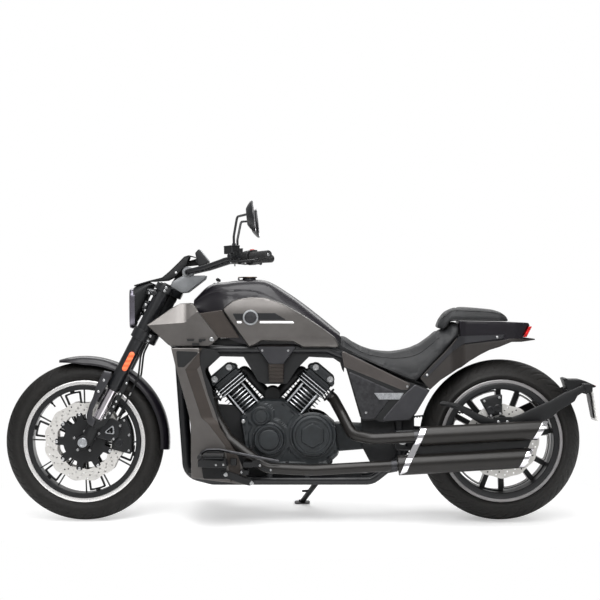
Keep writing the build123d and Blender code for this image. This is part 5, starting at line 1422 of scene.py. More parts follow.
piece("fork_reflectors_prismatic", [(both(forkwise(glass)), ORANGE_LENS),
                                    (both(forkwise(bezel)), MATTE_BLACK)],
      STEER, ["fork_reflectors"])


# %% [markdown]
# Two yokes hold the legs to the steering stem. They are machined plates, clamped round each
# tube by pinch bolts. They are drawn in plan, so the flat curve's second direction becomes the
# side and its thickness runs up the fork.

# %% Yokes
def arc(centre, radius, start, end, count=20):
    """Points on a circle between two angles in degrees."""
    angle = np.radians(np.linspace(start, end, count))
    return [(centre[0] + radius * math.cos(a), centre[1] + radius * math.sin(a)) for a in angle]


def yoke(low, high, front, back):
    """A plate in plan with an eye round each leg."""
    outline = ([(front, 60)] + arc((30, 105), 35.6, -40, 205) + [(back, 45), (back, -45)]
               + arc((30, -105), 35.6, 155, 400) + [(front, -60)])
    holes = [circle(30, 105, 27.3, 40), circle(30, -105, 27.3, 40)]
    return cut_plate([outline] + holes, low, high, 1.6,
                     lambda p: fork(np.stack([p[:, 0], p[:, 2], p[:, 1]], -1)))


stem_axis = fork((0, 0, 1)) - fork((0, 0, 0))
stem = turned(box(0, 470, 13.9, 719.6), fork((0, 0, 0)), stem_axis, 36)
nut_top = turned([(14, 712), (24, 712), (24, 717), (22, 719.6), (14, 719.6)], fork((0, 0, 0)),
                 stem_axis, 12, loop=True)
bolts = [stud((6, 5, 4.8, 6), fork((a, y, t)), 6, fork((0, 1, 0)) - fork((0, 0, 0)))
         for a, t, y in ((-8, 503, 114), (-8, 482, 114), (22, 691, 139.5), (22, 705, 139.5))]
piece("fork_yokes_machined", [(joined(yoke(470.2, 511.8, 34, -34), yoke(684.2, 711.8, 30, -42)),
                               SATIN_BLACK), (stem, DARK_STEEL),
                              (joined(nut_top, both(joined(*bolts))), ZINC)],
      STEER, ["fork_yokes"])

# %% [markdown]
# The fender is one sheet curved two ways, so it is a grid: round the wheel in one direction and
# across in the other, with an inner face 3 mm below. Its front end runs out to a point.

# %% Front fender
CROWN_RADIUS = 340.6
round_wheel = np.linspace(72.5, 185.6, 90)
across = np.linspace(0, np.pi, 40)


def fender_face(inset):
    """Grid of a face: the height falls from the crown to the sides as a superellipse, and the
    sides grow from nothing at the front tip to their full depth 20 degrees on."""
    cosine, sine = np.cos(across), np.abs(np.sin(across))
    side = (73.9 - inset) * np.sign(cosine) * np.abs(cosine) ** 0.7
    depth = 30 * np.clip((round_wheel - 70) / 20, 0.12, 1)[:, None] ** 0.8
    narrow = 1 - 0.35 * np.clip((80 - round_wheel) / 8, 0, 1)[:, None] ** 2
    radius = CROWN_RADIUS - depth + (depth + 3.8 - inset) * sine ** 0.9
    turn = np.radians(round_wheel)[:, None]
    return np.stack([FRONT_AXLE[0] + radius * np.cos(turn),
                     np.broadcast_to(side, radius.shape) * narrow,
                     FRONT_AXLE[2] + radius * np.sin(turn)], -1)


faces = np.concatenate([fender_face(0), fender_face(3.2)[:, ::-1]], 1)
bead = [swept(fender_face(0)[:, column] - (0, np.sign(-column + 1) * 1.2, 0), 1.4, 10)
        for column in (0, -1)]
piece("front_fender_curved", [(grid(faces, wrap_v=True, caps=True), BLACK_LACQUER),
                              (joined(*bead), BLACK_LACQUER)],
      STEER, ["front_fender"], crisp=50)

# %% [markdown]
# Each caliper is two castings bolted together over the disc, with the round bosses of its
# pistons on the outside. The hoses run up the legs in clips.

# %% Calipers and hoses
def sector(axle, low, high, start, end):
    """Outline between two radii and two angles."""
    turn = np.linspace(start, end, 14)
    return np.vstack([polar(axle, high, turn), polar(axle, low, turn[::-1])])


def caliper(axle, middle, gap, low, high, angles, disc, name, node_name, body, faces, spots):
    """Two half castings and a bridge round a disc at the middle height, pistons and bolts.
    faces are the inner and the outer reach to the side."""
    start, end = angles
    face = fillet(sector(axle, low + 6, high, start + 2, end - 2), 5)
    inner, outer = faces
    near = moulded(face, middle + gap, rolled(outer - 3, 2.5, 6), edge=5, cell=8)
    far_half = cut_plate([face], inner, middle - gap, 3)
    bridge = cut_plate([fillet(sector(axle, disc + 9, high - 0.5, start + 6, end - 6), 3)],
                       middle - gap - 1, middle + gap + 1, 0.5)
    pistons = [turned([(0, 0), (17, 0), (17, 2), (15, 3.6), (8, 3.6), (7, 2.2), (0, 2.2)],
                      about(axle, disc - 18, angle, outer - 3.8), turns=32)
               for angle in (start + (end - start) * 0.3, start + (end - start) * 0.7)]
    studs = [stud((5, 4, 4, 5), about(axle, r, a, outer - 5.4), 14) for r, a in spots]
    shells = [(joined(near, far_half, bridge), MATTE_BLACK), (joined(*pistons), SATIN_BLACK),
              (joined(*studs), ZINC)]
    if inner < 60:
        shells = [(both(shell), material) for shell, material in shells]
    piece(name, shells, body, [node_name])


caliper(FRONT_AXLE, 58, 8, 108, 195, (146, 197), 159, "front_calipers_cast", "front_calipers",
        STEER, (36.3, 78.8), ((184, 152), (184, 171.5), (184, 191), (122, 171)))
hose = swept(fork([(-39, 84, 138.5), (-39, 84, 330), (-5, 84, 420), (-5, 84, 469.4)]), 3.9, 14,
             bend=80)
unions = joined(*[turned(box(3.8, 0, 3.98, 14), fork((-39, 84, t)), stem_axis, 16, loop=True)
                  for t in (140, 250)])
piece("front_brake_hoses_braided", [(both(hose), MATTE_BLACK), (both(unions), ZINC)],
      STEER, ["front_brake_hoses"])

# %% [markdown]
# The headlamp's body is wide in front and runs back only at its top, along the fork. It is a
# loft of round-cornered frames: each frame is a superellipse of power 5 between a low and a
# high line. A satin metal bezel bulges from its face, and behind the lens stands the bowl.

# %% Headlamp
def frame_loop(x, half, low, high, count=64, power=5.0, scale=1.0):
    """A round-cornered frame across the machine at x, narrower at its foot than at its top."""
    angle = np.linspace(0, 2 * np.pi, count, endpoint=False)
    y = np.sign(np.cos(angle)) * np.abs(np.cos(angle)) ** (2 / power)
    z = np.sign(np.sin(angle)) * np.abs(np.sin(angle)) ** (2 / power)
    width = half * (0.9 + 0.1 * z)
    return np.stack([np.full(count, float(x)), width * y * scale,
                     (low + high) / 2 + (high - low) / 2 * z * scale], -1)


LAMP_STATIONS = ((1398, 84, 950, 953.5), (1416, 92, 912, 961), (1446, 96, 848, 953),
                 (1474, 97, 788, 944), (1480, 97.5, 777, 940))
body = grid(np.stack([frame_loop(*row) for row in LAMP_STATIONS]), wrap_v=True, caps=True)
rows = ((1474, 1.0), (1488, 1.0), (1493.5, 0.985), (1495.8, 0.955), (1495.2, 0.915),
        (1491, 0.885), (1478, 0.875), (1474, 0.9))


def lamp_face(rows, **joins):
    """Frames of the lamp's front, one for each (x, scale)."""
    frames = np.stack([frame_loop(x, 98, 774, 936, scale=scale) for x, scale in rows])
    return grid(frames, wrap_v=True, **joins)


bezel = lamp_face(rows, wrap_u=True)
bowl_rows = ((1485.5, 0.86), (1478, 0.8), (1466, 0.62), (1456, 0.4), (1452, 0.2), (1452, 0.01))
bowl = lamp_face(bowl_rows)
bowl_back = (bowl[0] - (1.5, 0, 0), [face[::-1] for face in bowl[1]])
projector = turned([(0, 18), (10, 17), (20, 12), (26, 4), (28, 0), (28, -26), (0, -26)],
                   (1466, 0, 855), (1, 0, 0), 40)
ears = forkwise(cut_plate([fillet(box(58, 588, 75, 622), 3)], 86, 110, 1.5))
hexagon = polar((0, 0, 0), 13, 60.0 * np.arange(6))
badge = moulded(fillet([(1415 + 1.25 * u, 921 + v) for u, v in hexagon], 3), 80,
                lambda x, z, far: 91.5 - 3 * np.clip((far - 5) / 2, 0, 1), edge=2, cell=6)
screw = stud((4.6, 2.5, 3.4, 3.2), (1415, 88, 920), 14)
side_bolt = forkwise(stud((5, 1.4, 4, 2), (66, 109.5, 606), 14))
SATIN_CHROME = finish("satin_chromed_rim", "#6f6c75", "#7d7a83", (0.25, 0.34), 60, Metallic=1.0)
piece("headlamp_built", [(joined(body, both(badge)), MATTE_BLACK), (bezel, SATIN_CHROME),
                         (joined(bowl, bowl_back), CHROME), (projector, CLEAR_LENS),
                         (both(ears), SATIN_BLACK), (both(joined(screw, side_bolt)), ZINC)],
      STEER, ["headlamp"], crisp=45)
lens_rows = ((1485.9, 0.02), (1485.9, 0.5), (1486, 0.86), (1488.5, 0.868), (1490.6, 0.8),
             (1491.4, 0.5), (1491.8, 0.2), (1491.8, 0.01))
piece("headlamp_lens_clear", [(lamp_face(lens_rows, caps=True), CLEAR_LENS)],
      STEER, ["headlamp_lens"], crisp=50)

# %% [markdown]
# A visor sheet rises from the lamp to the instrument, with a three-cornered cheek on each side.

# %% Visor and instrument
VISOR = [(142.5, 650.6), (146.6, 654.1), (101.3, 697.4), (60.0, 733.0), (45.5, 766.2),
         (27.1, 820.5), (18.8, 848.3), (3.7, 862.7), (-17.7, 866.9), (-21.8, 863.3),
         (-0.3, 859.2), (14.7, 844.7), (23.0, 816.9), (41.4, 762.7), (55.9, 729.5),
         (97.2, 693.8)]
CHEEK = [(104.8, 688.9), (58.1, 729.5), (43.6, 762.7), (25.3, 816.9), (15.2, 845.6),
         (0.1, 860.0), (-4.2, 820.7), (13.2, 762.5), (36.2, 730.5)]
sheet = forkwise(cut_plate([fillet(VISOR, [0, 0] + [14] * 6 + [0, 0] + [14] * 6)], -75.8, 75.8,
                           1.2))
cheeks = forkwise(moulded(fillet(CHEEK, [6, 14, 14, 14, 8, 4, 14, 14, 8]), 71,
                          rolled(75.7, 2.0, 6), edge=2, cell=8))
dot = forkwise(stud((4.5, 0.8, 3.5, 1.2), (18, 74.9, 775), 14))
piece("visor_moulded", [(joined(sheet, both(cheeks)), MATTE_BLACK), (both(dot), ZINC)],
      STEER, ["visor"])
GAUGE = [(-13, 881), (-19, 904), (-82, 875), (-60, 827)]
gauge = forkwise(cut_plate([fillet(GAUGE, [8, 7, 9, 14])], -61.8, 61.8, 6))
face = forkwise(cut_plate([[(-24, 903.2), (-78, 878.6), (-76.6, 876), (-23, 900.6)]], -50, 50,
                          0.4))
post = forkwise(cut_plate([fillet([(-5, 720.4), (18, 720.4), (14, 818), (2, 836), (-28, 864),
                                   (-48, 844), (-8, 818)], 3)], -12, 12, 2))
ring = forkwise(turned(box(9, 0, 12.5, 3), (-40, 61, 862), (0, 1, 0), 32, loop=True))
piece("instrument_glazed", [(joined(gauge, post), MATTE_BLACK), (face, MIRROR_GLASS),
                            (both((ring[0] - (0, 2.4, 0), ring[1])), SATIN_BLACK)],
      STEER, ["instrument"])

# %% [markdown]
# The handlebar is one bent tube. The risers that hold it are bare castings, the palest parts up
# there. Everything clamped near the grip is drawn in a frame of its own: along the bar from its
# end, ahead of it, and up. The grips are soft rubber with a ring every 7 mm.

# %% Handlebar, risers and grips
RISER = fillet([(12, 712.3), (-40, 712.3), (-60, 725), (-98, 805), (-95, 821), (-48, 796.6),
                (-27.6, 788.2), (-4.8, 771), (17, 736.5)], [3, 10, 16, 10, 5, 16, 10, 20, 8])
riser = forkwise(moulded(RISER, 52.2, rolled(78.8, 3, 5), edge=3, cell=7))
saddle = turned([(11.3, 50.5), (20, 50.5), (22, 53), (22, 77), (20, 79.5), (11.3, 79.5)],
                fork((-22.3, 0, 798.5)), (0, 1, 0), 40, loop=True)
caps = joined(*[turned(box(0, 0, 4, 4), fork((-22.3 + a, 65, 798.5 + t)),
                       fork((a, 0, t)) - fork((0, 0, 0)), 14) for a, t in ((14, 14), (-14, 14))])
DIE_CAST = finish("bare_die_casting", "#6e7072", "#7c7e80", (0.4, 0.5), 30, 1.4, 0.05,
                  Metallic=0.6)
piece("bar_risers_cast", [(both(joined(riser, saddle)), DIE_CAST), (both(caps), ZINC)],
      STEER, ["bar_risers"])
BAR_ROUTE = [(-22.3, 103, 798.5), (-86.3, 165, 853.5), (-141.3, 225, 910.8),
             (-194.7, 285, 949.2), (-287.3, 445, 1005.3)]
route = np.array([(a, -y, t) for a, y, t in BAR_ROUTE[::-1]] + BAR_ROUTE)
piece("handlebar_bent", [(swept(fork(route), 10.9, 28, bend=45), SATIN_BLACK)],
      STEER, ["handlebar"])
BAR_END = fork(BAR_ROUTE[4])
inward = fork(BAR_ROUTE[3]) - BAR_END
inward /= np.linalg.norm(inward)
over = np.cross(inward, np.cross((0, 0, 1), inward))
over /= np.linalg.norm(over)
AXES = np.array([inward, np.cross(over, inward), over])


def control(points):
    """Points along the bar from its left end, ahead of it and above it."""
    return BAR_END + np.asarray(points, float) @ AXES


def controlled(shell):
    """A shell drawn in the controls' frame, placed on the bar."""
    return control(shell[0]), shell[1]


def lump(centre, size, corner=6.0, edge=3.0):
    """A rounded block in the controls' frame: its plan has round corners, and its edges too."""
    (x, y, z), (a, b, c) = centre, np.array(size) / 2
    plan = fillet([(x + a, y - b), (x + a, y + b), (x - a, y + b), (x - a, y - b)], corner)
    points, faces = cut_plate([plan], z - c, z + c, edge)
    return control(points[:, [0, 2, 1]]), faces


ribs = [(16.9 - 0.9 * (k % 2), 6 + 3.5 * k) for k in range(30)]
grip = [(11.4, -0.5), (11.4, 114.6), (16, 114.6), (17, 113), (17, 110.5)] + ribs[::-1] \
    + [(17, 4), (17, 0), (15.4, -2.9), (6, -2.9), (6, -0.5)]
weight = turned([(0, -2.6), (4.6, -2.6), (5.8, -1.8), (5.8, -0.6), (0, -0.6)], (0, 0, 0),
                (1, 0, 0), 20)
piece("grips_ringed", [(both(controlled(turned(grip, (0, 0, 0), (1, 0, 0), 40, loop=True))),
                        GRIP_RUBBER), (both(controlled(weight)), ZINC)],
      STEER, ["grips"], crisp=25)

# %% [markdown]
# Each control housing is two half drums round the bar with switches on them, and a reservoir
# for the brake or clutch fluid in front. The lever turns on a pin beside it. A mirror is a
# turned dish on a bent stalk: glass, bright rim and dish are three profiles about one axis.

# %% Controls, levers and mirrors
half = [(11.4, 118.4), (22, 118.4), (23.8, 120.5), (23.8, 138), (23.2, 138.6), (23.2, 139.4),
        (23.8, 140), (23.8, 157.5), (22, 159.6), (11.4, 159.6)]
drum = controlled(turned(half, (0, 0, 0), (1, 0, 0), 40, loop=True))
clamp_ring = controlled(turned([(11.4, 208.5), (17, 208.5), (18, 210), (18, 234), (17, 235.5),
                                (11.4, 235.5)], (0, 0, 0), (1, 0, 0), 32, loop=True))
blocks = joined(lump((139, -17, 6), (41, 25, 39), 5, 3), lump((222, 24, 4), (27, 34, 20), 5, 3),
                lump((243, 12, 30), (60, 43, 27), 9, 3))
lid = lump((243, 12, 46), (61.5, 44.5, 6), 9, 1.5)
neck = lump((222, 15, 17), (24, 22, 12), 5, 2)
pin = controlled(turned(box(0, -26, 2.9, 3), (222, 31, 0), (0, 0, 1), 16))
tops = joined(*[controlled(turned([(0, 0), (3.4, 0), (3, 0.5), (0, 0.5)], (x, 12, 48.9),
                                  (0, 0, 1), 14)) for x in (220, 266)])
red = joined(lump((132, -12, 26), (14, 14, 5), 3, 1.5), lump((147, -14, 25.4), (8, 8, 3), 2, 1))
piece("control_housings_moulded", [(both(joined(drum, clamp_ring, blocks, neck)), MATTE_BLACK),
                                   (both(lid), SATIN_BLACK), (both(joined(pin, tops)), ZINC),
                                   (red, RED_SWITCH)],
      STEER, ["control_housings"])
blade = swept([control(p) for p in ((222, 31, -12), (144, 38, -19), (30, 43.5, -20),
                                    (17, 44, -20))], 4.9, 20, bend=60, flat=0.8)
ball = controlled(turned([(0, 0), (5, 0.6), (6.9, 3.5), (6.9, 8), (5, 11), (0, 12)],
                         (10, 44, -20), (1, 0, 0), 24))
eye = controlled(turned([(3.05, -16.8), (8.6, -16.8), (8.9, -16), (8.9, -8), (8.6, -7.2),
                         (3.05, -7.2)], (222, 31, 0), (0, 0, 1), 32, loop=True))
piece("hand_levers_forged", [(both(joined(blade, ball, eye)), SATIN_BLACK)],
      STEER, ["hand_levers"])
head = fork((-167.9, 430, 1111.8))
stalk = swept(np.vstack([control([(222, 15, 50), (222, 15, 84)]),
                         fork([(-107.8, 300, 1084.5), (-141.6, 390, 1108.4)])]), 4.9, 18,
              bend=22)
away = np.array([-0.995, 0, 0.098])
joint = swept([fork((-141.6, 390, 1108.4)), head - 14 * away], 4.9, 18)
boot = controlled(turned([(0, 49.9), (8.8, 49.9), (8.8, 53), (7, 54), (7, 57), (5, 58),
                          (0, 58)], (222, 15, 0), (0, 0, 1), 24))
dish = [(0, -26.4), (30, -26.4), (34, -25), (47, -16.5), (58, -7), (61.6, -2), (61.8, 2),
        (60.8, 3.6), (58.4, 3.6), (58, 1.4), (0, 1.4)]
rim_ring = [(57, 3.2), (58.2, 4.3), (60.2, 4.3), (61, 3), (58, 2.6)]
glass = [(0, 3.4), (30, 3.1), (57.4, 2.2), (57.4, 1.2), (0, 1.2)]
piece("mirrors_round", [(both(joined(turned(dish, head, away, 72), stalk, joint, boot)),
                         SATIN_BLACK),
                        (both(turned(rim_ring, head, away, 72, loop=True)), CHROME),
                        (both(turned(glass, head, away, 72)), MIRROR_GLASS)],
      STEER, ["mirrors"], crisp=40)
case = moulded(fillet([(95, 666), (50, 649), (38, 668), (58, 682)], 5), 112,
               rolled(133.5, 6, 7), edge=4, cell=6)
window = moulded(fillet([(90, 665.5), (64, 656), (62, 675)], 3), 125,
                 rolled(134.5, 3, 4), edge=2, cell=5)
piece("front_turn_lamps_moulded", [(both(forkwise(case)), SATIN_BLACK),
                                   (both(forkwise(window)), CLEAR_LENS)],
      STEER, ["front_turn_lamps"])

# %% [markdown]
# ## Seats
# A motorcycle seat is a foam pad on a plastic pan, under a sewn cover that is stretched over it
# and stapled below. Foam pushes outwards everywhere and the cover holds it back, which is what
# cloth under pressure does. So each pad starts as a loft a little smaller than the real one,
# becomes an even net of squares by voxel remesh, and is then blown up by Blender's cloth for
# twenty frames, with the pan side pinned. Seams and piping come after, since the remesh would
# swallow them.

# %% Blowing up a pad
def blown(shell, name, pinned, cap, voxel=5.5, pressure=4.0):
    """Remeshes a shell and lets cloth pressure swell it: each point moves at most cap
    millimetres, and the points that pinned() picks stay. Returns drawn points and faces."""
    mesh = bpy.data.meshes.new(name)
    mesh.from_pydata(stand(shell[0]), [], shell[1])
    pad = bpy.data.objects.new(name, mesh)
    bpy.context.scene.collection.objects.link(pad)
    cells = pad.modifiers.new("even net", "REMESH")
    cells.mode, cells.voxel_size = "VOXEL", voxel / 1000
    calm = pad.modifiers.new("calm", "SMOOTH")
    calm.factor, calm.iterations = 0.5, 6
    depsgraph = bpy.context.evaluated_depsgraph_get()
    even = bpy.data.meshes.new_from_object(pad.evaluated_get(depsgraph))
    pad.modifiers.clear()
    pad.data = even
    start = np.zeros(len(even.vertices) * 3)
    even.vertices.foreach_get("co", start)
    start = start.reshape(-1, 3)
    end = start
    hold = pad.vertex_groups.new(name="pan")
    hold.add(np.flatnonzero(pinned(drawn(start))).tolist(), 1.0, "REPLACE")
    cloth = pad.modifiers.new("cover", "CLOTH")
    cloth.settings.quality = 5
    cloth.settings.mass = 0.3
    cloth.settings.use_pressure = True
    cloth.settings.uniform_pressure_force = pressure
    cloth.settings.effector_weights.gravity = 0.0
    cloth.settings.vertex_group_mass = "pan"
    cloth.point_cache.frame_start, cloth.point_cache.frame_end = 1, 20
    scene = bpy.context.scene
    for step in range(1, 21):
        scene.frame_set(step)
    depsgraph = bpy.context.evaluated_depsgraph_get()
    swollen = pad.evaluated_get(depsgraph).to_mesh()
    end = np.zeros_like(start).ravel()
    swollen.vertices.foreach_get("co", end)
    end = end.reshape(-1, 3)
    pad.evaluated_get(depsgraph).to_mesh_clear()
    pad.modifiers.clear()
    scene.frame_set(1)
    move = end - start
    far = np.linalg.norm(move, axis=1)[:, None]
    end = start + move * np.minimum(1, cap / 1000 / np.maximum(far, 1e-9))
    even.vertices.foreach_set("co", end.ravel())
    finer = pad.modifiers.new("finer", "SUBSURF")
    finer.levels = finer.render_levels = 1
    depsgraph = bpy.context.evaluated_depsgraph_get()
    dense_mesh = bpy.data.meshes.new_from_object(pad.evaluated_get(depsgraph))
    points = np.zeros(len(dense_mesh.vertices) * 3)
    dense_mesh.vertices.foreach_get("co", points)
    faces = [list(face.vertices) for face in dense_mesh.polygons]
    for spare in (dense_mesh, even, mesh):
        if spare.users == 0:
            bpy.data.meshes.remove(spare)
    bpy.data.objects.remove(pad)
    return drawn(points.reshape(-1, 3)), faces


def lofted(x, high, low, half, power):
    """A closed pad: half superellipses over a flat foot, from three curves along the machine."""
    rows = sorted(zip(x, np.interp(x, *half), np.interp(x, *low), np.interp(x, *high)))
    return grid(hump(rows, np.array(sorted(x)), power, 72, 0.06), wrap_v=True, caps=True)


def curve(points):
    """Splits points into rising X and their values, as np.interp wants them."""
    return np.array(sorted(points), float).T


# %% [markdown]
# The rider's seat sweeps up at its back, to meet the pillion pad, and drops at its sides. Its
# cover is plain across the dip, with a seam along each shoulder and one across under the nose
# of the pillion pad, where the thread pulls the cover down.

# %% Rider's seat
SEAT_HIGH = curve([(650, 750), (606, 718), (566, 697), (525, 683), (484, 676.5), (444, 674.5),
                   (403, 680), (363, 690), (322, 708), (281, 738), (261, 756), (240, 763),
                   (224, 770), (212, 780), (203, 795), (198, 799), (172.5, 799)])
SEAT_LOW = curve([(650, 692), (370, 569), (345, 564), (332, 577), (289, 623), (249, 663),
                  (209, 705), (190, 728), (172.5, 744)])
SEAT_HALF = curve([(650, 98), (560, 115), (470, 141), (330, 144.5), (240, 130), (205, 112),
                   (172.5, 102)])
seat_shell = lofted(np.linspace(172.5, 649, 92), SEAT_HIGH, SEAT_LOW, SEAT_HALF, 2.9)


def on_pan(points):
    """Points within 9 mm of the pan, which the frame and the tail carry."""
    return points[:, 2] < np.interp(points[:, 0], *SEAT_LOW) + 9


points, faces = blown(seat_shell, "seat foam", on_pan, 8.0)


def sewn(points, middle, depth, high):
    """A seam across the pad at X = middle: the top sinks there by depth times a bell 4 mm
    wide, and the sides don't."""
    bell = np.exp(-((points[:, 0] - middle) / 4.0) ** 2)
    up = np.clip((points[:, 2] - np.interp(points[:, 0], *high) + 40) / 26, 0, 1)
    out = points.copy()
    out[:, 2] -= depth * bell * up
    return out


points = sewn(points, 255, 2.0, SEAT_HIGH)


def piping(high, low, half, xs, share, side_share, radius):
    """A piped seam along a pad's shoulder, at a share of its height and width."""
    xs = np.linspace(*xs, 70)
    top, foot = np.interp(xs, *high), np.interp(xs, *low)
    return swept(np.stack([xs, np.interp(xs, *half) * side_share,
                           foot + (top - foot) * share], -1), radius, 10)


def hugging(path_shell, points, lift):
    """Moves each point of a seam out to the pad's nearest point, so that it lies on the cover."""
    path, faces = path_shell
    ring = path.reshape(-1, 10, 3)
    middle = ring.mean(1)
    nearest = points[np.linalg.norm(middle[:, None] - points[None], axis=2).argmin(1)]
    kernel = np.ones(7) / 7
    offset = nearest - middle + (0, lift, lift)
    smooth_offset = np.stack([np.convolve(np.pad(offset[:, k], 3, "edge"), kernel, "valid")
                              for k in range(3)], -1)
    return (ring + smooth_offset[:, None]).reshape(-1, 3), faces


left_side = points[points[:, 1] > 40]
curves = SEAT_HIGH, SEAT_LOW, SEAT_HALF
seam = hugging(piping(*curves, (252, 628), 0.86, 0.8, 1.9), left_side, 0.4)
hem = hugging(piping(*curves, (352, 636), 0.06, 0.99, 2.2), left_side, 0.2)
PIPING = finish("piping_cord", "#0e0e10", "#141416", (0.5, 0.6), 20, 1.2, 0.05)
saddle = piece("rider_seat_sewn", [((points, faces), SEAT_COVER), (both(seam), PIPING),
                                   (both(hem), PIPING)],
               BIKE, ["rider_seat"], crisp=60, weighted=False)

# %% [markdown]
# The pillion pad is a firm little cushion with a nose that hooks over the rider's seat.

# %% Pillion pad
PAD_HIGH = curve([(257, 788), (249, 811), (229, 838), (200, 857), (180, 861), (110, 857),
                  (38, 851.5), (-3, 842), (-22, 826), (-31, 812)])
PAD_LOW = curve([(257, 780), (234, 770.5), (217, 782), (206, 804), (171, 806.5), (-31, 804)])
PAD_HALF = curve([(262, 68), (230, 90), (150, 98), (0, 91), (-33, 68)])
pad_shell = lofted(np.linspace(-31, 257, 60), PAD_HIGH, PAD_LOW, PAD_HALF, 3.0)
points, faces = blown(pad_shell, "pillion foam",
                      lambda p: p[:, 2] < np.interp(p[:, 0], *PAD_LOW) + 7, 7.0, voxel=5.0)
points = sewn(points, 176, 2.2, PAD_HIGH)
left_side = points[points[:, 1] > 20]
curves = PAD_HIGH, PAD_LOW, PAD_HALF
seam = hugging(piping(*curves, (-24, 246), 0.8, 0.82, 1.7), left_side, 0.4)
hem = hugging(piping(*curves, (-26, 200), 0.08, 0.98, 2.0), left_side, 0.2)
pillion = piece("pillion_pad_sewn", [((points, faces), SEAT_COVER), (both(seam), PIPING),
                                     (both(hem), PIPING)],
                BIKE, ["pillion_pad"], crisp=60, weighted=False)

# %% [markdown]
# ## Tail
# The tail carries the pillion pad. It is three mouldings: a lacquered body, a satin rib that
# runs down behind the rider's seat, and a brownish unpainted liner over the wheel. All of them
# follow one plan line, and differ only by how far they stand out from it.

# %% Tail and its lamp
def tail_plan(x):
    """Half width of the tail along the machine."""
    return np.interp(x, [-142, -60, 150, 200, 345], [61.5, 91.5, 107.5, 141.5, 141.5])


def tail_face(lift):
    """A height function that follows the plan line from inside by lift."""
    return lambda x, z, far: tail_plan(x) - lift


def on_tail(lift):
    """A place function for a panel drawn flat: it moves each point out to the plan line."""
    return lambda points: points + np.outer(tail_plan(points[:, 0]) - lift, (0, 1, 0))


TAIL = [(171, 804.6), (-26, 801.8), (-113, 798), (-117.5, 785), (-112, 784.6), (-89, 739.6),
        (-139, 734), (-139, 729), (-84, 721.5), (-42, 721), (7, 701), (47, 689), (87, 669),
        (127, 645), (159, 621.5), (179.6, 650), (165, 735)]
body = moulded(fillet(TAIL, [6, 0, 8, 2, 0, 0, 3, 3, 10, 14, 20, 30, 30, 30, 4, 4, 4]), 0,
               tail_face(5), edge=6, cell=10, wall=0.92)
LINER = [(180, 737.7), (209, 703.7), (249, 661.7), (289, 621.7), (329, 577.7), (289, 530.5),
         (247, 569), (180, 612), (159, 621.5), (127, 645), (87, 669), (47, 689), (7, 701),
         (-42, 721), (-84, 721.5), (-139, 729), (-139, 733), (-36, 735), (-8, 729), (144, 712),
         (160, 716)]
liner = moulded(LINER, -30, level(0), edge=3, cell=9, wall=0.9, place=on_tail(2.6))
RIB = [(322, 583), (196, 716), (171, 747), (-20, 753), (-6, 731), (144, 713), (197, 682),
       (284, 592), (306, 572)]
rib = moulded(fillet(RIB, [4, 14, 20, 6, 6, 30, 20, 10, 6]), 70, tail_face(0.4), edge=4, cell=8)
spots = joined(*[stud((4.6, 1.6, 3.4, 2.2), (x, tail_plan(x) - 1.8, z), 14)
                 for x, z in ((16, 741), (300, 590))])
POLYPROPYLENE = finish("unpainted_polypropylene", "#1d1917", "#241f1c", (0.5, 0.6), 70, 1.6, 0.06)
piece("tail_moulded", [(both(body), BLACK_LACQUER), (both(liner), POLYPROPYLENE),
                       (both(rib), GRAPHITE), (both(spots), ZINC)],
      BIKE, ["tail"])
LAMP = fillet([(-112.4, 784), (-125.6, 784), (-103, 740.4), (-89.8, 740.4)], 2.5)
piece("tail_lamp_prismatic", [(cut_plate([LAMP], -83.6, 83.6, 2.5), RED_LENS)],
      BIKE, ["tail_lamp"])

# %% [markdown]
# ## Frame
# The frame is bent steel tube, welded to a steering head of thick tube. Cast plates hold the
# swingarm's pivot, and flat black gussets close the corners, so that little daylight shows
# round the engine. Tubes are routes with a bend radius, and plates are moulded outlines.

# %% Frame
def outlined(outline, low, high, corner=6, edge=1.5):
    """A black plate with rounded corners between two distances from the middle plane."""
    return cut_plate([fillet(outline, corner)], low, high, edge)


head = turned([(14.05, 513), (29, 513), (31.5, 516), (31.5, 530), (30, 533), (30, 663),
               (31.5, 666), (31.5, 680), (29, 683.2), (14.05, 683.2)], fork((0, 0, 0)),
              stem_axis, 48, loop=True)
top_rail = swept(np.vstack([fork([(-21.8, 12, 627.7)]),
                            [(1180, 118, 694), (700, 118, 694), (400, 84, 570), (290, 78, 548),
                             (215, 76, 640), (182, 76, 647)]]), 17.8, 24, bend=28)
cradle = swept(np.vstack([fork([(-4.8, 12, 561.8), (-130.1, 50, 503.3)]),
                          [(1262, 80, 190), (1160, 95, 165), (520, 95, 165), (400, 95, 260),
                           (430, 95, 571)]]), 17.8, 24, bend=60)
stays = [swept(route, radius, 14) for route, radius in (
    ([(780, 95, 170), (780, 95, 225.5)], 13.9), ([(930, 95, 170), (930, 95, 225.5)], 13.9),
    ([(1205, 104, 728), (1205, 171.5, 728)], 6.9), ([(1286, 62, 500), (1235, 187.3, 500)], 5.9),
    ([(1262, 80, 197), (1205, 186.8, 197)], 5.9))]
bars = [swept([(400, -119.8, 330), (400, 119.8, 330)], 19.9, 24),
        swept([(560, -143, 630), (560, 143, 630)], 11.9, 20)]
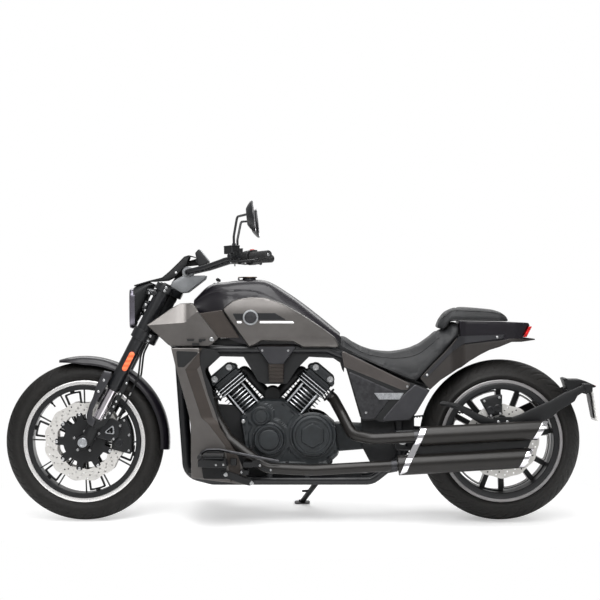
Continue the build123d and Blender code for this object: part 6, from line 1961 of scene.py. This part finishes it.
gussets = [
    outlined([(1244, 732), (1060, 734), (1000, 708), (650, 708), (632, 640), (632, 590),
              (646, 637), (676, 657), (773, 662), (822, 613), (860, 556), (868, 553), (950, 553),
              (977, 564), (1020, 637), (1035, 662), (1130, 664), (1186, 612), (1215, 628),
              (1236, 690)], 104, 119, 4),
    outlined([(560, 520), (560, 300), (500, 186), (420, 200), (350, 320), (350, 470),
              (420, 520)], 84, 99, 20, 4),
    outlined([(1204, 470), (1010, 458), (1050, 417), (1028, 284), (985, 205), (560, 205),
              (560, 172), (1232, 172), (1210, 300)], 44, 50, 10),
    outlined([(668, 742), (640, 706), (600, 684), (600, 664), (660, 664), (720, 690),
              (720, 712)], 96, 117, 8)]
STAND_PIVOT = np.array([720.0, -136, 165])
STAND_FOOT = np.array([800.0, -290, 47.28])
STAND_AXIS = np.cross(STAND_FOOT - STAND_PIVOT, (-1, -0.10, 0.14))
STAND_AXIS /= np.linalg.norm(STAND_AXIS)
pin = joined(swept([STAND_PIVOT - 11 * STAND_AXIS, STAND_PIVOT + 26 * STAND_AXIS], 6.9, 20),
             swept([(720, -95, 165), STAND_PIVOT + 26 * STAND_AXIS], 7.9, 20))
rivets = joined(*[stud((6, 4, 4.6, 5.4), (x, y, z), 6)
                  for x, y, z in ((462, 98, 486), (395, 98, 440), (385, 98, 252), (520, 98, 330),
                                  (500, 98, 230))])
piece("frame_welded", [(joined(head, both(top_rail), both(cradle), both(joined(*stays)), *bars),
                        SATIN_BLACK),
                       (both(joined(*gussets)), MATTE_BLACK), (pin, DARK_STEEL),
                       (both(rivets), ZINC)],
      BIKE, ["frame"], crisp=40)

# %% [markdown]
# A radiator core is a stack of flat tubes with a zigzag of thin sheet between each two. The
# zigzag is a triangle wave along the side direction, worked out for all rows at once.

# %% Radiator
LOW, CORE = 226, 348  # the core's foot and its height
rows, waves = 36, 88
across = np.linspace(-118, 118, waves * 2 + 1)
wave = 1236.5 + 3.2 * np.where(np.arange(len(across)) % 2, 1, -1)
zigzags = []
for i in range(rows):
    z = LOW + i * CORE / rows
    strip = np.stack([np.stack([wave, across, np.full(len(across), z + d)], -1)
                      for d in (1.2, CORE / rows - 1.2)])
    back = strip[::-1] - (22, 0, 0)
    zigzags.append(grid(np.concatenate([strip, back]), wrap_u=True))
tubes = [swept([(1229, side * 120, LOW + i * CORE / rows) for side in (-1, 1)], 11, 12, flat=0.1)
         for i in range(rows + 1)]
tanks = [moulded(fillet(box(1214.5, low, 1244.8, high), 4), 0, level(142.6), edge=4, cell=12)
         for low, high in ((210.5, 224), (576, 589.5))]
side_tank = cut_plate([fillet(box(1214.5, 214, 1244.8, 586), 5)], 119, 142.6, 3)
piece("radiator_cored", [(joined(*zigzags), DARK_STEEL), (joined(*tubes), MATTE_BLACK),
                         (both(joined(*tanks, side_tank)), MATTE_BLACK)],
      BIKE, ["radiator"], crisp=20, weighted=False)

# %% [markdown]
# ## Swingarm and final drive
# The swingarm is a box section on each side with a machined pocket, joined by a tube at its
# pivot and a cross box. On the far side a toothed belt turns the rear wheel.

# %% Swingarm and rear axle
ARM = fillet([(430, 370), (360, 372), (30, 352), (-30, 352), (-40, 325), (-30, 297), (30, 297),
              (340, 288), (430, 290), (440, 330)], [12, 30, 10, 12, 20, 12, 10, 30, 12, 20])


def arm_height(x, z, far):
    """The face lies at 168 and sinks by 5 mm in a long pocket 12 mm inside the edge."""
    pocket = np.clip((far - 11) / 3, 0, 1) * np.clip((x - 52) / 4, 0, 1)
    return 167.8 - 5 * pocket * np.clip((386 - x) / 4, 0, 1)


arm = moulded(ARM, 148.2, arm_height, edge=5, cell=7)
pivot = turned([(20.3, 114.2), (32, 114.2), (33.8, 116), (33.8, 151), (32, 152.8),
                (20.3, 152.8)], (400, 0, 330), (0, 1, 0), 48, loop=True)
cross_box = cut_plate([fillet(box(350.2, 335.2, 367.8, 364.8), 4)], -149.8, 149.8, 1)
cap = turned([(0, 0), (16, 0), (18, 2), (18, 5), (8, 5), (7, 3), (0, 3)], (400, 163, 330),
             (0, 1, 0), 40)
adjuster = cut_plate([fillet(box(-24, 308, 24, 342), 3)], 167, 169.8, 0.8)
rod = swept([(-58, 158, 325), (-36, 158, 325)], 4, 12)
lock_nut = turned(box(0, 0, 7.5, 6), (-45, 158, 325), (1, 0, 0), 6)
piece("swingarm_boxed", [(both(joined(arm, pivot)), WHEEL_BLACK), (cross_box, WHEEL_BLACK),
                         (both(joined(cap, adjuster, rod, lock_nut)), ZINC)],
      BIKE, ["swingarm"])
spindle = [(0, -180), (10, -180), (12.5, -178), (12.5, 178), (10, 180), (0, 180)]
axle_cap = [(12.4, 168.4), (20, 168.4), (20, 177), (18, 179.6), (12.4, 179.6)]
hexagonal = box(12.4, 170, 19, 179)
piece("rear_axle_turned", [(turned(spindle, REAR_AXLE, (0, 1, 0), 40), DARK_STEEL),
                           (turned(axle_cap, REAR_AXLE, (0, 1, 0), 48, loop=True), ZINC),
                           (turned([(r, -y) for r, y in hexagonal], REAR_AXLE, (0, 1, 0), 6,
                                   loop=True), ZINC)],
      BIKE, ["rear_axle"])
caliper(REAR_AXLE, 124, 8, 100, 187, (60, 92), 150, "rear_caliper_cast", "rear_caliper", BIKE,
        (106.3, 147.5), ((176, 66), (176, 86), (112, 66), (112, 86)))

# %% [markdown]
# The rear pulley is a toothed plate with five windows between two flanges. The belt's outside
# is plain. Its teeth show only on the straight runs, so only there they are built, one by one.

# %% Pulley and belt
windows = [tapered_loop(REAR_AXLE, 36.0 + 72 * i, 18, 46, 48, 92, 6) for i in range(5)]
web = cut_plate([toothed(REAR_AXLE, 107.8, 60), circle(0, AXLE_HEIGHT, 30.2, 40)] + windows,
                -141, -125, 0.8)
flanges = [cut_plate([circle(0, AXLE_HEIGHT, 107.8, 120), circle(0, AXLE_HEIGHT, 96, 90)],
                     low, low + 1.6, 0.4) for low in (-143, -124.8)]
boss = turned(box(30.2, -142.8, 39.8, -103.5), REAR_AXLE, (0, 1, 0), 48, loop=True)
bolts = joined(*[stud((6, 4, 4.4, 5), (x, -140.5, z), 6, (0, -1, 0))
                 for x, z in polar(REAR_AXLE, 60, 72.0 * np.arange(5))])
piece("rear_pulley_toothed", [(joined(web, *flanges, boss), WHEEL_BLACK), (bolts, ZINC)],
      REAR_WHEEL, ["rear_pulley"])


def belt_loop(grow):
    """The belt's line: an arc round each pulley at its radius plus grow, and the two straight
    runs that touch both circles."""
    gap = FRONT_PULLEY - REAR_AXLE
    lift = math.degrees(math.atan2(gap[2], gap[0]))
    lean = math.degrees(math.acos((108 - 48) / np.hypot(gap[0], gap[2])))
    rear = polar(REAR_AXLE, 108 + grow, np.linspace(lift + lean, lift - lean + 360, 90))
    front = polar(FRONT_PULLEY, 48 + grow, np.linspace(lift - lean, lift + lean, 40))
    return np.vstack([rear, front])


outside, inside = belt_loop(9.6), belt_loop(4.6)
runs = [(outside[-1], outside[0], 1), (outside[89], outside[90], -1)]
teeth = []
for start, end, side in runs:
    along = (end - start) / np.linalg.norm(end - start)
    down = np.array([along[1], -along[0]]) * side
    down = down if down @ ((260, 330) - start) > 0 else -down  # towards the loop's inside
    count = int(np.linalg.norm(end - start) / 11)
    for k in range(1, count):
        middle = start + along * 11 * k + down * 4.9
        teeth.append(cut_plate([np.array([middle - along * 3.2, middle + along * 3.2,
                                          middle + along * 2 + down * 3.8,
                                          middle - along * 2 + down * 3.8])], -142.6, -123.4, 0.3))
band = cut_plate([outside, inside], -142.8, -123.2, 0.5)
piece("drive_belt_toothed", [(joined(band, *teeth), BELT_RUBBER)], BIKE, ["drive_belt"])

# %% [markdown]
# ## Foot controls, number plate and stand
# The footrests stand forward on the shrouds. Each is a forged peg with ribbed rubber on it, a
# bracket with its bolts, and a long pedal with a toe peg at its front end.

# %% Footrests
peg = moulded(fillet(box(1109, 262, 1191, 276), 5), 206, level(326.5), edge=4, cell=10)
pads = joined(*[cut_plate([fillet(box(1110, 274, 1190, 284.5), 3)],
                          214 + 14 * i, 222.5 + 14 * i, 1.5) for i in range(8)])
bracket = flat_panel([(1203, 238), (1180, 289), (1111, 289), (1097, 179), (1193, 179)], 196.4,
                     203.8, 6, 2)
slab = flat_panel([(1214, 231), (1212, 256), (1196, 268), (1100, 262), (1092, 238), (1100, 228)],
                  203, 318, 8, 4)
link = flat_panel([(1124, 214), (1120, 186), (1012, 152), (992, 156), (990, 172), (1084, 208)],
                  197, 208, 8, 2)
clamps = joined(*[flat_panel(box(a, b, a - w, b - h), 150, 222, 5, 2)
                  for a, b, w, h in ((1086, 262, 26, 30), (1036, 248, 40, 24), (1000, 256, 34, 30),
                                     (1046, 216, 34, 22))])
pedal = swept([(1205, 232, 262), (1202, 232, 282), (1180, 232, 296), (1128, 232, 297),
               (1020, 232, 276), (893, 232, 251)], 6.2, 14, bend=18)
toe = swept([(1204, 226, 270), (1204, 290, 270)], 9, 18)
toe_rings = joined(*[turned([(8.8, -2), (10.4, -1), (10.4, 1), (8.8, 2)], (1204, y, 270),
                            (0, 1, 0), 20, loop=True) for y in range(246, 290, 7)])
heads = joined(*[turned([(0, 0), (r, 0), (r, r * 0.4), (r * 0.8, r * 0.6), (0, r * 0.6)],
                        (x, y, z), (0, 1, 0), 18)
                 for x, y, z, r in ((1104, 207.5, 197, 8), (1001, 207.5, 163, 8),
                                    (1042, 221.5, 207, 4.5), (968, 221.5, 234, 4.5),
                                    (1139, 317.5, 243, 4), (1110, 317.5, 243, 4),
                                    (925, 222, 216, 4.5))])
shim = flat_panel([(962, 230), (930, 222), (918, 212), (926, 206), (966, 216)], 216, 223, 3, 1)
piece("footrests_forged", [(both(joined(peg, bracket, link, slab, clamps, shim)), MATTE_BLACK),
                           (both(joined(pads, toe, toe_rings)), GRIP_RUBBER),
                           (both(pedal), DARK_STEEL), (both(heads), ZINC)],
      BIKE, ["footrests"])

# %% [markdown]
# The number plate hangs behind the wheel on two arms from the axle. They are smooth castings
# with a lever-like tip. The cross bar between their rear ends carries the plate and, above it,
# one wide lamp wing with a small red lens on each side of its tip.

# %% Number plate and its arms
HOLDER = [(256, 476), (250, 484), (236, 487), (181, 478), (126, 449), (54, 419), (0, 417),
          (-30, 421), (-68, 434), (-129, 463), (-190, 489), (-245, 521), (-262, 526), (-320, 552),
          (-334, 530), (-298, 508), (-286, 486), (-272, 477), (-222, 447), (-193, 420),
          (-150, 404), (-70, 398), (90, 397), (130, 421), (171, 446), (197, 457), (243, 470)]


arm = moulded(fillet(HOLDER, [5, 5, 8] + [30] * 8 + [16, 20, 8, 10, 10, 10, 10] + [24] * 9),
              168.4, rolled(175.4, 2.6, 6), edge=3, cell=8)
leg_plate = cut_plate([fillet([(-28, 298.5), (28, 298.5), (39, 424), (-39, 424)], 8),
                       circle(0, AXLE_HEIGHT, 24.2, 36)], 168.4, 175.4, 1.2)
lever = swept([(250, 172, 478), (214, 172, 474), (178, 172, 462)], [6, 6.4, 4], 14)
cross_bar = cut_plate([fillet([(-358.6, 524), (-352, 521.5), (-323.5, 521.5), (-323.5, 554.5),
                               (-350, 554.5), (-358.6, 548)], 5)], -168, 168, 2)
WING = [(-252, 573), (-263, 576), (-272, 569.7), (-322, 569.7), (-344, 562.5), (-385, 543.6),
        (-383.4, 538.2), (-371, 535.5), (-331, 535.5), (-318.6, 514), (-309.6, 512),
        (-266.4, 528.5), (-261, 548.3)]
wing = moulded(fillet(WING, [2, 3, 6, 20, 20, 2, 2, 8, 14, 6, 4, 8, 14]), 0,
               level(66), edge=4, cell=6, wall=0.9)
wing_lens = cut_plate([fillet([(-374, 549), (-387, 543.5), (-386, 539.5), (-374, 538.5)], 1)],
                      10, 50, 1)
away = np.array([-0.986, 0, 0.169])
down = np.array([-0.169, 0, -0.986])


def on_plate(points):
    """Points drawn on the number plate (across, out of it, down) to their place."""
    across, out, drop = np.moveaxis(np.asarray(points, float), -1, 0)
    return (np.array([-363, 0, 540]) + across[:, None] * np.array([0, 1, 0])
            + out[:, None] * away + drop[:, None] * down)


plate = cut_plate([fillet(box(-94.6, -7.6, 94.6, 139.6), 10),
                   circle(75, 30, 3.25, 16), circle(-75, 30, 3.25, 16)], -2.4, 2.4, 0.6, on_plate)
backing = cut_plate([fillet([(-60, -4), (60, -4), (60, 60), (44, 128), (-44, 128), (-60, 60)],
                            12)], -9, -2.5, 2, on_plate)
plate_lamp = cut_plate([fillet([(-362, 520), (-340, 522), (-336, 512), (-352, 508)], 3)], -26, 26,
                       2)
fixings = joined(*[stud((6, 2, 4.6, 3), on_plate([(x, 2.2, 30)])[0], 16, away) for x in (75, -75)]
                 + [both(stud((6, 3, 4.6, 4), (x, 174.6, 404))) for x in (-18, 18)])
POWDER_WHITE = finish("reflective_white_sheet", "#dcdcd8", "#e6e6e2", (0.35, 0.45), 30, 0.6, 0.01)
piece("plate_holder_cast", [(both(joined(arm, leg_plate, lever, wing)), MATTE_BLACK),
                            (joined(cross_bar, backing, plate_lamp), MATTE_BLACK),
                            (plate, POWDER_WHITE), (both(wing_lens), RED_LENS),
                            (fixings, ZINC)],
      BIKE, ["plate_holder"])

# %% [markdown]
# The side stand turns on a pin under the frame, and carries a wide foot so that it doesn't sink
# into soft ground. Its leg is a forged bar that tapers a little, with a peg to kick it by.

# %% Side stand
leg_line = STAND_FOOT - STAND_PIVOT
leg_line = leg_line / np.linalg.norm(leg_line)
stand_leg = swept([STAND_PIVOT + leg_line * 12, STAND_PIVOT + leg_line * 90, STAND_FOOT],
                  [12, 11.4, 10.2], 24)
sleeve = turned([(7.05, -10), (15.5, -10), (16.8, -8.6), (16.8, 8.6), (15.5, 10), (7.05, 10)],
                STAND_PIVOT, STAND_AXIS, 40, loop=True)
tilt = np.array([0, math.sin(LEAN), math.cos(LEAN)])
side_way = np.cross(tilt, (1, 0, 0))


def on_foot(points):
    """Points of the foot plate (forward, up, sideways), tilted so that it lies flat."""
    ahead, up, aside = np.moveaxis(np.asarray(points, float), -1, 0)
    return STAND_FOOT + (ahead[:, None] * np.array([1.0, 0, 0]) + up[:, None] * tilt
                         + aside[:, None] * side_way)


sole = cut_plate([fillet(box(-32, -22, 32, 22), 12)], -5.9, -0.2, 1.2, on_foot)
web = cut_plate([fillet([(-16, -3), (16, -3), (6, 3), (-6, 3)], 1)], -1, 8, 0.6, on_foot)
tang = swept([STAND_PIVOT + leg_line * 120, STAND_PIVOT + leg_line * 120 + (34, -4, -2)], 5, 14)
piece("side_stand_forged", [(joined(stand_leg, sleeve, sole, web, tang), WHEEL_BLACK)],
      "side_stand", ["side_stand"], crisp=40)

# %% [markdown]
# ## Camera, floor and light
# The camera stands 9.5 m to the machine's left and looks square at its leaning middle plane,
# so the wheels show as true circles. A long lens keeps the near and far sides the same size.

# %% Camera
FRAME_WIDTH = 2436.0  # millimetres across the view at the middle plane
DISTANCE = 9500.0
camera_data = bpy.data.cameras.new("camera")
camera_data.sensor_width = 36.0
camera_data.lens = 36.0 * DISTANCE / FRAME_WIDTH
camera_data.clip_end = 60.0
camera = bpy.data.objects.new("camera", camera_data)
bpy.context.scene.collection.objects.link(camera)
right, up, back = (np.array(v, float) @ TURN for v in ((-1, 0, 0), (0, 0, 1), (0, 1, 0)))
turn = Matrix(np.stack([right, up, back], -1).tolist()).to_4x4()
camera.matrix_world = Matrix.Translation(stand((809.0, DISTANCE, 890.0))) @ turn
bpy.context.scene.camera = camera
print("lens", round(camera_data.lens, 1), "mm")

# %% [markdown]
# The light is plain and soft: a wide panel overhead for the shadows under the machine, a broad
# low one from the camera's side for the flanks, and one from behind that draws a thin bright
# line along the top edges. The world lights evenly, and shows white to the camera.

# %% Lights and world
def softbox(name, place, aim, size, power):
    """A square area light that faces a point."""
    data = bpy.data.lights.new(name, "AREA")
    data.shape, data.size, data.size_y, data.energy = "RECTANGLE", size[0], size[1], power
    made = bpy.data.objects.new(name, data)
    bpy.context.scene.collection.objects.link(made)
    away = np.array(place, float) - np.array(aim, float)
    away, side, over = basis(away)
    made.matrix_world = Matrix.Translation(place) @ Matrix(np.stack([side, over, away],
                                                                    -1).tolist()).to_4x4()


softbox("overhead", (0, 0.7, 3.3), (0, 0.1, 0.6), (3.6, 2.2), 130)
softbox("flank", (0.4, 3.0, 3.0), (0, 0, 0.5), (4.0, 1.4), 75)
softbox("rim", (-0.3, -3.2, 2.4), (0, 0, 0.6), (4.0, 1.0), 45)

world = bpy.data.worlds.new("studio")
bpy.context.scene.world = world
world.use_nodes = True
sky = world.node_tree
sky.nodes.clear()
ray = node(sky, "ShaderNodeLightPath").outputs
where = node(sky, "ShaderNodeTexCoord").outputs["Generated"]
height = node(sky, "ShaderNodeSeparateXYZ", {"Vector": where}).outputs["Z"]
room = node(sky, "ShaderNodeValToRGB", {"Fac": height},
            ((0.0, 0.4), (0.3, 0.45), (0.6, 0.35), (1.0, 0.3))).outputs["Color"]
seen = node(sky, "ShaderNodeMath", {0: ray["Is Camera Ray"], 1: ray["Is Transmission Ray"]},
            operation="MAXIMUM").outputs["Value"]
plain = node(sky, "ShaderNodeBackground", {"Color": (1, 1, 1, 1), "Strength": 0.42})
gleam = node(sky, "ShaderNodeBackground", {"Color": room, "Strength": 1.0})
white = node(sky, "ShaderNodeBackground", {"Color": (1, 1, 1, 1), "Strength": 1.0})
mirrored = node(sky, "ShaderNodeMixShader", {"Fac": ray["Is Glossy Ray"]})
sky.links.new(plain.outputs[0], mirrored.inputs[1])
sky.links.new(gleam.outputs[0], mirrored.inputs[2])
shown = node(sky, "ShaderNodeMixShader", {"Fac": seen})
sky.links.new(mirrored.outputs[0], shown.inputs[1])
sky.links.new(white.outputs[0], shown.inputs[2])
out = node(sky, "ShaderNodeOutputWorld", {"Surface": shown.outputs[0]})
bpy.context.scene.view_settings.view_transform = "Standard"

# %% [markdown]
# The floor is a wide pale disc. It is matt, so that it only holds the machine's shadow. A little
# away from the machine it turns to plain white, so that floor and background are one.

# %% Floor
FLOOR_RADIUS, FLOOR_SIDES = 9, 64  # metres
floor_rim = np.pad(circle(0, 0, FLOOR_RADIUS, FLOOR_SIDES), ((1, 0), (0, 1)))
floor_mesh = bpy.data.meshes.new("floor")
floor_mesh.from_pydata(floor_rim, [], [[0, i + 1, (i + 1) % FLOOR_SIDES + 1]
                                       for i in range(FLOOR_SIDES)])
floor = bpy.data.objects.new("floor", floor_mesh)
bpy.context.scene.collection.objects.link(floor)
paper, tree, shader, where = blank("matt_white_floor", Roughness=1.0)
shader.inputs["Specular IOR Level"].default_value = 0.0
cloud = node(tree, "ShaderNodeTexNoise", {"Vector": where, "Scale": 2.0})
node(tree, "ShaderNodeValToRGB", {"Fac": cloud.outputs["Fac"]},
     ((0.3, "#f7f7f7"), (0.7, "#fbfbfb")), shader.inputs["Base Color"])
far = node(tree, "ShaderNodeVectorMath", {0: where, 1: (0.62, 1.15, 0.0)}, operation="MULTIPLY")
reach = node(tree, "ShaderNodeVectorMath", {0: far.outputs["Vector"]}, operation="LENGTH")
fade = node(tree, "ShaderNodeMapRange", {"Value": reach.outputs["Value"], "From Min": 0.35,
                                         "From Max": 0.95}, interpolation_type="SMOOTHSTEP")
glow = node(tree, "ShaderNodeEmission", {"Color": (1, 1, 1, 1), "Strength": 1.0})
lift = node(tree, "ShaderNodeEmission", {"Color": (1, 1, 1, 1), "Strength": 0.3})
lit = node(tree, "ShaderNodeAddShader")
tree.links.new(shader.outputs[0], lit.inputs[0])
tree.links.new(lift.outputs[0], lit.inputs[1])
blend = node(tree, "ShaderNodeMixShader", {"Fac": fade.outputs["Result"]})
tree.links.new(lit.outputs[0], blend.inputs[1])
tree.links.new(glow.outputs[0], blend.inputs[2])
eye = node(tree, "ShaderNodeLightPath").outputs["Is Camera Ray"]
chosen = node(tree, "ShaderNodeMixShader", {"Fac": eye})
tree.links.new(shader.outputs[0], chosen.inputs[1])
tree.links.new(blend.outputs[0], chosen.inputs[2])
tree.links.new(chosen.outputs[0], tree.nodes["Material Output"].inputs["Surface"])
floor_mesh.materials.append(paper)
